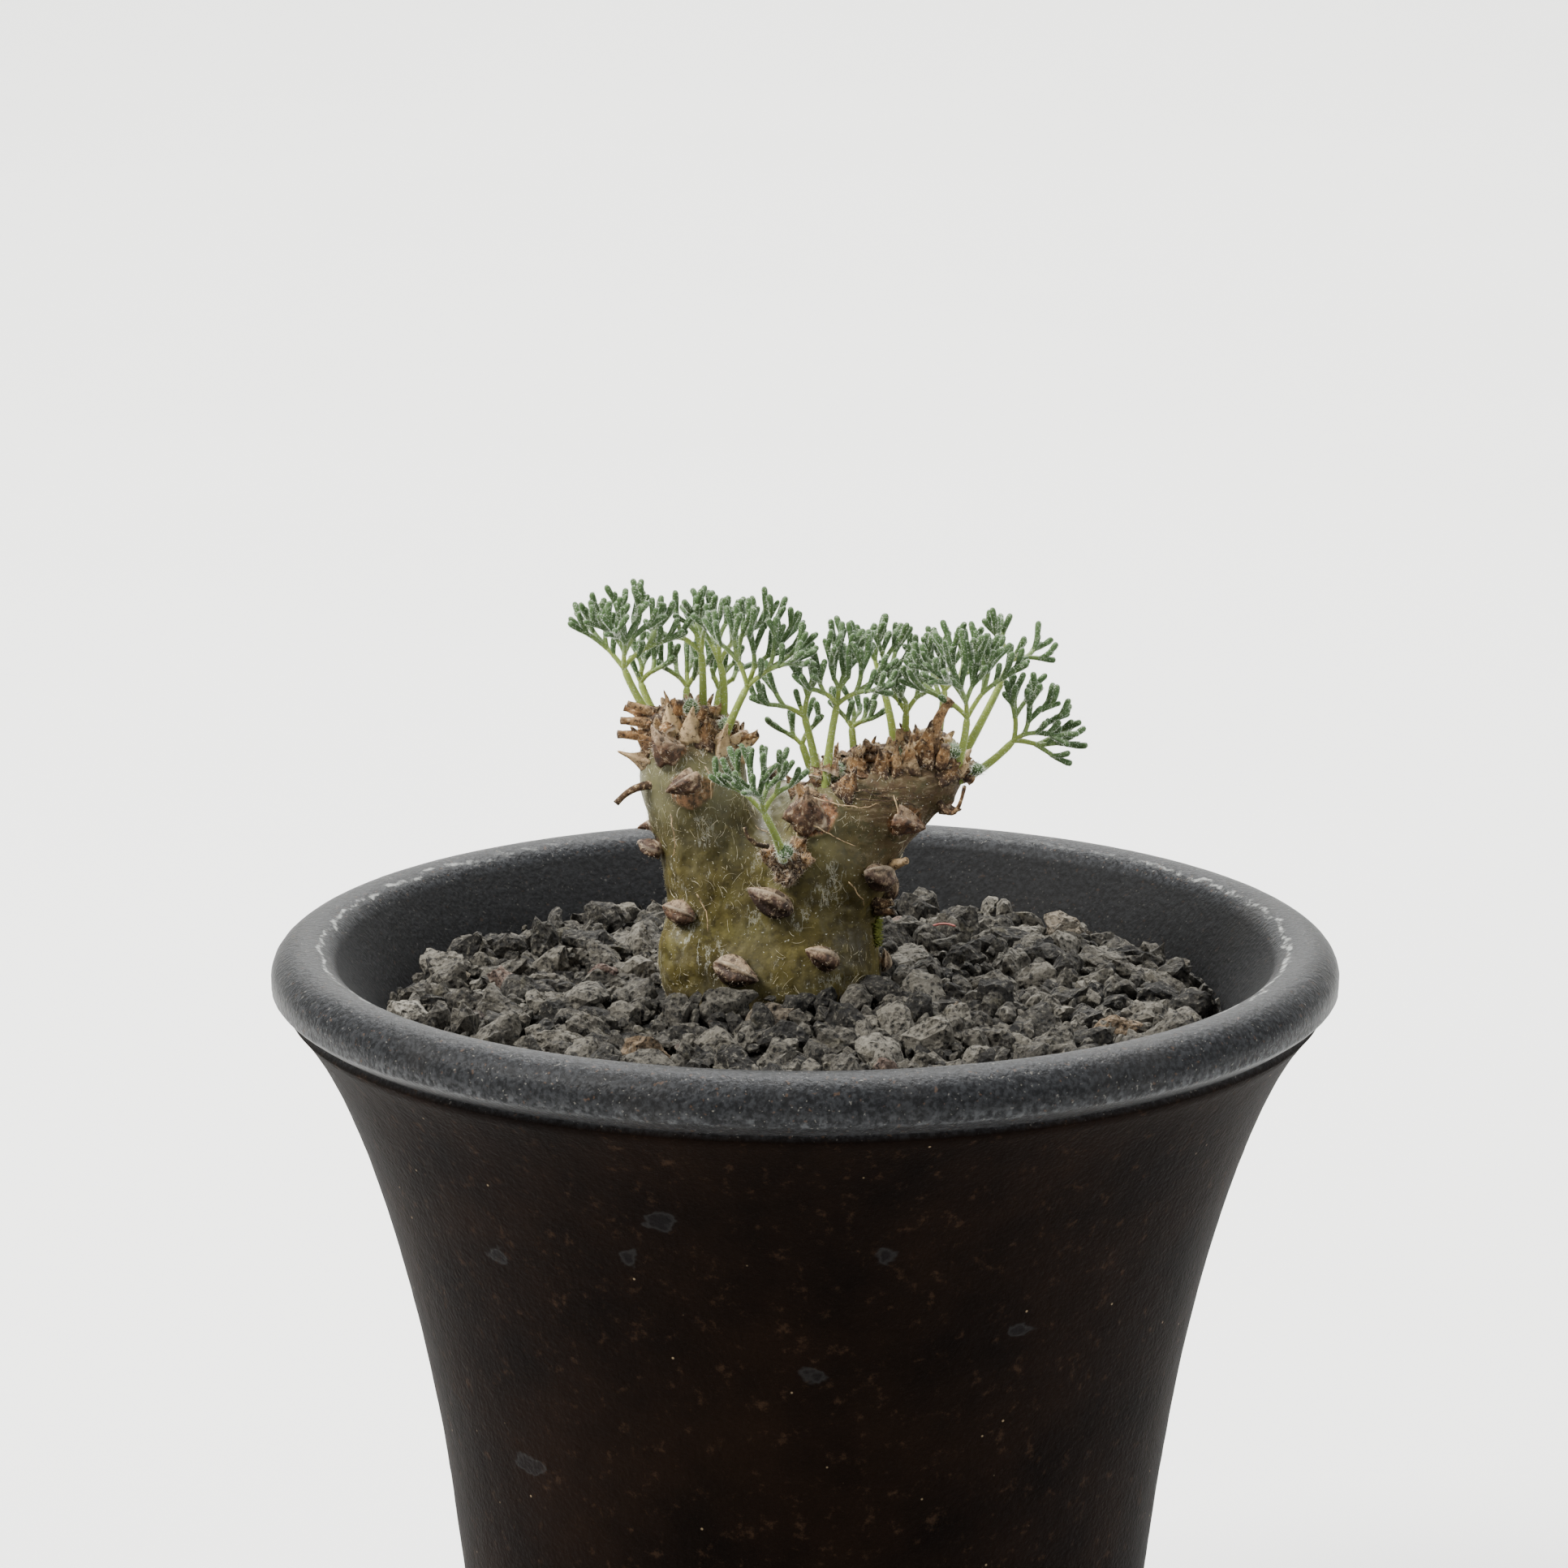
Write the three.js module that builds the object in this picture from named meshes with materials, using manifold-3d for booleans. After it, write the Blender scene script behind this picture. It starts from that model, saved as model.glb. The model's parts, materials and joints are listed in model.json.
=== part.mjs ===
// A small caudex succulent with woolly, finely divided leaves, in a flared round pot of lava gravel.
// Millimetres, +Z up. The origin is under the pot's axis, on the surface that the pot stands on.
// The front of the plant looks along -Y.
import * as THREE from 'three';
import { mergeVertices } from 'three/addons/utils/BufferGeometryUtils.js';
import Module from 'manifold-3d';

const wasm = await Module();
wasm.setup();

// Driving dimensions
const GAP = 0.3; // clear space between pieces that touch
const SHORTEST_EDGE = 0.09; // shorter edges are drawn together after a cut

const POT = {
  lipHeight: 92, // height of the rolled lip's middle
  lipRadius: 49.1, // radius of the rolled lip's middle
  lipHalfWidth: 3.4,
  lipHalfHeight: 3.0,
  lipEdgeRadius: 52.4, // the crisp edge where the lip turns under
  lipEdgeHeight: 91,
  outer: { waist: 30, flare: 15.3, turn: 1.7, turnLength: 4 }, // see flaredRadius
  inner: { waist: 25.4, flare: 13.2, turn: 1.5, turnLength: 1.5 },
  flareFrom: 12, // how far below the lip's middle the wide flare has its stated width
  flareLength: 38.7, // how far the flare takes to narrow to about a third
  turnFrom: 3, // how far below the lip's middle the tight turn under the lip starts
  sides: 48,
  footRingInner: 27,
  footRecess: 3,
  floorTop: 9,
  drainRadius: 5.5,
};

const GRAVEL = {
  wallHeight: 86.9, // height of the fill at the wall, under the top layer of stones
  mound: 1.6, // extra height at the middle
  stonePitch: 6.9, // the stones of the top layer are larger than life
  stoneRise: 2.3, // from the seams between the stones to their tops
  crown: 0.62, // share of a stone's width that its rough top takes up
  shake: 0.62, // how far the stones stand out of line, as a share of the pitch
};

const NET = {
  radius: 9,
  thickness: 0.9,
  holeRadius: 1.4,
  pitch: 4.6,
  margin: 0.9, // least solid width outside the holes
  holeSides: 6,
  sides: 12,
};

// The caudex is a smooth blend of rods: each is a chain of points [x, y, z, radius]
const CAUDEX_BLEND = 3.2;
const CAUDEX_CELL = 2.0;
const CAUDEX_RODS = [
  [[-3.0, 3.5, 80.0, 4.5], [-3.2, 3.5, 87.0, 7.6], [-3.0, 3.4, 91.0, 6.8]], // root and foot
  [[-2.8, 3.2, 91.0, 6.4], [-2.6, 3.4, 99.5, 6.0]], // heart of the trunk
  [[-7.6, 2.9, 90.0, 6.0], [-7.9, 3.0, 97.0, 5.5], [-9.4, 3.0, 103.0, 5.1], [-10.9, 3.2, 110.0, 4.9]],
  [[-11.2, 3.2, 109.0, 3.2], [-12.5, 3.0, 113.4, 3.2]], // left branch's outer shoulder
  [[-10.6, 3.2, 109.0, 3.2], [-9.7, 3.4, 111.3, 2.8]], // left branch's inner shoulder
  [[1.6, 2.6, 90.0, 5.8], [1.4, 3.0, 97.0, 5.6], [3.4, 3.3, 102.5, 5.2], [6.6, 3.6, 107.2, 4.5]],
  [[1.6, 2.6, 102.0, 4.2], [2.2, 2.2, 106.6, 3.7]], // middle branch
  [[7.2, 3.6, 107.4, 3.4], [11.7, 3.4, 110.2, 3.5]], // right branch
  [[-1.5, 6.0, 98.0, 5.4], [-1.9, 8.6, 104.6, 4.3]], // short branch at the back
  [[-11.0, 0.2, 92.4, 2.9], [-11.0, 0.4, 93.4, 2.8]], // swelling low on the left
];

// Dead stubs on the bare stem. A line from at along aim meets the skin at the stub's seat. The stub
// is length tall and width wide, and its tip hooks over by hook.
const STUBS = [
  { at: [-10.0, 2.0, 109.3], aim: [-0.25, -1.0, 0.1], length: 1.5, width: 5.0, hook: [0.3, 0, 1.2] },
  { at: [-11.6, 2.4, 113.0], aim: [-0.6, -0.9, 0.4], length: 1.9, width: 4.4, hook: [-0.8, 0, 1.8] },
  { at: [-8.0, 2.0, 97.6], aim: [-1.0, -0.75, 0.05], length: 1.5, width: 3.8, hook: [-0.9, 0, 0.2] },
  { at: [-2.6, 2.0, 99.2], aim: [-0.15, -1.0, 0.05], length: 1.4, width: 4.8, hook: [-1.3, 0, 0.7] },
  { at: [1.6, 2.0, 93.4], aim: [0.0, -1.0, 0.1], length: 1.3, width: 3.8, hook: [-0.9, 0, 0.4] },
  { at: [-5.6, 2.0, 91.4], aim: [-0.2, -1.0, 0.2], length: 1.0, width: 4.6, hook: [0.9, 0, -0.3] },
  { at: [4.0, 3.0, 101.8], aim: [0.8, -0.9, -0.1], length: 1.7, width: 4.4, hook: [1.3, 0, -0.5] },
  { at: [7.4, 3.4, 106.8], aim: [0.6, -0.9, 0.0], length: 1.3, width: 4.6, hook: [0.9, 0, -0.4] },
  { at: [1.2, 2.2, 105.0], aim: [-0.3, -1.0, 0.8], length: 1.6, width: 5.0, hook: [0.2, 0, 1.6] },
  { at: [-9.6, 3.0, 105.2], aim: [-1.0, -0.1, 0.1], length: 2.0, width: 1.9, hook: [-0.5, 0, -0.5] },
  { at: [-8.6, 3.0, 101.6], aim: [-1.0, -0.2, 0.3], length: 1.6, width: 3.0, hook: [-0.8, 0, -0.2] },
  { at: [11.2, 3.4, 108.6], aim: [1.0, -0.3, -0.35], length: 1.6, width: 1.9, hook: [0.4, 0, 0.5] },
  { at: [2.4, 3.2, 98.6], aim: [1.0, 0.0, 0.1], length: 1.2, width: 2.8, hook: [0.2, 0, 0.3] },
  { at: [2.4, 3.0, 91.6], aim: [1.0, -0.2, 0.1], length: 1.0, width: 2.2, hook: [0.2, 0, 0.3] },
  { at: [-7.0, 4.0, 95.4], aim: [-0.6, 1.0, 0.1], length: 1.4, width: 4.0, hook: [-0.4, 0, 0.8] },
  { at: [0.6, 4.0, 93.6], aim: [0.5, 1.0, 0.1], length: 1.4, width: 4.0, hook: [0.6, 0, 0.6] },
  { at: [-10.0, 4.0, 106.6], aim: [-0.3, 1.0, 0.2], length: 1.5, width: 4.0, hook: [-0.2, 0, 1.0] },
  { at: [5.0, 4.4, 103.6], aim: [0.3, 1.0, 0.1], length: 1.4, width: 4.2, hook: [0.6, 0, 0.6] },
  { at: [-1.9, 8.4, 104.4], aim: [-0.3, 0.5, 1.0], length: 1.4, width: 3.4, hook: [-0.3, 0.4, 0.6] },
  { at: [-1.7, 8.0, 102.6], aim: [0.5, 1.0, 0.4], length: 1.3, width: 3.2, hook: [0.4, 0.2, 0.4] },
];
// The cone of a stub or scale: its foot lies deep under the skin, and its neck, a share of the
// length up, is narrower by neckWidth
const SCALE = { sides: 5, depth: 0.9, neck: 0.25, neckWidth: 0.74 };

// Each crown is a thin crust over a branch tip, with dry scales standing on it. Its zones are balls
// [x, y, z, radius] that the crust fills.
const CRUST_THICKNESS = 0.75;
const CRUST_LIFT = 0.4; // how far a crust lifts its scales, as a share of its thickness
const CRUST_CELL = 1.5;
const CROWNS = {
  crown_left: {
    zones: [[-13.4, 2.8, 116.6, 3.4], [-10.6, 4.2, 116.2, 3.6], [-7.6, 3.2, 114.4, 2.9]],
    scales: [
      { at: [-13.0, 2.6, 112.6], aim: [-1.0, -0.5, 0.7], length: 1.4, width: 2.4, hook: [-0.2, 0, 0.8] },
      { at: [-12.8, 2.6, 111.6], aim: [-1.0, -0.3, 0.3], length: 1.6, width: 2.0, hook: [-0.4, 0, 0.4] },
      { at: [-12.8, 3.6, 112.4], aim: [-1.0, 0.4, 0.8], length: 1.3, width: 2.2, hook: [0, 0, 0.6] },
      { at: [-12.2, 2.6, 113.4], aim: [-0.3, -0.7, 1.0], length: 1.8, width: 2.6, hook: [0.2, 0, 0.9] },
      { at: [-11.2, 2.8, 112.6], aim: [0.0, -0.75, 1.0], length: 1.9, width: 2.4, hook: [0.3, 0, 0.8] },
      { at: [-10.0, 2.8, 112.2], aim: [0.1, -0.75, 1.0], length: 1.3, width: 2.6, hook: [0, 0, 0.7] },
      { at: [-9.0, 2.8, 111.8], aim: [0.3, -0.8, 1.0], length: 1.5, width: 2.4, hook: [0.2, 0, 0.8] },
      { at: [-8.6, 3.2, 111.4], aim: [0.85, -0.6, 0.9], length: 1.8, width: 2.2, hook: [0.6, 0, 0.8] },
      { at: [-8.6, 4.2, 111.6], aim: [0.8, 0.8, 1.0], length: 1.4, width: 2.4, hook: [0.1, 0, 0.6] },
      { at: [-10.4, 4.4, 112.4], aim: [0.0, 1.0, 0.9], length: 1.6, width: 2.8, hook: [0, 0.1, 0.8] },
      { at: [-12.2, 4.0, 112.8], aim: [-0.6, 1.0, 0.9], length: 1.5, width: 2.6, hook: [-0.1, 0, 0.7] },
    ],
  },
  crown_middle: {
    zones: [[1.4, 1.9, 110.6, 2.5], [3.4, 2.4, 110.6, 2.4]],
    scales: [
      { at: [1.8, 2.0, 107.4], aim: [-0.8, -0.7, 0.8], length: 1.2, width: 2.2, hook: [-0.1, 0, 0.8] },
      { at: [3.0, 2.0, 107.4], aim: [0.4, -0.8, 1.0], length: 1.5, width: 2.6, hook: [0.3, 0, 0.9] },
      { at: [2.6, 3.0, 107.6], aim: [0.3, 1.0, 0.9], length: 1.2, width: 2.4, hook: [0, 0, 0.6] },
      { at: [1.6, 2.6, 107.4], aim: [-1.0, 0.5, 0.7], length: 1.1, width: 2.2, hook: [0, 0, 0.6] },
    ],
  },
  crown_right: {
    zones: [[7.6, 3.8, 111.6, 2.8], [10.9, 3.4, 113.2, 2.9], [14.2, 3.4, 112.6, 3.0]],
    scales: [
      { at: [6.4, 3.4, 107.8], aim: [-0.3, -0.6, 1.0], length: 1.3, width: 2.4, hook: [0, 0, 0.7] },
      { at: [7.6, 3.2, 108.4], aim: [-0.05, -0.7, 1.0], length: 1.5, width: 2.4, hook: [-0.1, 0, 0.8] },
      { at: [8.9, 3.2, 109.0], aim: [0.0, -0.75, 1.0], length: 1.6, width: 2.2, hook: [0.1, 0, 0.8] },
      { at: [10.2, 3.2, 109.6], aim: [0.0, -0.75, 1.0], length: 1.9, width: 2.4, hook: [0.2, 0, 1.0] },
      { at: [11.4, 3.2, 110.2], aim: [0.1, -0.6, 1.0], length: 2.6, width: 2.6, hook: [0.4, 0, 1.2] },
      { at: [12.2, 3.2, 109.8], aim: [0.7, -0.8, 0.6], length: 1.0, width: 2.4, hook: [0.2, 0, 0.5] },
      { at: [12.4, 3.6, 109.6], aim: [1.0, 0.3, 0.4], length: 1.2, width: 2.4, hook: [0.3, 0, 0.3] },
      { at: [11.6, 4.2, 110.0], aim: [0.4, 1.0, 0.9], length: 1.5, width: 2.6, hook: [0.1, 0, 0.7] },
      { at: [9.4, 4.4, 109.0], aim: [0.0, 1.0, 0.9], length: 1.5, width: 2.6, hook: [0, 0, 0.7] },
      { at: [7.2, 4.4, 108.2], aim: [-0.3, 1.0, 0.8], length: 1.4, width: 2.4, hook: [-0.1, 0, 0.6] },
    ],
  },
  bud_front: {
    thickness: 1.4,
    zones: [[-2.1, -3.7, 103.4, 2.2]],
    scales: [
      { at: [-3.4, -1.0, 103.4], aim: [-0.4, -0.9, 0.3], length: 0.7, width: 2.0, hook: [-0.3, 0, 0.5] },
      { at: [-0.6, -1.0, 103.2], aim: [0.4, -0.9, 0.1], length: 0.7, width: 2.0, hook: [0.4, 0, 0.2] },
      { at: [-2.0, -1.0, 102.2], aim: [-0.1, -1.0, -0.2], length: 0.6, width: 2.0, hook: [0, 0, -0.3] },
      { at: [-0.8, -1.0, 104.2], aim: [0.3, -0.9, 0.5], length: 0.6, width: 1.8, hook: [0.3, 0, 0.4] },
    ],
  },
};

// Leaves: a stalk from foot past bend to fork, then a fan of arms that reach up from the fork.
// reach is from the fork to the furthest tips, spread is half the fan's angle in degrees, lean is
// the fan's middle direction, turn is how far the fan is turned about it, in degrees, and seed picks
// its small unevenness. A full leaf forks twice on its way up. Each arm carries up to twigs twigs,
// and each twig up to lobes lobes.
const LEAF = {
  stalkRadius: 0.56,
  armRadius: 0.46,
  twigRadius: 0.42,
  lobeRadius: 0.44,
  forkPeak: 0.5, // height of the pyramid in a fork, as a share of the shoot's radius
  smallReach: 4.5, // leaves that reach no further than this are young
  closestSiblings: 0.88, // cosine of the least angle between two shoots of one fork
  siblingRoom: 2.5, // least distance between the ends of two such shoots, as a share of the radius
  mostTwist: 50, // degrees by which a shoot's end may turn to face the shoots that fork from it
  youngThickness: 0.92,
  armShare: 0.34, // lengths of the shoots, as shares of the reach
  rachisShare: 0.2,
  upperArmShare: 0.2,
  twigShare: 0.27,
  lobeShare: 0.32,
  twigSpread: 34,
  lobeSpread: 24,
  upward: 0.22, // how strongly each new shoot turns towards the leaf's own middle direction
  clearance: 0.32, // least space between the shoots of two leaves
  ownClearance: 0.08, // least space between the shoots of one leaf
  stemClearance: 0.3, // least space between a shoot and the stem or a scale
};
const LEAVES = [
  {
    name: 'leaf_left_1', foot: [-13.6, 2.6, 114.4], bend: [-16.4, 2.0, 118.0], fork: [-17.7, 1.5, 121.7],
    lean: [0.05, -0.05, 1.0], reach: 8.1, spread: 46, turn: 0, seed: 34, full: true, twigs: 3, lobes: 3,
  },
  {
    name: 'leaf_left_2', foot: [-13.4, 4.6, 113.8], bend: [-15.4, 5.4, 117.0], fork: [-16.2, 6.0, 119.3],
    lean: [0.2, 0.35, 1.0], reach: 4.2, spread: 34, turn: 15, seed: 41, full: false, twigs: 2, lobes: 2,
  },
  {
    name: 'leaf_left_3', foot: [-11.6, 5.6, 113.6], bend: [-11.9, 7.2, 116.4], fork: [-11.7, 8.4, 118.3],
    lean: [0.0, 0.5, 1.0], reach: 4.6, spread: 34, turn: 0, seed: 41, full: false, twigs: 2, lobes: 2,
  },
  {
    name: 'leaf_left_4', foot: [-10.2, 4.0, 114.0], bend: [-9.9, 4.6, 119.0], fork: [-10.2, 4.4, 122.6],
    lean: [-0.38, -0.1, 1.0], reach: 5.9, spread: 30, turn: -20, seed: 61, full: false, twigs: 2, lobes: 3,
  },
  {
    name: 'leaf_left_5', foot: [-8.9, 3.4, 112.6], bend: [-7.3, 3.4, 118.0], fork: [-8.4, 4.4, 121.6],
    lean: [-0.02, 0.5, 1.0], reach: 6.6, spread: 30, turn: 10, seed: 48, full: false, twigs: 3, lobes: 2,
  },
  {
    name: 'leaf_left_6', foot: [-8.8, 2.0, 112.4], bend: [-7.2, 0.2, 117.2], fork: [-5.7, -0.3, 120.2],
    lean: [0.3, -0.1, 1.0], reach: 9.0, spread: 34, turn: 0, seed: 89, full: true, twigs: 3, lobes: 3,
  },
  {
    name: 'leaf_left_7', foot: [-9.6, 5.4, 112.4], bend: [-8.8, 8.0, 116.0], fork: [-8.5, 9.0, 117.9],
    lean: [0.25, 0.45, 1.0], reach: 4.6, spread: 34, turn: 0, seed: 60, full: false, twigs: 2, lobes: 2,
  },
  {
    name: 'leaf_middle_1', foot: [1.4, 1.8, 109.4], bend: [0.9, 1.7, 113.4], fork: [-0.1, 1.5, 116.9],
    lean: [-0.42, -0.05, 1.0], reach: 5.8, spread: 36, turn: 0, seed: 33, full: true, twigs: 3, lobes: 3,
  },
  {
    name: 'leaf_middle_2', foot: [2.0, 0.9, 109.4], bend: [2.2, 0.3, 114.2], fork: [3.1, 0.0, 118.4],
    lean: [0.1, -0.1, 1.0], reach: 7.6, spread: 46, turn: 0, seed: 55, full: true, twigs: 3, lobes: 3,
  },
  {
    name: 'leaf_middle_3', foot: [1.3, 3.6, 109.2], bend: [0.2, 4.1, 111.8], fork: [-0.3, 4.4, 113.4],
    lean: [-0.3, 0.2, 1.0], reach: 3.8, spread: 34, turn: 0, seed: 52, full: false, twigs: 2, lobes: 2,
  },
  {
    name: 'leaf_middle_4', foot: [5.2, 5.4, 110.0], bend: [4.7, 6.8, 112.6], fork: [4.6, 7.2, 114.5],
    lean: [0.25, 0.45, 1.0], reach: 3.8, spread: 40, turn: 0, seed: 39, full: false, twigs: 2, lobes: 2,
  },
  {
    name: 'leaf_right_1', foot: [9.7, 4.0, 111.0], bend: [9.8, 4.2, 114.2], fork: [9.9, 3.6, 116.8],
    lean: [-0.05, -0.15, 1.0], reach: 4.7, spread: 34, turn: 0, seed: 84, full: false, twigs: 3, lobes: 3,
  },
  {
    name: 'leaf_right_2', foot: [14.4, 2.4, 110.2], bend: [15.6, 1.2, 113.6], fork: [15.8, 0.8, 116.9],
    lean: [-0.12, -0.1, 1.0], reach: 9.4, spread: 42, turn: 0, seed: 66, full: true, twigs: 3, lobes: 3,
  },
  {
    name: 'leaf_right_3', foot: [14.3, 4.8, 110.2], bend: [17.2, 6.0, 114.6], fork: [20.3, 6.8, 121.4],
    lean: [0.5, 0.2, 1.0], reach: 5.0, spread: 52, turn: 0, seed: 58, full: true, twigs: 3, lobes: 3,
  },
  {
    name: 'leaf_right_4', foot: [14.2, 3.2, 109.8], bend: [17.4, 2.8, 110.8], fork: [20.4, 2.3, 114.3],
    lean: [1.0, -0.1, 0.8], reach: 6.6, spread: 46, turn: 0, seed: 40, full: true, twigs: 3, lobes: 3,
  },
  {
    name: 'leaf_right_5', foot: [9.0, 5.6, 110.2], bend: [8.8, 6.8, 115.4], fork: [7.4, 7.2, 119.3],
    lean: [0.15, 0.1, 1.0], reach: 5.4, spread: 28, turn: 0, seed: 26, full: false, twigs: 2, lobes: 2,
  },
  {
    name: 'leaf_right_6', foot: [12.6, 5.4, 110.8], bend: [13.4, 8.4, 114.6], fork: [13.8, 9.6, 117.8],
    lean: [0.1, 0.5, 1.0], reach: 6.0, spread: 40, turn: 0, seed: 11, full: false, twigs: 2, lobes: 3,
  },
  {
    name: 'leaf_front', foot: [-2.1, -3.4, 103.6], bend: [-2.6, -5.8, 106.4], fork: [-4.0, -6.2, 109.0],
    lean: [-0.16, -0.25, 1.0], reach: 7.2, spread: 40, turn: 0, seed: 26, full: true, twigs: 2, lobes: 3,
  },
];

// Vectors are plain arrays of three numbers
const plus = (a, b) => a.map((value, i) => value + b[i]);
const minus = (a, b) => a.map((value, i) => value - b[i]);
const times = (a, k) => a.map((value) => value * k);
const dot = (a, b) => a[0] * b[0] + a[1] * b[1] + a[2] * b[2];
const cross = (a, b) => [a[1] * b[2] - a[2] * b[1], a[2] * b[0] - a[0] * b[2], a[0] * b[1] - a[1] * b[0]];
const unit = (a) => times(a, 1 / Math.hypot(...a));
const radians = (degrees) => (degrees * Math.PI) / 180;

// Repeatable noise in -0.5 to 0.5 from two whole numbers
function jitter(seed, index) {
  const wave = Math.sin(seed * 12.9898 + index * 78.233) * 43758.5453;
  return wave - Math.floor(wave) - 0.5;
}

function turned(vector, axis, angle) {
  const across = cross(axis, vector);
  const along = times(axis, dot(axis, vector) * (1 - Math.cos(angle)));
  return plus(plus(times(vector, Math.cos(angle)), times(across, Math.sin(angle))), along);
}

// A closed geometry, with its shared vertices merged, as a solid that can be joined and cut
function solidFrom(geometry) {
  const bare = geometry.clone();
  bare.deleteAttribute('normal');
  bare.deleteAttribute('uv');
  const merged = mergeVertices(bare, 1e-4);
  return new wasm.Manifold(new wasm.Mesh({
    numProp: 3,
    vertProperties: new Float32Array(merged.attributes.position.array),
    triVerts: new Uint32Array(merged.index.array),
    tolerance: 0.004,
  }));
}

function geometryFrom(solid) {
  const mesh = solid.getMesh();
  const geometry = new THREE.BufferGeometry();
  geometry.setAttribute('position', new THREE.BufferAttribute(new Float32Array(mesh.vertProperties), 3));
  geometry.setIndex(new THREE.BufferAttribute(new Uint32Array(mesh.triVerts), 1));
  return withoutShortEdges(geometry, SHORTEST_EDGE);
}

// The same closed body without the very short edges that cuts leave: their two ends are drawn
// together wherever that turns no face over and keeps the body closed
function withoutShortEdges(geometry, least) {
  const array = geometry.attributes.position.array;
  const points = Array.from({ length: array.length / 3 }, (_, n) => [...array.slice(3 * n, 3 * n + 3)]);
  const faces = Array.from({ length: geometry.index.count / 3 }, (_, n) => [
    ...geometry.index.array.slice(3 * n, 3 * n + 3),
  ]);
  const around = points.map(() => new Set());
  faces.forEach((face, n) => face.forEach((v) => around[v].add(n)));
  const normal = ([a, b, c]) => cross(minus(points[b], points[a]), minus(points[c], points[a]));
  const neighbours = (v) => new Set([...around[v]].flatMap((n) => faces[n]).filter((w) => w !== v));
  const canDraw = (gone, kept) => {
    const far = neighbours(kept);
    if ([...neighbours(gone)].filter((v) => far.has(v)).length !== 2) {
      return false;
    }
    return [...around[gone]].every((n) => {
      if (faces[n].includes(kept)) {
        return true;
      }
      const before = normal(faces[n]);
      const after = normal(faces[n].map((v) => (v === gone ? kept : v)));
      return dot(before, after) > 0.2 * Math.hypot(...before) * Math.hypot(...after);
    });
  };
  const draw = (gone, kept) => {
    for (const n of [...around[gone]]) {
      if (faces[n].includes(kept)) {
        faces[n].forEach((v) => around[v].delete(n));
        faces[n] = null;
      } else {
        faces[n] = faces[n].map((v) => (v === gone ? kept : v));
        around[kept].add(n);
      }
    }
    around[gone].clear();
  };
  let changed = true;
  while (changed) {
    changed = false;
    for (let n = 0; n < faces.length; n += 1) {
      for (let k = 0; k < 3 && faces[n]; k += 1) {
        const [a, b] = [faces[n][k], faces[n][(k + 1) % 3]];
        if (Math.hypot(...minus(points[a], points[b])) > least) {
          continue;
        }
        if (canDraw(b, a)) {
          draw(b, a);
          changed = true;
        } else if (canDraw(a, b)) {
          draw(a, b);
          changed = true;
        }
      }
    }
  }
  const kept = new THREE.BufferGeometry();
  const soup = faces.filter((face) => face).flatMap((face) => face.flatMap((v) => points[v]));
  kept.setAttribute('position', new THREE.Float32BufferAttribute(soup, 3));
  return mergeVertices(kept, 1e-4);
}

function joined(solids) {
  return solids.reduce((sum, next) => sum.add(next));
}

// The largest body of a solid: what a cut left loose is dropped
function mainBody(solid) {
  const bodies = solid.decompose();
  return bodies.reduce((best, next) => (next.volume() > best.volume() ? next : best));
}

// A straight faceted shoot from a to b, closed by a pyramid that rises from b to apex
function shoot(a, b, radiusA, radiusB, sides, apex) {
  const axis = unit(minus(b, a));
  const helper = Math.abs(axis[1]) < 0.9 ? [0, 1, 0] : [1, 0, 0];
  const u = unit(cross(helper, axis));
  const v = cross(axis, u);
  const positions = [];
  for (const [centre, radius] of [[a, radiusA], [b, radiusB]]) {
    for (let i = 0; i < sides; i += 1) {
      const angle = (2 * Math.PI * (i + 0.25)) / sides;
      const offset = plus(times(u, radius * Math.cos(angle)), times(v, radius * Math.sin(angle)));
      positions.push(...plus(centre, offset));
    }
  }
  positions.push(...apex);
  const index = [];
  for (let i = 0; i < sides; i += 1) {
    const next = (i + 1) % sides;
    index.push(i, next, sides + next, i, sides + next, sides + i);
    index.push(sides + i, sides + next, 2 * sides);
    if (i > 0 && next > 0) {
      index.push(0, next, i);
    }
  }
  const geometry = new THREE.BufferGeometry();
  geometry.setAttribute('position', new THREE.Float32BufferAttribute(positions, 3));
  geometry.setIndex(index);
  return solidFrom(geometry);
}

// Distance from a point to a rod: the nearest place on its chain, less the radius there
function rodDistance(point, rod) {
  let nearest = Infinity;
  for (let i = 1; i < rod.length; i += 1) {
    const start = rod[i - 1];
    const end = rod[i];
    const along = minus(end.slice(0, 3), start.slice(0, 3));
    const from = minus(point, start.slice(0, 3));
    const t = Math.min(1, Math.max(0, dot(from, along) / dot(along, along)));
    const radius = start[3] + (end[3] - start[3]) * t;
    nearest = Math.min(nearest, Math.hypot(...minus(from, times(along, t))) - radius);
  }
  return nearest;
}

function smoothLeast(a, b, blend) {
  const h = Math.max(blend - Math.abs(a - b), 0) / blend;
  return Math.min(a, b) - h * h * blend * 0.25;
}

function caudexDistance(point) {
  return CAUDEX_RODS.map((rod) => rodDistance(point, rod))
    .reduce((sum, next) => smoothLeast(sum, next, CAUDEX_BLEND));
}

// The closed skin where a distance formula is zero, on the first of a few shifted grids that gives
// a skin in which every edge has just two faces
function skinOf(distance, low, high, cell) {
  for (let shift = 0; shift < 1; shift += 0.1) {
    const geometry = skinOnGrid(distance, low.map((value) => value - shift * cell), high, cell);
    if (!hasCrowdedEdge(geometry.index.array)) {
      return solidFrom(geometry);
    }
  }
  throw new Error('no grid gives a clean skin');
}

function hasCrowdedEdge(index) {
  const edges = new Set();
  for (let i = 0; i < index.length; i += 3) {
    for (let k = 0; k < 3; k += 1) {
      const edge = `${index[i + k]} ${index[i + ((k + 1) % 3)]}`;
      if (edges.has(edge)) {
        return true;
      }
      edges.add(edge);
    }
  }
  return false;
}

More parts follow.
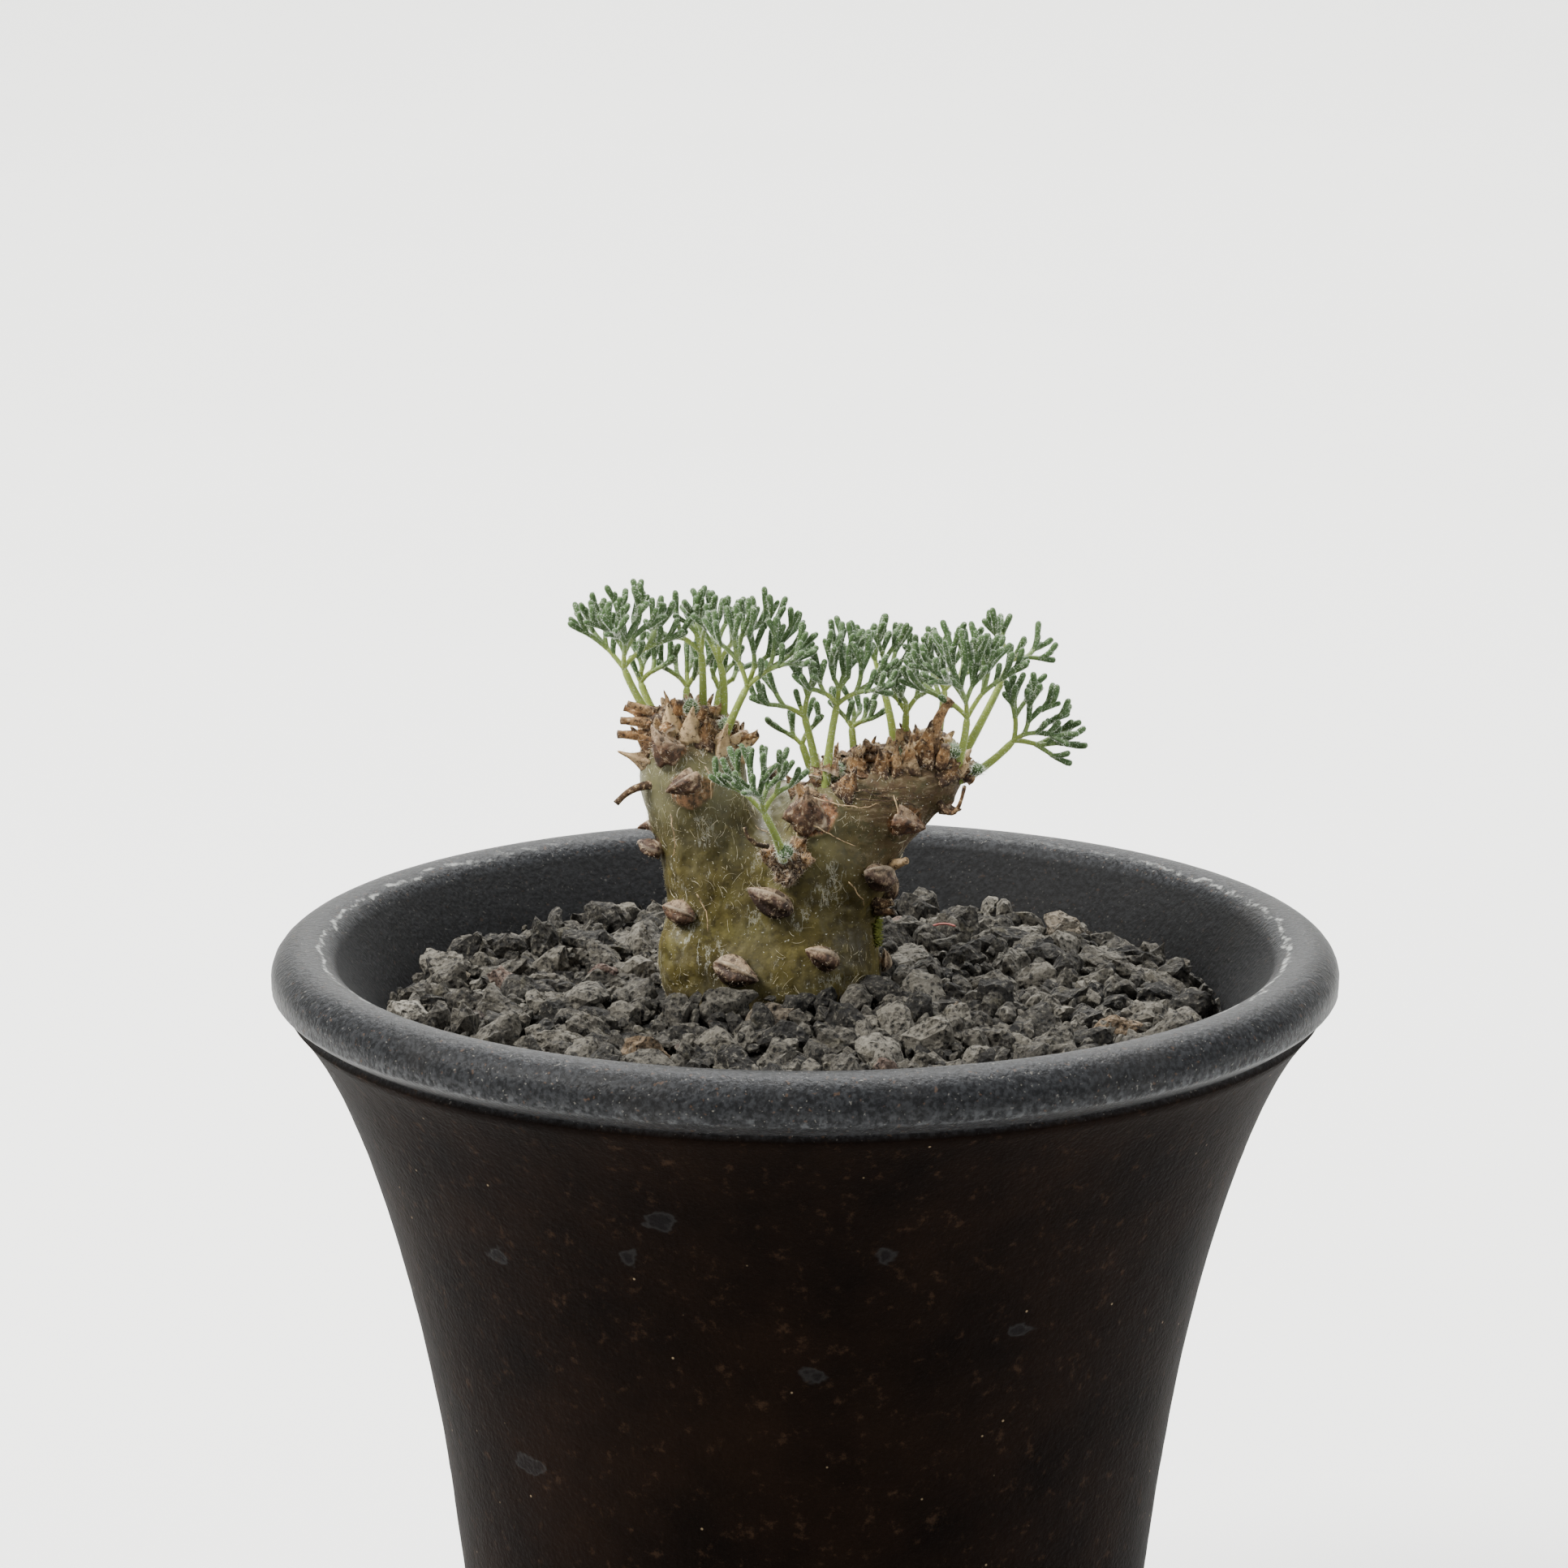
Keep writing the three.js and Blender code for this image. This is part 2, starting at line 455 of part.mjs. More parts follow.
// One vertex in each cell that the skin crosses, moved on to the skin, and one quad across each
// grid edge that the skin crosses
function skinOnGrid(distance, low, high, cell) {
  const counts = low.map((value, i) => Math.ceil((high[i] - value) / cell) + 1);
  const [nx, ny, nz] = counts;
  const place = (i, j, k) => [low[0] + i * cell, low[1] + j * cell, low[2] + k * cell];
  const id = (i, j, k) => (k * ny + j) * nx + i;
  const field = new Float64Array(nx * ny * nz);
  for (let k = 0; k < nz; k += 1) {
    for (let j = 0; j < ny; j += 1) {
      for (let i = 0; i < nx; i += 1) {
        field[id(i, j, k)] = distance(place(i, j, k));
      }
    }
  }
  const vertexOf = new Map();
  const positions = [];
  const vertexIn = (i, j, k) => {
    const key = id(i, j, k);
    if (!vertexOf.has(key)) {
      let point = crossingMiddle(field, id, place, i, j, k);
      for (let step = 0; step < 3; step += 1) {
        point = minus(point, times(slopeOf(distance, point), distance(point)));
      }
      const floor = place(i, j, k).map((value) => value + cell * 0.04);
      const roof = place(i + 1, j + 1, k + 1).map((value) => value - cell * 0.04);
      vertexOf.set(key, positions.length / 3);
      positions.push(...point.map((value, axis) => Math.min(roof[axis], Math.max(floor[axis], value))));
    }
    return vertexOf.get(key);
  };
  const index = [];
  const steps = [[1, 0, 0], [0, 1, 0], [0, 0, 1]];
  for (let k = 1; k < nz - 1; k += 1) {
    for (let j = 1; j < ny - 1; j += 1) {
      for (let i = 1; i < nx - 1; i += 1) {
        for (let axis = 0; axis < 3; axis += 1) {
          const [di, dj, dk] = steps[axis];
          const inside = field[id(i, j, k)] < 0;
          if (inside === field[id(i + di, j + dj, k + dk)] < 0) {
            continue;
          }
          const [ui, uj, uk] = steps[(axis + 1) % 3];
          const [vi, vj, vk] = steps[(axis + 2) % 3];
          const ring = [
            vertexIn(i, j, k),
            vertexIn(i - ui, j - uj, k - uk),
            vertexIn(i - ui - vi, j - uj - vj, k - uk - vk),
            vertexIn(i - vi, j - vj, k - vk),
          ];
          if (!inside) {
            ring.reverse();
          }
          index.push(ring[0], ring[1], ring[2], ring[0], ring[2], ring[3]);
        }
      }
    }
  }
  const geometry = new THREE.BufferGeometry();
  geometry.setAttribute('position', new THREE.Float32BufferAttribute(positions, 3));
  geometry.setIndex(index);
  return geometry;
}

// The middle of the places where the skin crosses a cell's edges
function crossingMiddle(field, id, place, i, j, k) {
  const corners = [];
  for (let n = 0; n < 8; n += 1) {
    corners.push([i + (n & 1), j + ((n >> 1) & 1), k + (n >> 2)]);
  }
  let sum = [0, 0, 0];
  let crossings = 0;
  for (let a = 0; a < 8; a += 1) {
    for (const bit of [1, 2, 4]) {
      const b = a | bit;
      if (b === a) {
        continue;
      }
      const fa = field[id(...corners[a])];
      const fb = field[id(...corners[b])];
      if (fa < 0 === fb < 0) {
        continue;
      }
      const start = place(...corners[a]);
      const end = place(...corners[b]);
      sum = plus(sum, plus(start, times(minus(end, start), fa / (fa - fb))));
      crossings += 1;
    }
  }
  return times(sum, 1 / crossings);
}

function slopeOf(distance, point) {
  const step = 0.01;
  return [0, 1, 2].map((axis) => {
    const ahead = point.slice();
    const behind = point.slice();
    ahead[axis] += step;
    behind[axis] -= step;
    return (distance(ahead) - distance(behind)) / (2 * step);
  });
}

// Where a line from inside the caudex along a direction comes out of its skin
function surfacePoint(from, direction) {
  let inside = 0;
  let outside = 16;
  for (let step = 0; step < 40; step += 1) {
    const middle = (inside + outside) / 2;
    if (caudexDistance(plus(from, times(direction, middle))) < 0) {
      inside = middle;
    } else {
      outside = middle;
    }
  }
  return plus(from, times(direction, inside));
}

// Where a scale sits: its seat on the skin, the way it points, and its tip, rise above a crust
function scaleSeat(scale, rise) {
  const direction = unit(scale.aim);
  const seat = surfacePoint(scale.at, direction);
  return { direction, seat, tip: plus(plus(seat, times(direction, scale.length + rise)), scale.hook) };
}

// A dry scale or stub: a short broad cone with its foot sunk in the stem and its tip hooked over
function scaleCone(scale, rise, grown) {
  const { direction, seat, tip } = scaleSeat(scale, rise);
  const foot = minus(seat, times(direction, SCALE.depth));
  const neck = plus(seat, times(direction, rise + scale.length * SCALE.neck));
  const radius = scale.width / 2 + grown;
  const apex = plus(tip, times(unit(minus(tip, neck)), grown));
  return shoot(foot, neck, radius, radius * SCALE.neckWidth, SCALE.sides, apex);
}

// Pot. A wall's radius at a height given as the drop from the lip's middle: a waist, a wide flare that
// dies away slowly downwards, and a tight turn just under the lip
function flaredRadius(wall, drop) {
  const flare = wall.flare * Math.exp(-(drop - POT.flareFrom) / POT.flareLength);
  return wall.waist + flare + wall.turn * Math.exp(-(drop - POT.turnFrom) / wall.turnLength);
}

function outerRadius(drop) {
  return flaredRadius(POT.outer, drop);
}

function innerRadius(drop) {
  return flaredRadius(POT.inner, drop);
}

function potProfile() {
  const profile = [];
  const add = (radius, height) => profile.push(new THREE.Vector2(radius, height));
  add(POT.drainRadius, POT.footRecess);
  add(POT.footRingInner, POT.footRecess);
  add(POT.footRingInner, 0);
  for (const drop of [92, 62, 38, 21, 11, 6, 3]) {
    add(outerRadius(drop), POT.lipHeight - drop);
  }
  add(POT.lipEdgeRadius, POT.lipEdgeHeight);
  for (let i = 0; i <= 5; i += 1) {
    const angle = (Math.PI * i) / 5;
    const out = POT.lipHalfWidth * Math.cos(angle);
    add(POT.lipRadius + out, POT.lipHeight + POT.lipHalfHeight * Math.sin(angle));
  }
  for (const drop of [3, 12, 40, POT.lipHeight - POT.floorTop]) {
    add(innerRadius(drop), POT.lipHeight - drop);
  }
  add(POT.drainRadius, POT.floorTop);
  add(POT.drainRadius, POT.footRecess);
  return profile;
}

function lathed(profile, sides) {
  const geometry = new THREE.LatheGeometry(profile, sides);
  geometry.rotateX(Math.PI / 2);
  geometry.index.array.reverse();
  return geometry;
}

function facingOut(geometry) {
  const bare = geometry.clone();
  bare.deleteAttribute('normal');
  bare.deleteAttribute('uv');
  const merged = mergeVertices(bare, 1e-4);
  const position = merged.attributes.position;
  const index = merged.index.array;
  const corner = (n) => [position.getX(n), position.getY(n), position.getZ(n)];
  const kept = [];
  let volume = 0;
  for (let i = 0; i < index.length; i += 3) {
    const [a, b, c] = [index[i], index[i + 1], index[i + 2]];
    if (a !== b && b !== c && c !== a) {
      kept.push(a, b, c);
      volume += dot(corner(a), cross(corner(b), corner(c)));
    }
  }
  if (volume < 0) {
    kept.reverse();
  }
  merged.setIndex(kept);
  return merged;
}

// Gravel: a body that fills the inside of the pot, with a top of close-set stones. The stones stand
// on a six-sided pattern that is shaken out of line: each has a raised rough top and slopes down to
// the seams that it shares with its neighbours.
function gravelHeight(x, y) {
  const share = Math.hypot(x, y) / innerRadius(5);
  return GRAVEL.wallHeight + GRAVEL.mound * (1 - share * share);
}

function stoneMiddle(column, row) {
  const seed = column * 31 + row * 17;
  const shake = GRAVEL.stonePitch * GRAVEL.shake;
  const x = (column + row / 2) * GRAVEL.stonePitch + shake * jitter(seed, 1);
  const y = row * GRAVEL.stonePitch * Math.sin(Math.PI / 3) + shake * jitter(seed, 2);
  return [x, y, gravelHeight(x, y)];
}

function gravelSolid(stemRoom) {
  const steps = [[1, 0], [0, 1], [-1, 1], [-1, 0], [0, -1], [1, -1]];
  const rows = Math.ceil(innerRadius(0) / GRAVEL.stonePitch) + 2;
  const low = POT.floorTop;
  const positions = [];
  const index = [];
  const vertexOf = new Map();
  const vertex = (key, point) => {
    if (!vertexOf.has(key)) {
      vertexOf.set(key, positions.length / 3);
      positions.push(...point);
    }
    return vertexOf.get(key);
  };
  const isStone = (...cell) => Math.max(...cell.map(Math.abs), Math.abs(cell[0] + cell[1])) <= rows;
  const corner = (column, row, side, base) => {
    const trio = [[column, row], ...[side, side + 1].map((n) => plus([column, row], steps[n % 6]))];
    const key = `${base} ${trio.map((cell) => cell.join()).sort().join(' ')}`;
    const middle = times(trio.map((cell) => stoneMiddle(...cell)).reduce(plus), 1 / 3);
    return vertex(key, [middle[0], middle[1], base ? low : middle[2]]);
  };
  for (let column = -rows; column <= rows; column += 1) {
    for (let row = -rows; row <= rows; row += 1) {
      if (!isStone(column, row)) {
        continue;
      }
      const seed = column * 57 + row * 23;
      const middle = stoneMiddle(column, row);
      const rise = GRAVEL.stoneRise * (1 + 0.7 * jitter(seed, 3));
      const peak = vertex(`peak ${column},${row}`, plus(middle, [0, 0, rise]));
      const ring = steps.map((_, side) => {
        const seam = corner(column, row, side, false);
        const seamPoint = positions.slice(seam * 3, seam * 3 + 3);
        const share = GRAVEL.crown * (1 + 0.45 * jitter(seed, 10 + side));
        const rim = plus(middle, times(minus(seamPoint, middle), share));
        rim[2] = middle[2] + rise * (0.8 + 0.5 * jitter(seed, 20 + side));
        return vertex(`rim ${column},${row},${side}`, rim);
      });
      steps.forEach((_, side) => {
        const next = (side + 1) % 6;
        const [seam, nextSeam] = [corner(column, row, side, false), corner(column, row, next, false)];
        index.push(peak, ring[side], ring[next]);
        index.push(ring[side], seam, nextSeam, ring[side], nextSeam, ring[next]);
        const [deep, nextDeep] = [corner(column, row, side, true), corner(column, row, next, true)];
        const under = vertex(`under ${column},${row}`, [middle[0], middle[1], low]);
        index.push(under, nextDeep, deep);
        const across = plus([column, row], steps[next]);
        if (!isStone(...across)) {
          index.push(seam, deep, nextDeep, seam, nextDeep, nextSeam);
        }
      });
    }
  }
  const geometry = new THREE.BufferGeometry();
  geometry.setAttribute('position', new THREE.Float32BufferAttribute(positions, 3));
  geometry.setIndex(index);
  const clear = (radius) => radius - GAP / Math.cos(Math.PI / POT.sides);
  const floor = POT.floorTop + 2 * GAP + NET.thickness;
  const profile = [new THREE.Vector2(0, floor)];
  for (const drop of [POT.lipHeight - floor, 40, 12, 3]) {
    profile.push(new THREE.Vector2(clear(innerRadius(drop)), POT.lipHeight - drop));
  }
  profile.push(new THREE.Vector2(clear(POT.lipRadius - POT.lipHalfWidth), POT.lipHeight));
  profile.push(new THREE.Vector2(0, POT.lipHeight));
  const inside = solidFrom(facingOut(lathed(profile, POT.sides)));
  return mainBody(solidFrom(facingOut(geometry)).intersect(inside).subtract(stemRoom));
}

// Net over the drain hole
function netSolid() {
  const disc = new THREE.Shape();
  disc.absarc(0, 0, NET.radius, 0, 2 * Math.PI, false);
  const rows = Math.floor((NET.radius - NET.holeRadius) / NET.pitch);
  for (let row = -rows; row <= rows; row += 1) {
    for (let column = -rows; column <= rows; column += 1) {
      const x = (column + (Math.abs(row) % 2) / 2) * NET.pitch;
      const y = row * NET.pitch * Math.sin(Math.PI / 3);
      if (Math.hypot(x, y) > NET.radius - NET.holeRadius - NET.margin) {
        continue;
      }
      const hole = [];
      const turn = 0.2 + 0.1 * row + 0.03 * column; // each hole has its own, so that no two line up
      for (let i = 0; i < NET.holeSides; i += 1) {
        const angle = (-2 * Math.PI * (i + turn)) / NET.holeSides;
        const corner = new THREE.Vector2(Math.cos(angle), Math.sin(angle)).multiplyScalar(NET.holeRadius);
        hole.push(corner.add(new THREE.Vector2(x, y)));
      }
      disc.holes.push(new THREE.Path(hole));
    }
  }
  const settings = { depth: NET.thickness, bevelEnabled: false, curveSegments: NET.sides };
  const geometry = new THREE.ExtrudeGeometry(disc, settings);
  geometry.translate(0, 0, POT.floorTop + GAP);
  return facingOut(geometry);
}

// How far a crown's scales are lifted above the skin by its crust
function crownRise(crown) {
  return GAP + CRUST_LIFT * (crown.thickness ?? CRUST_THICKNESS);
}

// Crown: a crust a little above the skin inside its zones, with its scales
function crownSolid(crown, stemRoom, shootRoom) {
  const thickness = crown.thickness ?? CRUST_THICKNESS;
  const zoneDistance = (point) => {
    return Math.min(...crown.zones.map((ball) => Math.hypot(...minus(point, ball.slice(0, 3))) - ball[3]));
  };
  const crustDistance = (point) => Math.max(caudexDistance(point) - GAP - thickness, zoneDistance(point));
  const corner = (way) => [0, 1, 2].map((axis) => {
    const reach = crown.zones.map((ball) => way * ball[axis] + ball[3]);
    return way * (Math.max(...reach) + 2 * CRUST_CELL);
  });
  const crust = skinOf(crustDistance, corner(-1), corner(1), CRUST_CELL);
  const rise = crownRise(crown);
  const scales = crown.scales.map((scale) => scaleCone(scale, rise, 0));
  return mainBody(joined([crust, ...scales]).subtract(stemRoom).subtract(shootRoom));
}

// Leaves. A leaf is a tree of shoots: { a, b, radius, axis, children }, from a to b.
function stalkShoots(leaf) {
  const curve = new THREE.QuadraticBezierCurve3(
    new THREE.Vector3(...leaf.foot),
    new THREE.Vector3(...leaf.bend),
    new THREE.Vector3(...leaf.fork),
  );
  const points = curve.getPoints(leaf.reach > LEAF.smallReach ? 3 : 2).map((point) => point.toArray());
  return points.slice(1).map((point, i) => newShoot(points[i], point, LEAF.stalkRadius));
}

function newShoot(a, b, radius) {
  return { a, b, radius, axis: unit(minus(b, a)), children: [] };
}

// Clear space between two shoots, from seven places along the first
function shootGap(one, other) {
  const steps = 6;
  const along = minus(other.b, other.a);
  const taper = (other.tipRadius ?? other.radius) - other.radius;
  let least = Infinity;
  for (let i = 0; i <= steps; i += 1) {
    const place = plus(one.a, times(minus(one.b, one.a), i / steps));
    const t = Math.min(1, Math.max(0, dot(minus(place, other.a), along) / dot(along, along)));
    const away = Math.hypot(...minus(place, plus(other.a, times(along, t))));
    least = Math.min(least, away - one.radius - other.radius - taper * t);
  }
  return least;
}

// Whether two shoots of one fork stand too close for their skins to part cleanly
function isCrowding(one, other) {
  const apart = Math.hypot(...minus(one.b, other.b));
  return dot(one.axis, other.axis) > LEAF.closestSiblings || apart < LEAF.siblingRoom * one.radius;
}

function isClear(candidate, parent, own, others) {
  const tip = plus(candidate.b, times(candidate.axis, candidate.radius));
  const places = [plus(candidate.a, times(minus(candidate.b, candidate.a), 0.5)), candidate.b, tip];
  const stemRoom = GAP + CRUST_THICKNESS + LEAF.stemClearance + candidate.radius;
  if (places.some((place) => caudexDistance(place) < stemRoom)) {
    return false;
  }
  if (parent.children.some((sibling) => isCrowding(candidate, sibling))) {
    return false;
  }
  const apart = (other) => other === parent || parent.children.includes(other)
    || shootGap(candidate, other) > LEAF.ownClearance;
  return own.every(apart) && others.every((other) => shootGap(candidate, other) > LEAF.clearance);
}

// A child shoot in a direction, or turned round its parent until it is clear of all the others
function addShoot(parent, direction, length, radius, own, others) {
  for (const turn of [0, 30, -30, 60, -60, 90, -90, 130, -130, 180]) {
    for (const share of [1, 0.75]) {
      const axis = turned(direction, parent.axis, radians(turn));
      const candidate = newShoot(parent.b, plus(parent.b, times(axis, length * share)), radius);
      if (isClear(candidate, parent, own, others)) {
        parent.children.push(candidate);
        own.push(candidate);
        return candidate;
      }
    }
  }
  return null;
}

// Directions of up to three children: left, right and the middle one, which tips out of the fan
function forkDirections(axis, side, count, spread, seed) {
  const front = cross(side, axis);
  const middleTip = (seed % 2 === 0 ? 0.5 : -0.5) * spread;
  const plan = [[-spread, -0.3 * middleTip], [spread, -0.3 * middleTip], [0, middleTip]];
  return plan.slice(0, count).map(([swing, tip], i) => {
    const swung = radians(swing + 10 * jitter(seed, i));
    const tipped = radians(tip + 10 * jitter(seed, i + 40));
    const fanned = plus(times(axis, Math.cos(swung)), times(side, Math.sin(swung)));
    return unit(plus(times(fanned, Math.cos(tipped)), times(front, Math.sin(tipped))));
  });
}

// A leaf: a stalk, a fork of three, of which a full leaf's middle one forks again, then twigs and
// lobes. own takes all the leaf's shoots, and others are what it keeps clear of.
function growLeaf(leaf, own, others) {
  own.push(...stalkShoots(leaf));
  for (let i = 1; i < own.length; i += 1) {
    own[i - 1].children.push(own[i]);
  }
  const top = own[own.length - 1];
  const lean = unit(leaf.lean);
  const side = turned(unit(cross([0, 1, 0], lean)), lean, radians(leaf.turn));
  const thickness = leaf.reach > LEAF.smallReach ? 1 : LEAF.youngThickness;
  const middleShare = leaf.full ? LEAF.rachisShare : LEAF.armShare;
  const grow = (parent, aim, share, radius, number) => {
    const length = leaf.reach * share * (1 + 0.3 * jitter(leaf.seed, number));
    return addShoot(parent, aim, length, radius * thickness, own, others);
  };
  const arms = [];
  const growArms = (parent, share, spread, number) => {
    forkDirections(lean, side, 3, spread, leaf.seed + number).forEach((aim, i) => {
      const isMiddle = i === 2 && parent === top;
      arms.push(grow(parent, aim, isMiddle ? middleShare : share, LEAF.armRadius, number + i));
    });
  };
  growArms(top, LEAF.armShare, leaf.spread, 10);
  if (leaf.full && arms[2]) {
    growArms(arms.pop(), LEAF.upperArmShare, leaf.spread * 0.62, 20);
  }
  arms.forEach((arm, i) => {
    if (!arm) {
      return;
    }
    const level = unit(cross(arm.axis, cross(side, arm.axis)));
    const armSide = turned(level, arm.axis, radians(40 - 80 * (i % 2)));
    const number = leaf.seed + 7 * i + 3;
    forkDirections(arm.axis, armSide, leaf.twigs, LEAF.twigSpread, number).forEach((aim, j) => {
      const bent = unit(plus(aim, times(lean, LEAF.upward)));
      const twig = grow(arm, bent, LEAF.twigShare, LEAF.twigRadius, 30 + 4 * i + j);
      if (!twig) {
        return;
      }
      const twigSide = unit(cross(armSide, twig.axis));
      const lobeAims = forkDirections(twig.axis, twigSide, leaf.lobes, LEAF.lobeSpread, number + 5 * j);
      lobeAims.forEach((lobeAim, k) => {
        const upturned = unit(plus(lobeAim, times(lean, LEAF.upward)));
        grow(twig, upturned, LEAF.lobeShare, LEAF.lobeRadius, 60 + 8 * i + 2 * j + k);
      });
    });
  });
}

// How far to turn the end of a shoot, and which of its three faces each child takes, so that the
// faces look the children's way as well as they can. start is the turn of its foot, u and v lie
// across its axis.
function bestFork(item, axis, u, v, start) {
  if (item.children.length < 2) {
    return { twist: start, faceOf: [0, 1, 2] };
  }
  const orders = [[0, 1, 2], [0, 2, 1], [1, 0, 2], [1, 2, 0], [2, 0, 1], [2, 1, 0]];
  const most = radians(LEAF.mostTwist);
  let best = { fit: -Infinity };
  for (let twist = start - most; twist <= start + most; twist += most / 5) {
    for (const faceOf of orders) {
      const fit = item.children.reduce((sum, child, i) => {
        const angle = twist + (2 * Math.PI * (faceOf[i] + 0.5)) / 3;
        const out = plus(times(u, Math.cos(angle)), times(v, Math.sin(angle)));
        return sum + dot(out, child.axis);
      }, -0.02 * Math.abs(twist - start));
      if (fit > best.fit) {
        best = { fit, twist, faceOf };
      }
    }
  }
  return best;
}

// The skin of a leaf: three-sided shoots. Where a shoot forks, its end is closed by a low pyramid,
// and each child stands on the face of it that looks the child's way.
function leafGeometry(stalk) {
  const positions = [];
  const index = [];
  const add = (point) => positions.push(...point) / 3 - 1;
  const pointOf = (n) => positions.slice(3 * n, 3 * n + 3);
  const skin = (item, base) => {
    const middle = times(base.map(pointOf).reduce(plus), 1 / 3);
    const axis = unit(minus(item.b, middle));
    const flat = base.map((n) => {
      const out = minus(pointOf(n), middle);
      return unit(minus(out, times(axis, dot(out, axis))));
    });
    const u = flat[0];
    const v = cross(axis, u);
    let [sumCos, sumSin] = [0, 0];
    flat.forEach((out, i) => {
      const angle = Math.atan2(dot(out, v), dot(out, u)) - (2 * Math.PI * i) / 3;
      sumCos += Math.cos(angle);
      sumSin += Math.sin(angle);
    });
    const { twist, faceOf } = bestFork(item, axis, u, v, Math.atan2(sumSin, sumCos));
    const ring = base.map((n, i) => {
      const angle = twist + (2 * Math.PI * i) / 3;
      const out = plus(times(u, Math.cos(angle)), times(v, Math.sin(angle)));
      return add(plus(item.b, times(out, item.radius)));
    });
    for (let i = 0; i < 3; i += 1) {
      const next = (i + 1) % 3;
      index.push(base[i], base[next], ring[next], base[i], ring[next], ring[i]);
    }
    if (item.children.length === 1) {
      skin(item.children[0], ring);
      return;
    }
    const peak = add(plus(item.b, times(axis, item.radius * LEAF.forkPeak)));
    const faces = ring.map((n, i) => [n, ring[(i + 1) % 3], peak]);
    item.children.forEach((child, i) => skin(child, faces[faceOf[i]]));
    const taken = faceOf.slice(0, item.children.length);
    faces.filter((face, i) => !taken.includes(i)).forEach((face) => index.push(...face));
  };
  const first = stalk[0];
  const u = unit(cross([0, 1, 0], first.axis));
  const v = cross(first.axis, u);
  const base = [0, 1, 2].map((i) => {
    const angle = (2 * Math.PI * i) / 3;
    const out = plus(times(u, Math.cos(angle)), times(v, Math.sin(angle)));
    return add(plus(first.a, times(out, first.radius)));
  });
  index.push(base[0], base[2], base[1]);
  skin(first, base);
  const geometry = new THREE.BufferGeometry();
  geometry.setAttribute('position', new THREE.Float32BufferAttribute(positions, 3));
  geometry.setIndex(index);
  return geometry;
}

// The scales of all crowns, as tapering shoots that the leaves keep clear of
function scaleShoots() {
  return Object.values(CROWNS).flatMap((crown) => crown.scales.map((scale) => {
    const { seat, tip } = scaleSeat(scale, crownRise(crown));
    return { ...newShoot(seat, tip, scale.width / 2), tipRadius: 0.2 };
  }));
}

function growLeaves() {
  const stalks = LEAVES.map((leaf) => stalkShoots(leaf));
  const grown = [];
  LEAVES.forEach((leaf, i) => {
    const others = scaleShoots().concat(grown.flatMap((other) => other.own));
    others.push(...stalks.slice(i + 1).flat());
    const own = [];
    growLeaf(leaf, own, others);
    grown.push({ name: leaf.name, own, stalk: own.slice(0, stalks[i].length) });
  });
  return grown;
}

// Build
const root = new THREE.Group();

function addNode(name, geometry, material) {
  const mesh = new THREE.Mesh(geometry, material);
  mesh.name = name;
  root.add(mesh);
}

function finish(color, roughness) {
  return new THREE.MeshStandardMaterial({ color, roughness, metalness: 0 });
}

const STEM_LOW = [-20, -9, 72];
const STEM_HIGH = [20, 18, 121];
const stem = skinOf(caudexDistance, STEM_LOW, STEM_HIGH, CAUDEX_CELL);
const caudex = joined([stem, ...STUBS.map((stub) => scaleCone(stub, 0, 0))]);
const stemSkin = skinOf((point) => caudexDistance(point) - GAP, STEM_LOW, STEM_HIGH, CAUDEX_CELL);
const stemRoom = joined([stemSkin, ...STUBS.map((stub) => scaleCone(stub, 0, GAP))]);

const leaves = growLeaves();

addNode('pot', facingOut(lathed(potProfile(), POT.sides)), finish(0x2a211c, 0.55));
addNode('drain_net', netSolid(), finish(0x303236, 0.6));
addNode('gravel', geometryFrom(gravelSolid(stemRoom)), finish(0x4a4540, 0.95));
addNode('caudex', geometryFrom(caudex), finish(0x6f6c3c, 0.6));
for (const [name, crown] of Object.entries(CROWNS)) {
  const stalks = leaves.flatMap((leaf) => leaf.stalk);
  const shootRoom = joined(stalks.map((item) => {
    const radius = (item.radius + GAP) / Math.cos(Math.PI / 6);
    const start = minus(item.a, times(item.axis, GAP));
    return shoot(start, item.b, radius, radius, 6, plus(item.b, times(item.axis, GAP)));
  }));
  addNode(name, geometryFrom(crownSolid(crown, stemRoom, shootRoom)), finish(0x8a6650, 0.9));
}
for (const leaf of leaves) {
  const solid = solidFrom(leafGeometry(leaf.stalk)).subtract(stemRoom);
  addNode(leaf.name, geometryFrom(mainBody(solid)), finish(0x8fa98f, 0.9));
}

export default root;
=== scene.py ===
"""Looks of a small caudex succulent in a flared pot of lava gravel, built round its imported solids.

Sizes in this file are millimetres and become metres when a mesh is made. +Z is up, the origin is
under the pot's axis on the surface that it stands on, and the front of the plant looks along -Y.
"""
from __future__ import annotations

import json
import logging
import math
from dataclasses import dataclass, field
from enum import Enum
from typing import Callable

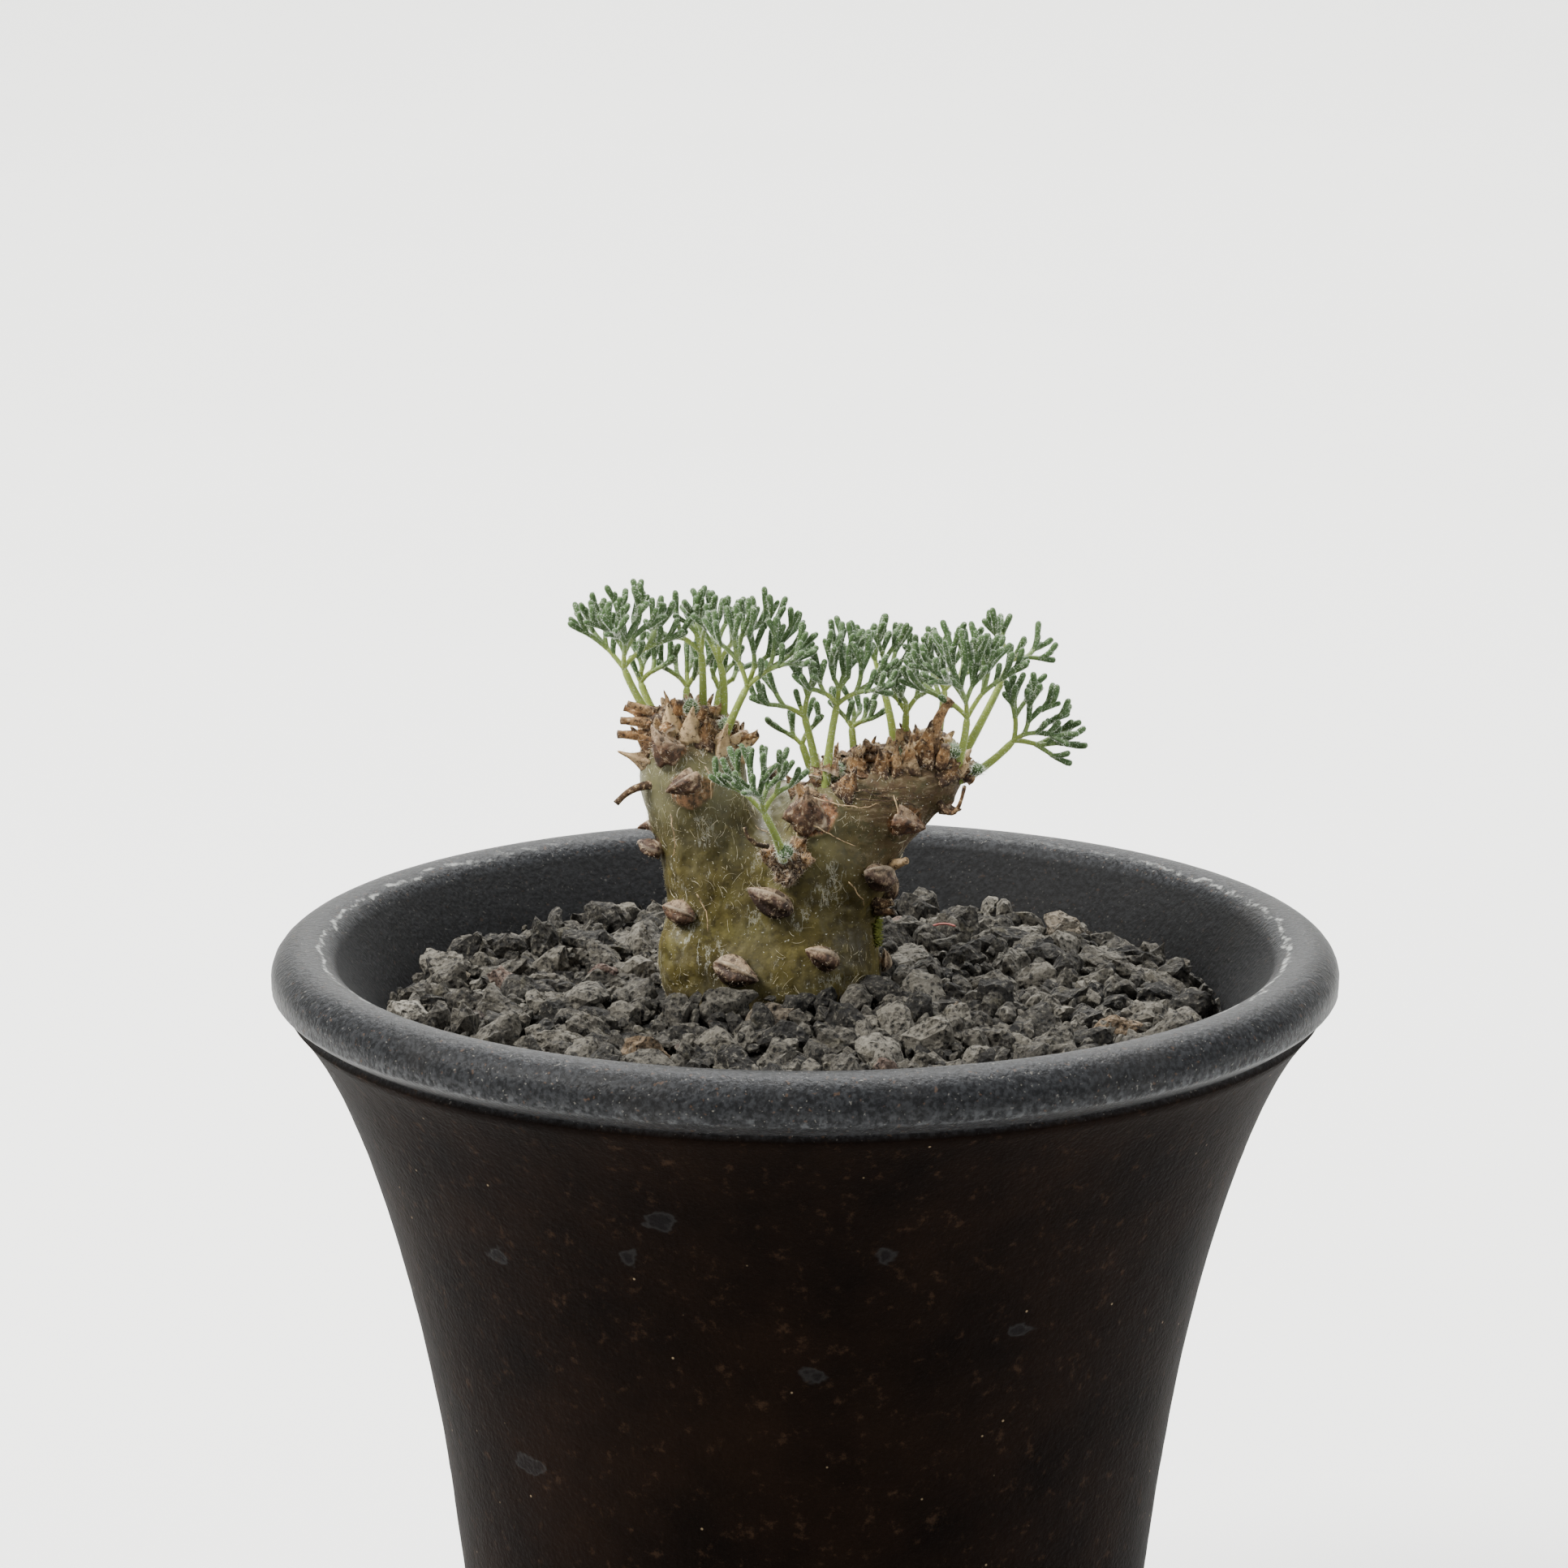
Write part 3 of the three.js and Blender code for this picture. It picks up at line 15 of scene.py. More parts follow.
import bpy
import mathutils
import numpy as np
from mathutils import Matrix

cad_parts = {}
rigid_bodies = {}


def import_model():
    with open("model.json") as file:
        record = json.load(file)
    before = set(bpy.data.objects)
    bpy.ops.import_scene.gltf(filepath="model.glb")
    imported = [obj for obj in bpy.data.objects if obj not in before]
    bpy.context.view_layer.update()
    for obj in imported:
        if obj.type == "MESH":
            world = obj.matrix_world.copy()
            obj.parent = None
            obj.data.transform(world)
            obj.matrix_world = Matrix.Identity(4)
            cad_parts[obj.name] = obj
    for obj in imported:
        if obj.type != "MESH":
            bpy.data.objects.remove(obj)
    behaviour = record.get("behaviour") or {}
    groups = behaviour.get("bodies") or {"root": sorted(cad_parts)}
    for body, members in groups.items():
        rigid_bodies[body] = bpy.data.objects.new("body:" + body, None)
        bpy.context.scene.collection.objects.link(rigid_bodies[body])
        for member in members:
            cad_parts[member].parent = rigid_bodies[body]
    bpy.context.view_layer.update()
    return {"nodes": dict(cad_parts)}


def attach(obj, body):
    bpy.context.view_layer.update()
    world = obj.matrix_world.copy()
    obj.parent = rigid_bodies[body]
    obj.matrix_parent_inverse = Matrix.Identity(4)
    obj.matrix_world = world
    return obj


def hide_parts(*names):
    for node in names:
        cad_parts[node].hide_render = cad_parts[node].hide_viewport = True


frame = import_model()

Array = np.ndarray
Place = tuple[float, float, float]
Color = tuple[float, float, float]
Socket = bpy.types.NodeSocket
Distance = Callable[[Array], Array]

MM = 0.001
UP = np.array([0.0, 0.0, 1.0])
log = logging.getLogger("succulent")


class Slot(Enum):
    """The record's material slots."""

    POT = "pot_body"
    NET = "net"
    LAVA = "lava"
    STEM = "stem_skin"
    SCALES = "dry_scales"
    LEAF = "leaf_green"


# Noise


def hashed(cells: Array, seed: int) -> Array:
    """Repeatable numbers in 0 to 1, one for each whole-numbered cell.

    Formula: the cell's numbers are multiplied by large odd numbers, mixed bit by bit and scaled.

    Args:
        cells: Whole numbers, shape (..., 3).
        seed: Picks one of many unlike patterns.

    Returns:
        An array of shape (...).
    """
    whole = (cells.astype(np.int64) & 0xFFFFFFFF).astype(np.uint32)
    mixed = whole[..., 0] * np.uint32(73856093)
    mixed = mixed ^ (whole[..., 1] * np.uint32(19349663))
    mixed = mixed ^ (whole[..., 2] * np.uint32(83492791))
    mixed = mixed ^ np.uint32((seed * 2654435761) & 0xFFFFFFFF)
    for shift in (13, 16, 15):
        mixed = (mixed ^ (mixed >> np.uint32(shift))) * np.uint32(1274126177)
    return (mixed >> np.uint32(8)).astype(np.float64) / float(1 << 24)


def soft_noise(points: Array, size: float, seed: int) -> Array:
    """Smooth noise in -1 to 1 with lumps of about one size.

    Formula: hashed values at the corners of each cell, blended by a smooth step along each axis.

    Args:
        points: Places, shape (n, 3), in millimetres.
        size: Width of a cell, in millimetres.
        seed: Picks the pattern.

    Returns:
        An array of n values.
    """
    scaled = points / size
    cell = np.floor(scaled)
    t = scaled - cell
    t = t * t * (3.0 - 2.0 * t)
    total = np.zeros(len(points))
    for corner in range(8):
        offset = np.array([corner & 1, (corner >> 1) & 1, corner >> 2])
        weight = np.prod(np.where(offset == 1, t, 1.0 - t), axis=-1)
        total += weight * hashed(cell + offset, seed)
    return 2.0 * total - 1.0


def layered_noise(points: Array, size: float, seed: int, layers: int = 3) -> Array:
    """Noise with finer lumps on coarser ones, each layer half as wide and half as strong.

    Args:
        points: Places, shape (n, 3).
        size: Width of the coarsest lumps.
        seed: Picks the pattern.
        layers: Number of layers.

    Returns:
        An array of n values in about -1 to 1.
    """
    total = np.zeros(len(points))
    for layer in range(layers):
        total += soft_noise(points + 17.3 * layer, size / 2**layer, seed + layer) / 2**layer
    return total / (2.0 - 0.5 ** (layers - 1))


def smooth_step(values: Array, low: float, high: float) -> Array:
    """A smooth rise from 0 at low to 1 at high."""
    t = np.clip((values - low) / (high - low), 0.0, 1.0)
    return t * t * (3.0 - 2.0 * t)


def made_unit(vectors: Array) -> Array:
    """The same directions with length 1."""
    return vectors / np.maximum(np.linalg.norm(vectors, axis=-1, keepdims=True), 1e-12)


# Meshes


@dataclass
class Skin:
    """Points in millimetres, faces as arrays of corner numbers, and numbers that points carry."""

    points: Array
    faces: list[Array]
    marks: dict[str, Array] = field(default_factory=dict)

    def count(self) -> int:
        """Number of triangles that the faces make."""
        return sum(len(face) * (face.shape[1] - 2) for face in self.faces)

    def spread(self, values: Array) -> Array:
        """Values for each point, from those of each point or of each of the skin's equal forms."""
        return np.repeat(values, len(self.points) // len(values), axis=0)

    def marked(self, name: str, values: Array | float) -> Skin:
        """The same skin with one more number carried by its points, given for each point or form."""
        self.marks[name] = self.spread(np.atleast_1d(np.asarray(values, float)))
        return self

    def moved(self, amounts: Array, ways: Array = np.ones((1, 3))) -> Skin:
        """The same skin with each point moved by its amount along its own or its form's way."""
        self.points = self.points + amounts[:, None] * self.spread(ways)
        return self


def joined_skins(skins: list[Skin]) -> Skin:
    """Several skins as one: faces count on from the points before, and missing marks are 0.

    Args:
        skins: The skins, in order.

    Returns:
        One skin.
    """
    starts = np.cumsum([0] + [len(skin.points) for skin in skins])
    names = sorted({name for skin in skins for name in skin.marks})
    faces = [face + start for skin, start in zip(skins, starts) for face in skin.faces]
    marks = {}
    for name in names:
        parts = [skin.marks.get(name, np.zeros(len(skin.points))) for skin in skins]
        marks[name] = np.concatenate(parts)
    return Skin(np.concatenate([skin.points for skin in skins]), faces, marks)


def place(skin: Skin, name: str, slot: Slot, finish: bpy.types.Material,
          nodes: tuple[str, ...] = (), smooth: bool = True) -> bpy.types.Object:
    """Makes a skin into a piece that rides on the part.

    Args:
        skin: The surface, in millimetres.
        name: The piece's name.
        slot: The record's slot that the finish belongs to; not used.
        finish: The material.
        nodes: CAD nodes that the piece stands for.
        smooth: Whether the faces are shaded as one smooth surface.

    Returns:
        The new object, at the origin.
    """
    mesh = bpy.data.meshes.new(name)
    loops = np.concatenate([face.ravel() for face in skin.faces]).astype(np.int32)
    sizes = np.concatenate([np.full(len(face), face.shape[1]) for face in skin.faces])
    mesh.vertices.add(len(skin.points))
    mesh.vertices.foreach_set("co", (skin.points * MM).astype(np.float32).ravel())
    mesh.loops.add(len(loops))
    mesh.loops.foreach_set("vertex_index", loops)
    mesh.polygons.add(len(sizes))
    starts = np.concatenate([[0], np.cumsum(sizes)[:-1]]).astype(np.int32)
    mesh.polygons.foreach_set("loop_start", starts)
    mesh.polygons.foreach_set("use_smooth", np.full(len(sizes), smooth))
    for mark, values in skin.marks.items():
        attribute = mesh.attributes.new(mark, "FLOAT", "POINT")
        attribute.data.foreach_set("value", values.astype(np.float32))
    mesh.materials.append(finish)
    mesh.update(calc_edges=True)
    mesh.validate()
    piece = bpy.data.objects.new(name, mesh)
    bpy.context.scene.collection.objects.link(piece)
    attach(piece, "root")
    if nodes:
        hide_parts(*nodes)
    log.info("%s: %d triangles", name, skin.count())
    return piece


def frames_along(paths: Array, lead: Array) -> tuple[Array, Array]:
    """Two directions across each path at each of its points.

    Formula: the first is the lead direction less its share along the path, made unit, and the
    second is square to it and to the path.

    Args:
        paths: Points, shape (t, r, 3).
        lead: A direction for each path, shape (t, 3).

    Returns:
        The two directions, each of shape (t, r, 3).
    """
    tangent = made_unit(np.gradient(paths, axis=1))
    along = np.sum(tangent * lead[:, None, :], axis=-1, keepdims=True)
    first = made_unit(lead[:, None, :] - along * tangent)
    return first, np.cross(tangent, first)


def bent_paths(starts: Array, middles: Array, ends: Array,
               steps: Array) -> Array:
    """Curves of second degree from each start, past each middle, to each end.

    Args:
        starts: Places, shape (n, 3).
        middles: Control places.
        ends: Places.
        steps: Shares of the way, shape (r,).

    Returns:
        Points, shape (n, r, 3).
    """
    t = steps[None, :, None]
    a, b, c = starts[:, None], middles[:, None], ends[:, None]
    return (1.0 - t) ** 2 * a + 2.0 * t * (1.0 - t) * b + t * t * c


def side_lead(paths: Array) -> Array:
    """A direction well off each path's own, shape (t, 3)."""
    chord = made_unit(paths[:, -1] - paths[:, 0])
    level = np.abs(chord[:, 1:2]) < 0.9
    return np.where(level, np.array([[0.0, 1.0, 0.0]]), np.array([[1.0, 0.0, 0.0]]))


def round_angles(count: int) -> Array:
    """Angles once round a circle, in radians."""
    return 2.0 * np.pi * np.arange(count) / count


def ring_faces(rings: int, sides: int) -> tuple[Array, Array]:
    """Faces of a closed form that is made of rings of points.

    Args:
        rings: Number of rings.
        sides: Number of points in a ring.

    Returns:
        Corner numbers of the four-cornered faces between the rings, and of the triangles to the two
        closing points, whose numbers follow the rings'.
    """
    row = np.arange(rings - 1)[:, None] * sides
    col = np.arange(sides)[None, :]
    turn = (col + 1) % sides
    quads = np.stack([row + col, row + turn, row + sides + turn, row + sides + col], -1).reshape(-1, 4)
    last = (rings - 1) * sides
    ends = np.concatenate([
        np.stack([turn[0], col[0], np.full(sides, last + sides)], -1),
        np.stack([last + col[0], last + turn[0], np.full(sides, last + sides + 1)], -1),
    ])
    return quads, ends


def carried(paths: Array, sections: Array, lead: Array) -> Skin:
    """Closed forms: sections carried along paths, with each end drawn to a point.

    Formula: a point is its path's point plus the section's two numbers times the two directions
    across the path. The first and last points of a path are the two closing points.

    Args:
        paths: Points, shape (t, r + 2, 3).
        sections: Offsets across the path, shape (t, r, k, 2).
        lead: Which way the section's first number points, shape (t, 3).

    Returns:
        A skin of t closed forms. Its mark "along" runs from 0 at the foot to 1 at the tip.
    """
    count, rings, sides = sections.shape[:3]
    first, second = frames_along(paths, lead)
    centre = paths[:, 1:-1, None, :]
    across = sections[..., :1] * first[:, 1:-1, None, :]
    across = across + sections[..., 1:] * second[:, 1:-1, None, :]
    body = (centre + across).reshape(count, rings * sides, 3)
    points = np.concatenate([body, paths[:, :1], paths[:, -1:]], axis=1)
    quads, ends = ring_faces(rings, sides)
    step = (np.arange(count) * (rings * sides + 2))[:, None, None]
    along = np.repeat(np.linspace(0.0, 1.0, rings), sides)
    along = np.tile(np.concatenate([along, [0.0, 1.0]]), count)
    faces = [(quads[None] + step).reshape(-1, 4), (ends[None] + step).reshape(-1, 3)]
    return Skin(points.reshape(-1, 3), faces, {"along": along})


def tubes(paths: Array, radii: Array, sides: int) -> Skin:
    """Round tubes along paths, closed at both ends.

    Args:
        paths: Points, shape (t, r + 2, 3), whose first and last are the closing points.
        radii: Radius of each ring, shape (t, r).
        sides: Number of sides.

    Returns:
        A skin of t tubes.
    """
    angle = round_angles(sides)
    circle = np.stack([np.cos(angle), np.sin(angle)], -1)
    return carried(paths, radii[..., None, None] * circle, side_lead(paths))


def spikes(feet: Array, tips: Array, radius: float) -> Skin:
    """Hairs: a slender three-sided pyramid from each foot to its tip.

    Args:
        feet: Places of the feet, shape (n, 3).
        tips: Places of the tips, shape (n, 3).
        radius: From the middle of a foot to its corners.

    Returns:
        A skin of n closed hairs.
    """
    axis = made_unit(tips - feet)
    helper = np.where(np.abs(axis[:, 2:3]) < 0.8, UP[None], np.array([[1.0, 0.0, 0.0]]))
    u = made_unit(np.cross(helper, axis))
    v = np.cross(axis, u)
    corners = []
    for angle in (0.0, 2.0 * math.pi / 3.0, 4.0 * math.pi / 3.0):
        corners.append(feet + radius * (math.cos(angle) * u + math.sin(angle) * v))
    points = np.stack([*corners, tips], axis=1).reshape(-1, 3)
    one = np.array([[0, 1, 3], [1, 2, 3], [2, 0, 3], [2, 1, 0]])
    faces = (one[None] + 4 * np.arange(len(feet))[:, None, None]).reshape(-1, 3)
    return Skin(points, [faces])


def skin_of(distance: Distance, low: Array, high: Array,
            cell: float) -> Skin:
    """The closed surface where a distance formula is zero.

    Formula: each cell of a grid that the surface crosses gets one point, the middle of the places
    where it crosses the cell's edges. Each grid edge that it crosses gets one four-cornered face.

    Args:
        distance: Distance of places, shape (n, 3), from the surface, negative inside.
        low: Lowest corner of the grid.
        high: Highest corner of the grid.
        cell: Width of a cell.

    Returns:
        The surface, with its points drawn on to it.
    """
    counts = np.ceil((high - low) / cell).astype(int) + 1
    axes = [low[i] + cell * np.arange(counts[i]) for i in range(3)]
    grid = np.stack(np.meshgrid(*axes, indexing="ij"), -1).reshape(-1, 3)
    values = distance(grid).reshape(counts)
    cells = tuple(counts - 1)
    total = np.zeros(cells + (3,))
    crossings = np.zeros(cells)
    for axis in range(3):
        for corner in range(4):
            start = [0, 0, 0]
            start[(axis + 1) % 3] = corner & 1
            start[(axis + 2) % 3] = corner >> 1
            end = list(start)
            end[axis] = 1
            a = values[tuple(slice(s, s + c) for s, c in zip(start, cells))]
            b = values[tuple(slice(s, s + c) for s, c in zip(end, cells))]
            crossed = (a < 0) != (b < 0)
            t = np.where(crossed, a / np.where(crossed, a - b, 1.0), 0.0)
            for side in range(3):
                total[..., side] += np.where(crossed, start[side] + (t if side == axis else 0.0), 0.0)
            crossings += crossed
    active = crossings > 0
    number = np.full(cells, -1, np.int64)
    number[active] = np.arange(np.count_nonzero(active))
    base = np.stack(np.nonzero(active), -1)
    points = low + cell * (base + total[active] / crossings[active][:, None])
    inside = values < 0
    quads = []
    for axis in range(3):
        here = [slice(1, -1)] * 3
        there = [slice(1, -1)] * 3
        there[axis] = slice(2, None)
        first = inside[tuple(here)]
        changed = first != inside[tuple(there)]
        at = np.stack(np.nonzero(changed), -1) + 1
        out = first[changed]
        u = np.eye(3, dtype=int)[(axis + 1) % 3]
        v = np.eye(3, dtype=int)[(axis + 2) % 3]
        ring = np.stack([number[tuple((at - back).T)] for back in (0 * u, u, u + v, v)], -1)
        quads.append(np.where(out[:, None], ring, ring[:, ::-1]))
    return Skin(drawn_on(distance, points, 3), [np.concatenate(quads)])


def slope_of(distance: Distance, points: Array) -> Array:
    """The direction in which a distance grows, from small steps along each axis."""
    step = 0.02
    parts = []
    for axis in np.eye(3):
        parts.append(distance(points + step * axis) - distance(points - step * axis))
    return np.stack(parts, -1) / (2.0 * step)


def drawn_on(distance: Distance, points: Array, steps: int) -> Array:
    """The points moved on to the surface where the distance is zero, step by step."""
    for _ in range(steps):
        points = points - slope_of(distance, points) * distance(points)[:, None]
    return points


def edges_of(faces: Array) -> tuple[Array, Array]:
    """The two ends of each edge, once each, and the numbers of each face's edges."""
    edges = np.stack([faces, np.roll(faces, -1, axis=1)], -1)
    edges.sort(axis=-1)
    pairs, where = np.unique(edges.reshape(-1, 2), axis=0, return_inverse=True)
    return pairs, where.reshape(faces.shape)


def finer(skin: Skin) -> Skin:
    """Each four-cornered face cut into four, through its middle and the middles of its edges."""
    quads = skin.faces[0]
    pairs, where = edges_of(quads)
    where = where + len(skin.points)
    middles = skin.points[pairs].mean(axis=1)
    centre = len(skin.points) + len(pairs) + np.arange(len(quads))
    points = np.concatenate([skin.points, middles, skin.points[quads].mean(axis=1)])
    faces = []
    for corner in range(4):
        faces.append(np.stack([quads[:, corner], where[:, corner], centre, where[:, corner - 1]], -1))
    return Skin(points, [np.concatenate(faces)])


# Finishes


class Graph:
    """A material's nodes, with short ways to add and join them. Sizes are given in millimetres."""

    def __init__(self, name: str, roughness: float, specular: float = 0.5) -> None:
        """Starts a material with one plain shader.

        Args:
            name: The material's name.
            roughness: The shader's own roughness.
            specular: The shader's own specular level.
        """
        self.material = bpy.data.materials.new(name)
        self.material.use_nodes = True
        self.tree = self.material.node_tree
        self.shader = self.tree.nodes["Principled BSDF"]
        self.fed(self.shader, Roughness=roughness, Specular_IOR_Level=specular)
        self.place = self.node("TexCoord").outputs["Object"]

    def joined(self, value: object, socket: Socket) -> None:
        """Links a socket, or sets a plain number, vector or colour."""
        if isinstance(value, Socket):
            self.tree.links.new(value, socket)
        elif value is not None:
            socket.default_value = (*value, 1.0) if socket.type == "RGBA" else value

    def fed(self, node: bpy.types.Node, **inputs: object) -> bpy.types.Node:
        """The node with inputs linked or set. In their names _ stands for a space."""
        for name, value in inputs.items():
            self.joined(value, node.inputs[name.replace("_", " ")])
        return node

    def node(self, kind: str, **inputs: object) -> bpy.types.Node:
        """A new node of a kind, with inputs linked or set."""
        return self.fed(self.tree.nodes.new(f"ShaderNode{kind}"), **inputs)

    def stretched(self, x: float, y: float, z: float) -> Socket:
        """The place, with each axis multiplied by a number, so that patterns run long or short."""
        return self.node("Mapping", Scale=(x, y, z), Vector=self.place).outputs["Vector"]

    def noise(self, size: float, detail: float = 3.0, roughness: float = 0.55,
              place: Socket | None = None) -> Socket:
        """Cloudy noise in 0 to 1 whose lumps are about size wide."""
        node = self.node("TexNoise", Scale=1.0 / (size * MM), Detail=detail, Roughness=roughness,
                         Vector=place or self.place)
        return node.outputs["Fac"]

    def cells(self, size: float) -> Socket:
        """Distance to the nearest of scattered points that are about size apart."""
        return self.node("TexVoronoi", Scale=1.0 / (size * MM), Vector=self.place).outputs["Distance"]

    def mark(self, name: str) -> Socket:
        """A number that the piece's points carry."""
        node = self.node("Attribute")
        node.attribute_name = name
        return node.outputs["Fac"]

    def step(self, value: object, low: float, high: float) -> Socket:
        """A smooth rise from 0 where the value is low to 1 where it is high."""
        node = self.node("MapRange", Value=value, From_Min=low, From_Max=high)
        node.interpolation_type = "SMOOTHSTEP"
        return node.outputs["Result"]

    def sum(self, kind: str, first: object, second: object = 0.0) -> Socket:
        """A sum of the named kind, such as MULTIPLY, of two numbers."""
        node = self.node("Math")
        node.operation = kind
        self.joined(first, node.inputs[0])
        self.joined(second, node.inputs[1])
        return node.outputs["Value"]

    def times(self, first: object, second: object) -> Socket:
        """Two numbers multiplied."""
        return self.sum("MULTIPLY", first, second)

    def plus(self, base: object, *terms: tuple[Socket, float]) -> Socket:
        """A number, and each of some others times its weight, added up."""
        for value, weight in terms:
            base = self.sum("ADD", base, self.times(value, weight))
        return base

    def off(self, value: Socket, middle: float) -> Socket:
        """How far a number is from a middle, never below 0."""
        return self.sum("ABSOLUTE", self.sum("SUBTRACT", value, middle))

    def away(self, place: Socket, spot: Color = (0.0, 0.0, 0.0)) -> Socket:
        """Distance of a place from a spot, in metres."""
        node = self.node("VectorMath")
        node.operation = "DISTANCE"
        self.joined(place, node.inputs[0])
        self.joined(spot, node.inputs[1])
        return node.outputs["Value"]

    def axis(self, index: int) -> Socket:
        """One axis of the place, in metres."""
        return self.node("SeparateXYZ", Vector=self.place).outputs[index]

    def blend(self, share: object, first: object, second: object) -> Socket:
        """The first colour where the share is 0, the second where it is 1."""
        node = self.node("Mix")
        node.data_type = "RGBA"
        sockets = [socket for socket in node.inputs if socket.enabled]
        for value, socket in zip((share, first, second), sockets):
            self.joined(value, socket)
        return next(socket for socket in node.outputs if socket.enabled)

    def over(self, color: object, tint: object, share: Socket,
             strength: float = 1.0) -> Socket:
        """The colour under a tint, which covers it as far as its share times its strength says."""
        return self.blend(self.times(share, strength) if strength < 1.0 else share, color, tint)

    def bumped(self, height: Socket, depth: float, strength: float = 1.0,
               under: Socket | None = None) -> Socket:
        """A normal for small relief, depth millimetres deep where the height goes from 0 to 1."""
        node = self.node("Bump", Strength=strength, Distance=depth * MM, Height=height, Normal=under)
        return node.outputs["Normal"]

    def done(self, color: Socket, normal: Socket,
             roughness: Socket | None = None) -> bpy.types.Material:
        """Joins colour, relief and, if it changes over the surface, roughness to the shader."""
        self.fed(self.shader, Base_Color=color, Normal=normal, Roughness=roughness)
        return self.material


@dataclass(frozen=True)
class PotFinish:
    """Dark brown satin clay, with a sandy charcoal lip and inside, flecks, lime and water stains, and painted
    shade inside the pot.

    A stain is x, y, z and radius. Its reach multiplies the place along each axis.
    """

    body_dark: Color = (0.0012, 0.0007, 0.0005)
    body_warm: Color = (0.0062, 0.0031, 0.0017)
    stain: Color = (0.006, 0.006, 0.0065)
    stain_rim: Color = (0.060, 0.060, 0.058)
    speck: Color = (0.16, 0.12, 0.075)
    charcoal_dark: Color = (0.0075, 0.0079, 0.0087)
    charcoal_pale: Color = (0.0230, 0.0242, 0.0265)
    charcoal_worn: Color = (0.022, 0.020, 0.018)
    shadow: Color = (0.005, 0.005, 0.005)
    worn_edge: Color = (0.050, 0.052, 0.055)
    fleck: Color = (0.30, 0.285, 0.25)
    rust: Color = (0.11, 0.062, 0.035)
    lime: Color = (0.42, 0.43, 0.41)
    lime_radius: float = 47.6
    lime_width: float = 0.34
    stains: tuple[tuple[float, float, float, float], ...] = (
        (-13.3, -38.0, 79.3, 2.2), (-16.2, -36.0, 74.6, 1.7), (-26.4, -26.0, 49.4, 1.5),
        (20.1, -33.0, 66.2, 1.5), (7.4, -40.0, 75.9, 1.5), (0.6, -37.0, 63.0, 1.6),
        (-28.3, -27.0, 72.2, 2.0), (-6.3, -40.0, 79.5, 1.3), (31.0, -24.0, 77.0, 1.6),
        (30.0, 26.0, 70.0, 2.0), (-20.0, 32.0, 62.0, 1.7), (-36.0, 14.0, 78.0, 1.6),
    )
    stain_reach: Place = (1.0, 0.35, 1.35)

    def made(self, name: str, gloss: float) -> bpy.types.Material:
        """The material. Its marks: "lip" on the lip and inside, "edge" under the lip, "inner" inside.

        Args:
            name: The material's name.
            gloss: The shader's specular level.

        Returns:
            The material.
        """
        graph = Graph(name, 0.5, gloss)
        grain = graph.noise(0.5, 3.0, 0.6)
        broad = graph.noise(14.0, 4.0, 0.6)
        lip, inner, edge = (graph.mark(mark) for mark in ("lip", "inner", "edge"))
        ring, film = self.stain_shares(graph)
        clay = graph.blend(graph.step(broad, 0.15, 0.85), self.body_dark, self.body_warm)
        clay = graph.over(clay, self.rust, graph.step(graph.noise(1.6, 5.0, 0.7), 0.56, 0.72), 0.12)
        clay = graph.over(clay, self.stain, film, 0.55)
        clay = graph.over(clay, self.stain_rim, ring, 0.10)
        clay = graph.over(clay, self.speck, graph.step(graph.cells(3.4), 0.05, 0.02), 0.8)
        coal = graph.blend(graph.step(grain, 0.38, 0.66), self.charcoal_dark, self.charcoal_pale)
        coal = graph.over(coal, self.charcoal_worn, graph.step(broad, 0.5, 0.75), 0.35)
        coal = graph.over(coal, self.fleck, graph.step(graph.noise(0.34, 1.0, 0.4), 0.70, 0.76), 0.26)
        rusty = graph.noise(0.55, 1.0, 0.4, graph.stretched(1.0, 1.0, 1.1))
        coal = graph.over(coal, self.rust, graph.step(rusty, 0.69, 0.75), 0.3)
        coal = graph.over(coal, self.lime, self.lime_share(graph))
        # Painted shade: wherever the inner mark is set, the inside of the pot is darkened to the shadow
        # colour.
        coal = graph.over(coal, self.shadow, inner, 0.65)
        worn = graph.times(edge, graph.step(graph.noise(0.8), 0.45, 0.70))
        color = graph.over(graph.over(clay, coal, lip), self.worn_edge, worn)
        relief = graph.bumped(grain, 0.16, 0.75)
        relief = graph.bumped(graph.noise(2.2, 2.0), 0.22, 0.35, relief)
        return graph.done(color, relief, graph.plus(0.62, (lip, -0.18), (inner, 0.22), (film, -0.12)))

    def stain_shares(self, graph: Graph) -> tuple[Socket, Socket]:
        """Shares of the dried water stains' pale rims and of the film inside them.

        Formula: the distance to a stain's middle, made uneven by noise, is within a thin band for
        the rim and below it for the film. The place is stretched upwards and squeezed in depth, so
        that a stain lies a little flat and goes through the wall.
        """
        shake = graph.noise(1.9, 2.0, 0.5, graph.stretched(1.0, 1.0, 1.35))
        uneven = graph.times(graph.sum("SUBTRACT", shake, 0.5), 2.4 * MM)
        squeezed = graph.stretched(*self.stain_reach)
        rims: object = 0.0
        films: object = 0.0
        for *spot, radius in self.stains:
            middle = tuple(MM * reach * value for reach, value in zip(self.stain_reach, spot))
            away = graph.sum("ADD", graph.away(squeezed, middle), uneven)
            film = graph.step(away, (radius + 0.15) * MM, (radius - 0.15) * MM)
            core = graph.step(away, (radius - 0.15) * MM, (radius - 0.45) * MM)
            films = graph.sum("MAXIMUM", films, film)
            rims = graph.sum("MAXIMUM", rims, graph.sum("SUBTRACT", film, core))
        return rims, films

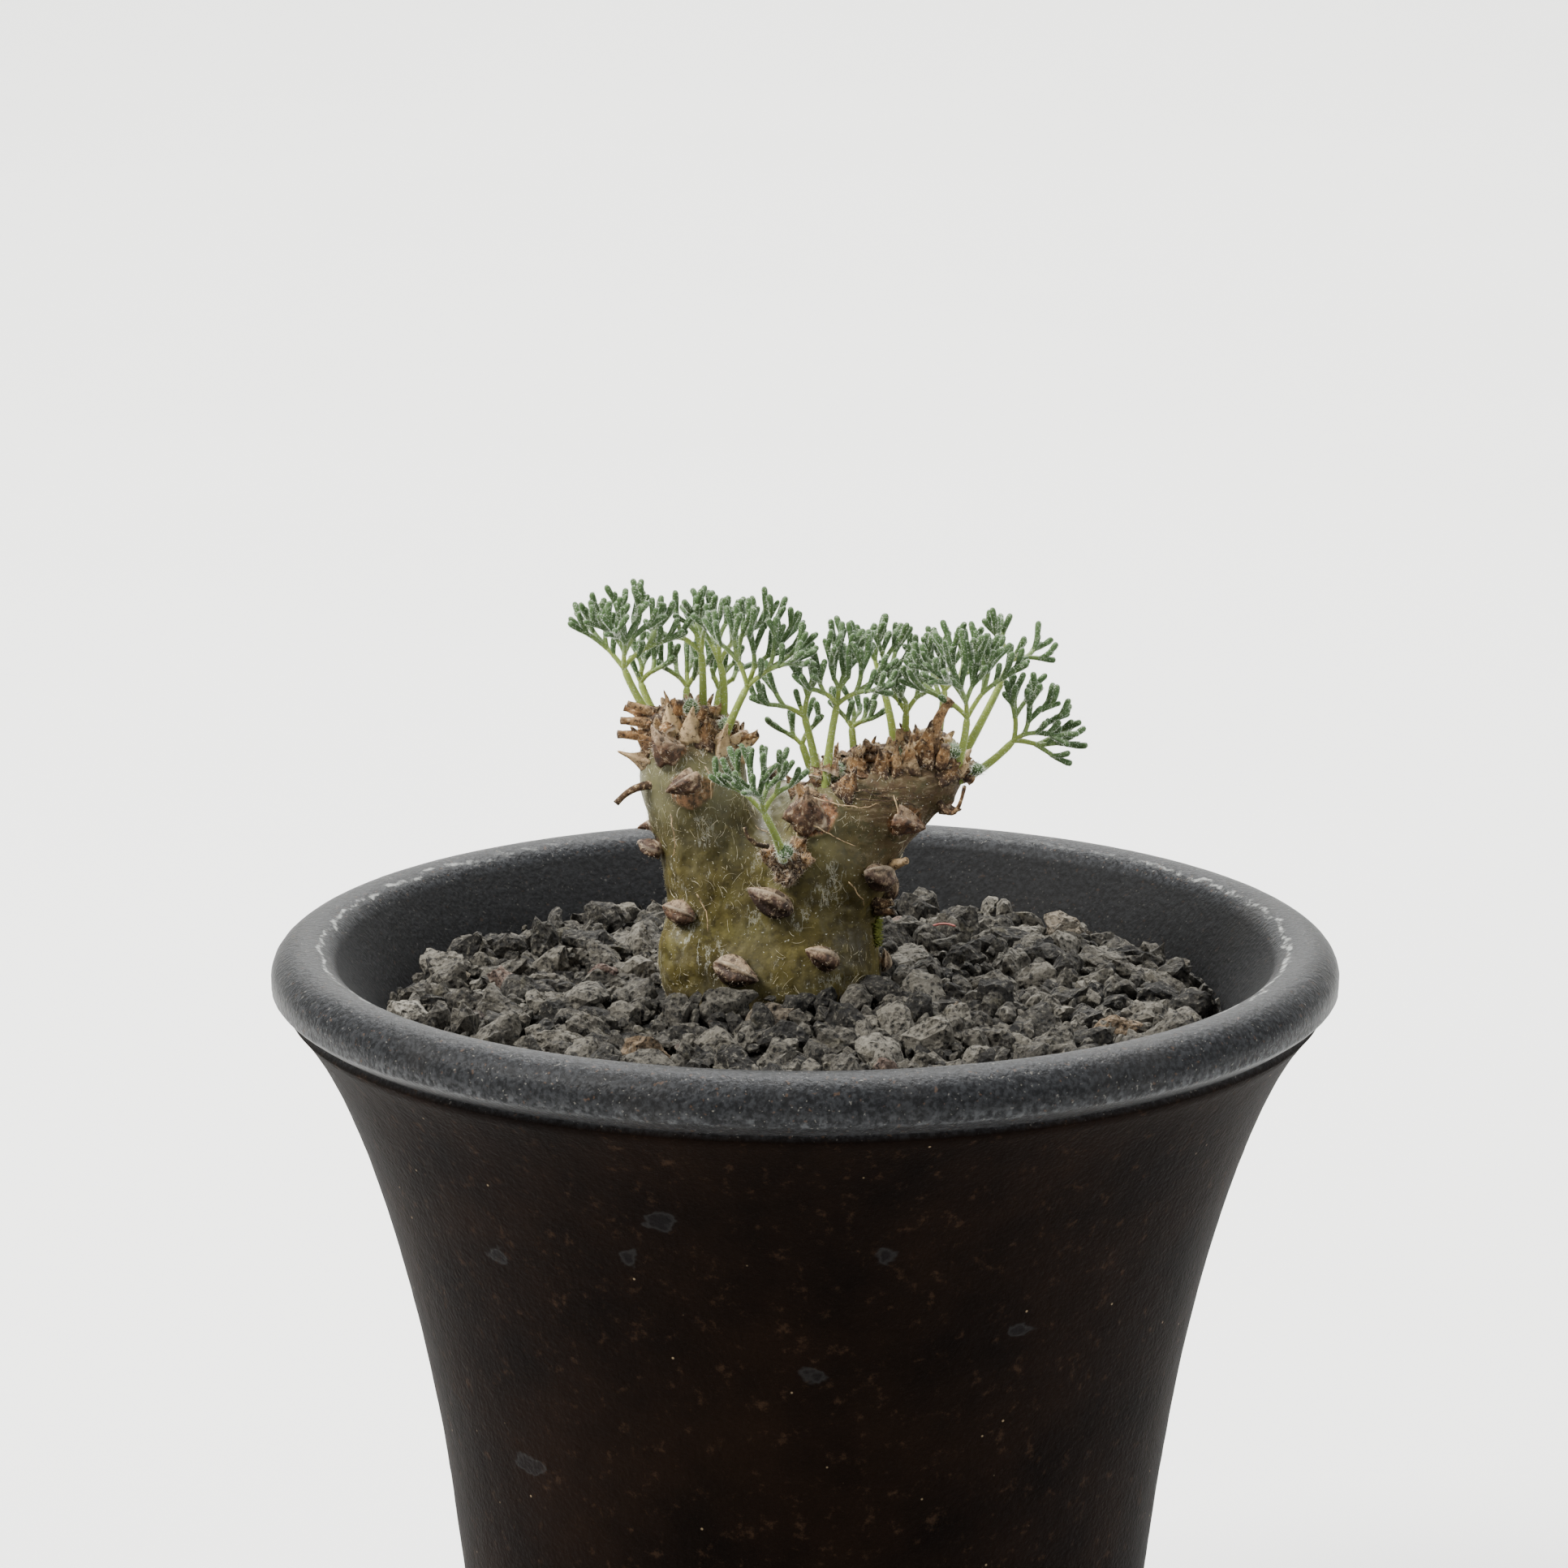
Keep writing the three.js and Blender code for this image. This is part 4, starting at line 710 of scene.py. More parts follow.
    def lime_share(self, graph: Graph) -> Socket:
        """Share of the dried lime line on the lip's inner crest, strongest at the two sides.

        Formula: a thin band round a radius near the top, broken by noise, times a share that rises
        with the distance to the left or right.
        """
        wave = graph.times(graph.sum("SUBTRACT", graph.noise(4.5, 4.0, 0.6), 0.5), 3.4 * MM)
        radius = graph.sum("ADD", graph.away(graph.stretched(1.0, 1.0, 0.0)), wave)
        off = graph.off(radius, self.lime_radius * MM)
        band = graph.step(off, self.lime_width * MM, 0.1 * self.lime_width * MM)
        high = graph.step(graph.axis(2), 92.6 * MM, 93.6 * MM)
        side = graph.step(graph.sum("ABSOLUTE", graph.axis(0)), 20.0 * MM, 46.0 * MM)
        broken = graph.step(graph.noise(1.4, 5.0, 0.7), 0.42, 0.62)
        return graph.times(graph.times(graph.times(band, high), broken), graph.plus(0.05, (side, 0.50)))


@dataclass(frozen=True)
class NetFinish:
    """Dark moulded plastic, a little dusty."""

    dark: Color = (0.020, 0.021, 0.023)
    dust: Color = (0.075, 0.070, 0.062)

    def made(self) -> bpy.types.Material:
        """The material."""
        graph = Graph("net_plastic", 0.5)
        color = graph.over(self.dark, self.dust, graph.step(graph.noise(1.5, 4.0), 0.5, 0.75))
        return graph.done(color, graph.bumped(graph.noise(0.4), 0.05, 0.4))


@dataclass(frozen=True)
class LavaFinish:
    """Rough crushed lava, darkened in the hollows of its relief as painted shade. Its marks "tone", "warm"
    and "rose" are set stone by stone.
    """

    dark: Color = (0.0130, 0.0118, 0.0100)
    grey: Color = (0.140, 0.128, 0.104)
    pale: Color = (0.240, 0.224, 0.188)
    tan: Color = (0.23, 0.155, 0.088)
    pink: Color = (0.20, 0.115, 0.088)
    dust: Color = (0.220, 0.205, 0.165)
    ochre: Color = (0.080, 0.070, 0.038)
    # Near black, used as painted shade in the relief's hollows.
    hollow_shade: Color = (0.005, 0.005, 0.005)

    def made(self) -> bpy.types.Material:
        """The material."""
        graph = Graph("lava_gravel", 0.92, 0.3)
        fine = graph.noise(0.55, 5.0, 0.7)
        tone = graph.mark("tone")
        base = graph.over(self.dark, self.grey, graph.step(tone, 0.0, 1.0), 0.72)
        base = graph.over(base, self.pale, graph.step(tone, 0.86, 1.0))
        base = graph.over(base, self.tan, graph.step(graph.mark("warm"), 0.0, 1.0))
        base = graph.over(base, self.pink, graph.step(graph.mark("rose"), 0.0, 1.0))
        base = graph.over(base, self.dust, graph.step(fine, 0.52, 0.68), 0.50)
        # Painted shade: the low places of the fine relief are darkened.
        base = graph.over(base, self.hollow_shade, graph.step(fine, 0.48, 0.37), 0.90)
        base = graph.over(base, self.ochre, graph.step(graph.noise(2.4, 3.0), 0.60, 0.74), 0.35)
        # Painted shade: the cell pits, which the relief sinks, are darkened too.
        pits = graph.step(graph.cells(0.62), 0.05, 0.55)
        base = graph.over(base, self.hollow_shade, graph.step(pits, 0.30, 0.02), 0.7)
        return graph.done(base, graph.bumped(fine, 0.45, 1.0, graph.bumped(pits, 0.30)))


@dataclass(frozen=True)
class HuskFinish:
    """Smooth leathery stubs, paler on the upper side as painted light and darker underneath as painted shade.
    Marks: "lit" at the upper side, "tone" stub by stub, "rim".
    """

    under: Color = (0.022, 0.011, 0.007)
    belly: Color = (0.092, 0.054, 0.036)
    pale: Color = (0.400, 0.300, 0.190)
    rust: Color = (0.230, 0.110, 0.046)
    rim: Color = (0.600, 0.500, 0.360)

    def made(self) -> bpy.types.Material:
        """The material."""
        graph = Graph("dry_husk", 0.62, 0.35)
        lit = graph.mark("lit")
        # Painted light: following the lit mark, the colour runs from painted shade underneath, through the
        # belly, to a painted highlight on top.
        color = graph.over(self.under, self.belly, graph.step(lit, 0.20, 0.62))
        color = graph.over(color, self.pale, graph.step(lit, 0.66, 1.0), 0.62)
        color = graph.over(color, self.rust, graph.mark("tone"), 0.60)
        cloud = graph.noise(0.8, 4.0, 0.68)
        color = graph.over(color, self.pale, graph.step(cloud, 0.54, 0.62), 0.60)
        color = graph.over(color, self.under, graph.step(cloud, 0.49, 0.40), 0.80)
        grain = graph.noise(0.28, 4.0, 0.7)
        color = graph.over(color, self.under, graph.step(grain, 0.50, 0.38), 0.55)
        color = graph.over(color, self.rim, graph.mark("rim"), 0.80)
        return graph.done(color, graph.bumped(grain, 0.09, 0.9, graph.bumped(cloud, 0.16, 0.9)))


@dataclass(frozen=True)
class StemFinish:
    """Olive skin under a thin, silvery, peeling film of wax, browner by scars and branch tips."""

    olive_dark: Color = (0.044, 0.034, 0.010)
    olive: Color = (0.083, 0.067, 0.018)
    bright: Color = (0.120, 0.106, 0.029)
    deep: Color = (0.034, 0.026, 0.008)
    straw: Color = (0.190, 0.160, 0.048)
    waxy: Color = (0.200, 0.208, 0.112)
    silver: Color = (0.27, 0.26, 0.165)
    white: Color = (0.66, 0.66, 0.56)
    brown: Color = (0.086, 0.054, 0.026)
    bark_pale: Color = (0.27, 0.215, 0.135)
    bark_dark: Color = (0.030, 0.020, 0.012)
    scar: Color = (0.290, 0.140, 0.066)
    scar_dark: Color = (0.052, 0.024, 0.012)
    scar_pale: Color = (0.55, 0.43, 0.28)

    def made(self) -> bpy.types.Material:
        """The material. Its marks are "scar", "cork", "film" and "wax"."""
        graph = Graph("stem_skin", 0.42, 0.30)
        graph.fed(graph.shader, Subsurface_Weight=0.06, Subsurface_Radius=(0.9 * MM, 0.8 * MM, 0.2 * MM))
        broad = graph.noise(6.5, 3.0, 0.5)
        mottle = graph.noise(1.1, 4.0, 0.6)
        color = graph.over(self.olive_dark, self.olive, graph.step(broad, 0.30, 0.52))
        color = graph.over(color, self.bright, graph.step(broad, 0.54, 0.74), 0.75)
        color = graph.over(color, self.deep, graph.step(mottle, 0.50, 0.38), 0.65)
        color = graph.over(color, self.straw, graph.step(mottle, 0.56, 0.68), 0.35)
        wax = graph.times(graph.mark("wax"), graph.step(broad, 0.25, 0.60))
        color = graph.over(color, self.waxy, wax, 0.45)
        haze = graph.step(graph.noise(3.2, 4.0, 0.6, graph.stretched(1.0, 1.0, 0.45)), 0.44, 0.70)
        color = graph.over(color, self.silver, haze, 0.09)
        color = graph.over(color, self.silver, graph.mark("film"), 0.10)
        cork = graph.mark("cork")
        color = graph.over(color, self.brown, graph.times(cork, graph.step(mottle, 0.30, 0.60)))
        bark = graph.noise(0.55, 5.0, 0.7, graph.stretched(0.45, 1.0, 1.3))
        color = graph.over(color, self.bark_pale, graph.times(cork, graph.step(bark, 0.52, 0.64)), 0.45)
        color = graph.over(color, self.bark_dark, graph.times(cork, graph.step(bark, 0.46, 0.36)), 0.60)
        burnt = graph.noise(0.6, 4.0, 0.7)
        burn = graph.over(self.scar_dark, self.scar, graph.step(burnt, 0.40, 0.58))
        burn = graph.over(burn, self.scar_pale, graph.step(burnt, 0.60, 0.68), 0.7)
        color = graph.over(color, burn, graph.mark("scar"))
        crack = graph.noise(1.5, 6.0, 0.7, graph.stretched(1.0, 1.0, 0.35))
        thread = graph.step(graph.off(crack, 0.5), 0.022, 0.006)
        thread = graph.times(thread, graph.step(graph.noise(4.0, 2.0), 0.52, 0.66))
        color = graph.over(color, self.white, thread, 0.40)
        color = graph.over(color, self.white, graph.step(graph.noise(0.26, 2.0, 0.5), 0.70, 0.74), 0.7)
        relief = graph.bumped(mottle, 0.16, 0.5)
        relief = graph.bumped(graph.noise(0.35, 3.0), 0.06, 0.6, relief)
        relief = graph.bumped(graph.times(bark, cork), 0.20, 0.8, relief)
        return graph.done(color, relief, graph.plus(0.46, (haze, 0.20), (cork, 0.2)))


@dataclass(frozen=True)
class ScaleFinish:
    """Dry papery scales and stalks, darker at each form's foot as painted shade. Marks: "along" from foot to
    tip, "tone" form by form, "rim".
    """

    foot: Color = (0.058, 0.030, 0.016)
    belly: Color = (0.270, 0.145, 0.058)
    beige: Color = (0.66, 0.49, 0.28)
    dark: Color = (0.024, 0.014, 0.009)
    rim: Color = (0.62, 0.52, 0.39)

    def made(self) -> bpy.types.Material:
        """The material."""
        graph = Graph("dry_scale", 0.72, 0.35)
        tone = graph.mark("tone")
        along = graph.mark("along")
        # Painted shade: the foot colour darkens each form where it leaves the crust or stem.
        color = graph.over(self.foot, self.belly, graph.step(along, 0.05, 0.55))
        color = graph.over(color, self.beige, graph.step(tone, 0.45, 1.0), 0.75)
        color = graph.over(color, self.dark, graph.step(tone, 0.40, 0.0), 0.85)
        tip = graph.times(graph.step(along, 0.62, 0.95), graph.step(tone, 1.05, 0.35))
        color = graph.over(color, self.dark, tip, 0.85)
        fibre = graph.noise(0.42, 5.0, 0.75)
        color = graph.over(color, self.beige, graph.step(fibre, 0.53, 0.64), 0.72)
        color = graph.over(color, self.dark, graph.step(fibre, 0.48, 0.38), 0.90)
        color = graph.over(color, self.rim, graph.mark("rim"), 0.75)
        return graph.done(color, graph.bumped(fibre, 0.11))


@dataclass(frozen=True)
class LeafFinish:
    """Grey green leaves under white wool. Its mark "age" is 0 on a stalk's foot and 1 on a lobe."""

    stalk: Color = (0.260, 0.330, 0.070)
    middle: Color = (0.170, 0.245, 0.075)
    lobe: Color = (0.045, 0.092, 0.024)
    wool: Color = (0.42, 0.52, 0.34)
    cloudy: Color = (0.10, 0.16, 0.075)
    sheen: Color = (0.93, 1.0, 0.92)

    def made(self) -> bpy.types.Material:
        """The material."""
        graph = Graph("leaf_green", 0.55, 0.35)
        graph.fed(graph.shader, Sheen_Weight=0.85, Sheen_Roughness=0.28, Sheen_Tint=self.sheen)
        age = graph.mark("age")
        color = graph.over(self.stalk, self.middle, graph.step(age, 0.20, 0.50))
        color = graph.over(color, self.lobe, graph.step(age, 0.50, 0.82))
        fleck = graph.noise(0.26, 3.0, 0.65)
        woolly = graph.times(graph.step(fleck, 0.52, 0.68), graph.plus(0.10, (age, 0.25)))
        color = graph.over(color, self.wool, woolly)
        color = graph.over(color, self.cloudy, graph.step(graph.noise(1.4, 3.0), 0.45, 0.7), 0.25)
        return graph.done(color, graph.bumped(fleck, 0.07, 0.7))


@dataclass(frozen=True)
class PlainFinish:
    """One colour that wanders towards a second one, for wool, moss, fibres and the floor."""

    name: str
    first: Color
    second: Color
    size: float = 0.8
    roughness: float = 0.9
    relief: float = 0.04

    def made(self) -> bpy.types.Material:
        """The material."""
        graph = Graph(self.name, self.roughness, 0.25)
        cloud = graph.noise(self.size, 3.0)
        color = graph.over(self.first, self.second, graph.step(cloud, 0.35, 0.65))
        return graph.done(color, graph.bumped(cloud, self.relief, 0.5))


# Pot


@dataclass(frozen=True)
class Wall:
    """One face of the pot's wall: its waist's radius, and what its flare and its turn add to that."""

    waist: float
    flare: float
    turn: float
    turn_length: float


@dataclass
class FlaredPot:
    """The thrown, flared pot: foot ring, body, rolled lip with a crisp lower edge, and inside."""

    lip_height: float = 92.0
    lip_radius: float = 49.1
    lip_half_width: float = 3.4
    lip_half_height: float = 3.0
    outer_wall: Wall = Wall(30.0, 15.3, 1.7, 4.0)
    inner_wall: Wall = Wall(25.4, 13.2, 1.5, 1.5)
    flare_from: float = 12.0
    flare_length: float = 38.7
    turn_from: float = 3.0
    foot_ring_inner: float = 27.0
    foot_recess: float = 3.0
    floor_top: float = 9.0
    drain_radius: float = 5.5
    sides: int = 256

    def radius(self, wall: Wall, drop: Array | float) -> Array:
        """A wall's radius at a drop below the lip's middle: a waist, a wide flare and a tight turn."""
        wide = wall.flare * np.exp(-(np.asarray(drop) - self.flare_from) / self.flare_length)
        return wall.waist + wide + wall.turn * np.exp(-(np.asarray(drop) - self.turn_from) / wall.turn_length)

    def outer(self, drop: Array | float) -> Array:
        """The outer wall's radius at a drop below the lip's middle."""
        return self.radius(self.outer_wall, drop)

    def inner(self, drop: Array | float) -> Array:
        """The inner wall's radius at a drop below the lip's middle."""
        return self.radius(self.inner_wall, drop)

    def rounded(self, corners: list[tuple[float, float]], radius: float) -> list[tuple[float, float]]:
        """A run of corners with the inner ones rounded.

        Formula: a corner gives way to a curve of second degree that leaves and meets its two sides
        at the given distance from it.

        Args:
            corners: Places as radius and height.
            radius: Distance from a corner at which its rounding starts.

        Returns:
            The new run.
        """
        made = [corners[0]]
        for before, corner, after in zip(corners, corners[1:], corners[2:]):
            at = np.array(corner)
            start = at + radius * made_unit(np.array(before) - at)
            end = at + radius * made_unit(np.array(after) - at)
            for t in np.linspace(0.0, 1.0, 6):
                made.append(tuple((1 - t) ** 2 * start + 2 * t * (1 - t) * at + t * t * end))
        return [*made, corners[-1]]

    def profile(self) -> tuple[Array, Array, Array, Array]:
        """The closed outline of the pot's wall, with its lip and edge shares.

        Returns:
            Places as radius and height, the share of each that is lip or inside, the share that is
            the crisp edge under the lip, and the share that is inside.
        """
        foot = self.rounded([
            (self.drain_radius, self.foot_recess), (self.foot_ring_inner, self.foot_recess),
            (self.foot_ring_inner, 0.0), (float(self.outer(self.lip_height)), 0.0),
            (float(self.outer(self.lip_height - 1.6)), 1.6),
        ], 0.5)
        drops = np.linspace(self.lip_height - 2.2, 3.2, 84)
        body = np.stack([self.outer(drops), self.lip_height - drops], -1)
        under = [(50.4, 89.35), (51.3, 89.95), (52.0, 90.45)]
        edge = [(52.3, 90.75), (52.46, 91.0), (52.47, 91.35)]
        angle = np.linspace(0.02, 2.498, 34)
        lip = np.stack([self.lip_radius + self.lip_half_width * np.cos(angle),
                        self.lip_height + self.lip_half_height * np.sin(angle)], -1)
        end = np.array([[float(self.inner(6.0)), self.lip_height - 6.0]])
        shoulder = bent_paths(lip[-1:], np.array([[43.07, 89.91]]), end, np.linspace(0.06, 0.97, 14))[0]
        drops = np.concatenate([np.linspace(6.2, 12.0, 12), np.linspace(14.0, 82.0, 30)])
        inside = np.concatenate([shoulder, np.stack([self.inner(drops), self.lip_height - drops], -1)])
        floor = self.rounded([
            (float(self.inner(82.5)), self.lip_height - 82.5),
            (float(self.inner(83.0)) - 0.6, self.floor_top),
            (self.drain_radius, self.floor_top), (self.drain_radius, self.foot_recess + 0.4),
        ], 0.35)
        runs = [foot, body, under, edge, lip, inside, floor]
        lips = [0.0, 0.0, 0.75, 1.0, 1.0, 1.0, 1.0]
        edges = [0.0, 0.0, 0.0, 1.0, 0.0, 0.0, 0.0]
        counts = [len(run) for run in runs]
        inner = np.repeat([0.0, 0.0, 0.0, 0.0, 0.0, 1.0, 1.0], counts)
        return np.concatenate(runs), np.repeat(lips, counts), np.repeat(edges, counts), inner

    def skin(self) -> Skin:
        """The pot as its outline turned about the axis.

        Formula: a point is the outline's radius round the axis at its height. The slow, small
        unevenness of the thrower's hand and a fine grain are added to the radius above the foot.
        """
        outline, *shares = self.profile()
        angle = round_angles(self.sides)
        radius, height = outline[:, 0][:, None], outline[:, 1][:, None]
        ring = np.stack([radius * np.cos(angle), radius * np.sin(angle), height + 0.0 * angle], -1)
        points = ring.reshape(-1, 3)
        out = made_unit(points * np.array([1.0, 1.0, 0.0]))
        above_foot = smooth_step(points[:, 2], 1.0, 6.0)
        swell = 0.10 * soft_noise(points * np.array([0.5, 0.5, 1.0]), 9.0, 3) * above_foot
        grain = 0.045 * layered_noise(points, 1.3, 5, 2) * above_foot
        quads = ring_faces(len(outline) + 1, self.sides)[0] % len(points)
        skin = Skin(points, [quads]).moved(swell + grain, out)
        for name, share in zip(("lip", "edge", "inner"), shares):
            skin.marked(name, share)
        return skin

    def build(self) -> None:
        """Makes the pot and dresses the net over its drain hole."""
        skin = self.skin()
        piece = place(skin, "pot_turned", Slot.POT, PotFinish().made("pot_clay", 0.018), ("pot",))
        piece.data.materials.append(PotFinish().made("pot_lip", 0.075))
        lip = skin.marks["lip"][skin.faces[0]].mean(axis=1) > 0.5
        piece.data.polygons.foreach_set("material_index", lip.astype(np.int32))
        net = frame["nodes"]["drain_net"].data
        net.materials.clear()
        net.materials.append(NetFinish().made())


# Stem


def smooth_least(a: Array, b: Array, blend: float) -> Array:
    """The lesser of two distances, rounded where they are within blend of each other."""
    h = np.maximum(blend - np.abs(a - b), 0.0) / blend
    return np.minimum(a, b) - h * h * blend * 0.25


@dataclass
class Caudex:
    """The swollen stem: a smooth blend of rods, each a chain of points with a radius."""

    blend: float = 3.2
    low: Place = (-20.0, -9.0, 74.0)
    high: Place = (20.0, 18.0, 121.0)
    rods: tuple[tuple[tuple[float, float, float, float], ...], ...] = (
        ((-3.0, 3.5, 80.0, 4.5), (-3.2, 3.5, 87.0, 7.6), (-3.0, 3.4, 91.0, 6.8)),
        ((-2.8, 3.2, 91.0, 6.4), (-2.6, 3.4, 99.5, 6.0)),
        ((-7.6, 2.9, 90.0, 6.0), (-7.9, 3.0, 97.0, 5.5), (-9.4, 3.0, 103.0, 5.1), (-10.9, 3.2, 110.0, 4.9)),
        ((-11.2, 3.2, 109.0, 3.2), (-12.5, 3.0, 113.4, 3.2)),
        ((-10.6, 3.2, 109.0, 3.2), (-9.7, 3.4, 111.3, 2.8)),
        ((1.6, 2.6, 90.0, 5.8), (1.4, 3.0, 97.0, 5.6), (3.4, 3.3, 102.5, 5.2), (6.6, 3.6, 107.2, 4.5)),
        ((1.6, 2.6, 102.0, 4.2), (2.2, 2.2, 106.6, 3.7)),
        ((7.2, 3.6, 107.4, 3.4), (11.7, 3.4, 110.2, 3.5)),
        ((-1.5, 6.0, 98.0, 5.4), (-1.9, 8.6, 104.6, 4.3)),
        ((-11.0, 0.2, 92.4, 2.9), (-11.0, 0.4, 93.4, 2.8)),
    )

    def distance(self, points: Array) -> Array:
        """Distance of places from the smooth stem, negative inside.

        Formula: for each rod, the nearest place on its chain less the radius there. The rods are
        then joined in order, each to the blend of those before it.
        """
        total = None
        for rod in self.rods:
            nearest = None
            for start, end in zip(rod, rod[1:]):
                a, b = np.array(start[:3]), np.array(end[:3])
                t = np.clip((points - a) @ (b - a) / ((b - a) @ (b - a)), 0.0, 1.0)
                away = np.linalg.norm(points - a - t[:, None] * (b - a), axis=-1)
                away = away - start[3] - (end[3] - start[3]) * t
                nearest = away if nearest is None else np.minimum(nearest, away)
            total = nearest if total is None else smooth_least(total, nearest, self.blend)
        return total

    def seat(self, start: Place, aim: Place) -> Array:
        """Where a line from inside the stem along a direction comes out of it."""
        direction = made_unit(np.array(aim))
        inside, outside = 0.0, 16.0
        for _ in range(32):
            middle = 0.5 * (inside + outside)
            if self.distance((np.array(start) + middle * direction)[None])[0] < 0.0:
                inside = middle
            else:
                outside = middle
        return np.array(start) + inside * direction

    def seats(self, tips: tuple[DryTip, ...]) -> Array:
        """The seats of stubs or scales."""
        return np.array([self.seat(tip.at, tip.aim) for tip in tips])

    def out_of(self, points: Array) -> Array:
        """The directions that look straight out of the stem."""
        return made_unit(slope_of(self.distance, points))

    def laid(self, points: Array, lift: Array | float, steps: int) -> Array:
        """The points drawn to the stem, step by step, until they stand off it by a lift."""
        for _ in range(steps):
            points = points - (self.distance(points) - lift)[:, None] * self.out_of(points)
        return points

    def relief(self, points: Array) -> tuple[Array, Array]:
        """How far the living skin stands out from the smooth stem, and how much film lies on it.

        Formula: soft swellings, finer upright wrinkles, dimples, and flakes of film with sharp
        edges where a stretched noise is high.
        """
        swell = 0.34 * soft_noise(points, 4.6, 11) + 0.16 * layered_noise(points, 2.1, 12, 2)
        upright = points * np.array([1.0, 1.0, 0.28])
        wrinkle = -0.11 * (1.0 - np.abs(layered_noise(upright, 1.5, 13, 2))) ** 6
        dimple = -0.22 * smooth_step(soft_noise(points, 1.9, 14), 0.45, 0.9)
        flake = layered_noise(points * np.array([1.0, 1.0, 0.55]), 2.6, 15, 3)
        film = smooth_step(flake, 0.24, 0.30)
        film = np.maximum(film, 0.7 * smooth_step(np.abs(layered_noise(points, 3.4, 16, 2)), 0.03, 0.01))
        return swell + wrinkle + dimple + 0.05 * film, film

    def skin(self, stubs: list[tuple[Array, float, float]]) -> Skin:
        """The stem's fine skin with its relief, and a low, scarred collar round each dead stub.

        Args:
            stubs: The seat of each stub, its width, and 1 where its scar is broad, 0 where it is slight.

        Returns:
            The closed skin with its marks "film", "scar", "cork" and "wax".
        """
        skin = finer(skin_of(self.distance, np.array(self.low), np.array(self.high), 0.5))
        points = drawn_on(self.distance, skin.points, 2)
        out = self.out_of(points)
        lift, film = self.relief(points)
        scar = np.zeros(len(points))
        uneven = 0.45 * layered_noise(points, 1.0, 17, 3)
        for seat, width, broad in stubs:
            away = np.linalg.norm((points - seat) * np.array([1.0, 1.0, 1.25]), axis=-1) + uneven
            reach = (0.26 + 0.24 * broad) * width
            collar = np.exp(-(((away - reach) / 0.40) ** 2))
            lift = lift + (0.10 + 0.12 * broad) * collar
            scar = np.maximum(scar, (0.35 + 0.65 * broad) * smooth_step(away, reach + 0.18, reach - 0.18))
        cork = smooth_step(points[:, 0] + 0.5 * (points[:, 2] - 104.0), 1.5, 11.0)
        cork = np.maximum(cork, 0.7 * smooth_step(points[:, 2] + uneven, 112.5, 114.5))
        cork = np.maximum(cork, 0.55 * smooth_step(points[:, 2] + 2.0 * uneven, 90.4, 88.6))
        sunk = smooth_step(points[:, 2], 84.0, 87.0)
        skin.points = points
        skin.moved(lift * sunk, out).marked("film", film * (1.0 - 0.6 * scar)).marked("scar", scar)
        wax = smooth_step(points[:, 2] + 3.0 * uneven, 101.0, 111.0) * (1.0 - cork)
        return skin.marked("cork", cork * (1.0 - scar)).marked("wax", wax)


# Gravel


def ball(cuts: int) -> tuple[Array, Array]:
    """A ball of triangles with corners at distance 1: twenty faces, each cut into four, cuts times."""
    gold = (1.0 + math.sqrt(5.0)) / 2.0
    corners = []
    for a in (-1.0, 1.0):
        for b in (-gold, gold):
            corners += [(0.0, a, b), (a, b, 0.0), (b, 0.0, a)]
    points = made_unit(np.array(corners))
    near = 1.06 / math.sqrt(1.0 + gold * gold) * 2.0
    faces = []
    for i in range(12):
        for j in range(i + 1, 12):
            for k in range(j + 1, 12):
                trio = points[[i, j, k]]
                sides = np.linalg.norm(trio - np.roll(trio, 1, axis=0), axis=-1)
                if np.all(sides < near):
                    out = np.dot(np.cross(trio[1] - trio[0], trio[2] - trio[0]), trio[0]) > 0
                    faces.append((i, j, k) if out else (i, k, j))
    faces = np.array(faces)
    for _ in range(cuts):
        pairs, where = edges_of(faces)
        where = where + len(points)
        points = np.concatenate([points, made_unit(points[pairs].mean(axis=1))])
        parts = [np.stack([faces[:, i], where[:, i], where[:, i - 1]], -1) for i in range(3)]
        faces = np.concatenate([*parts, where])
    return points, faces


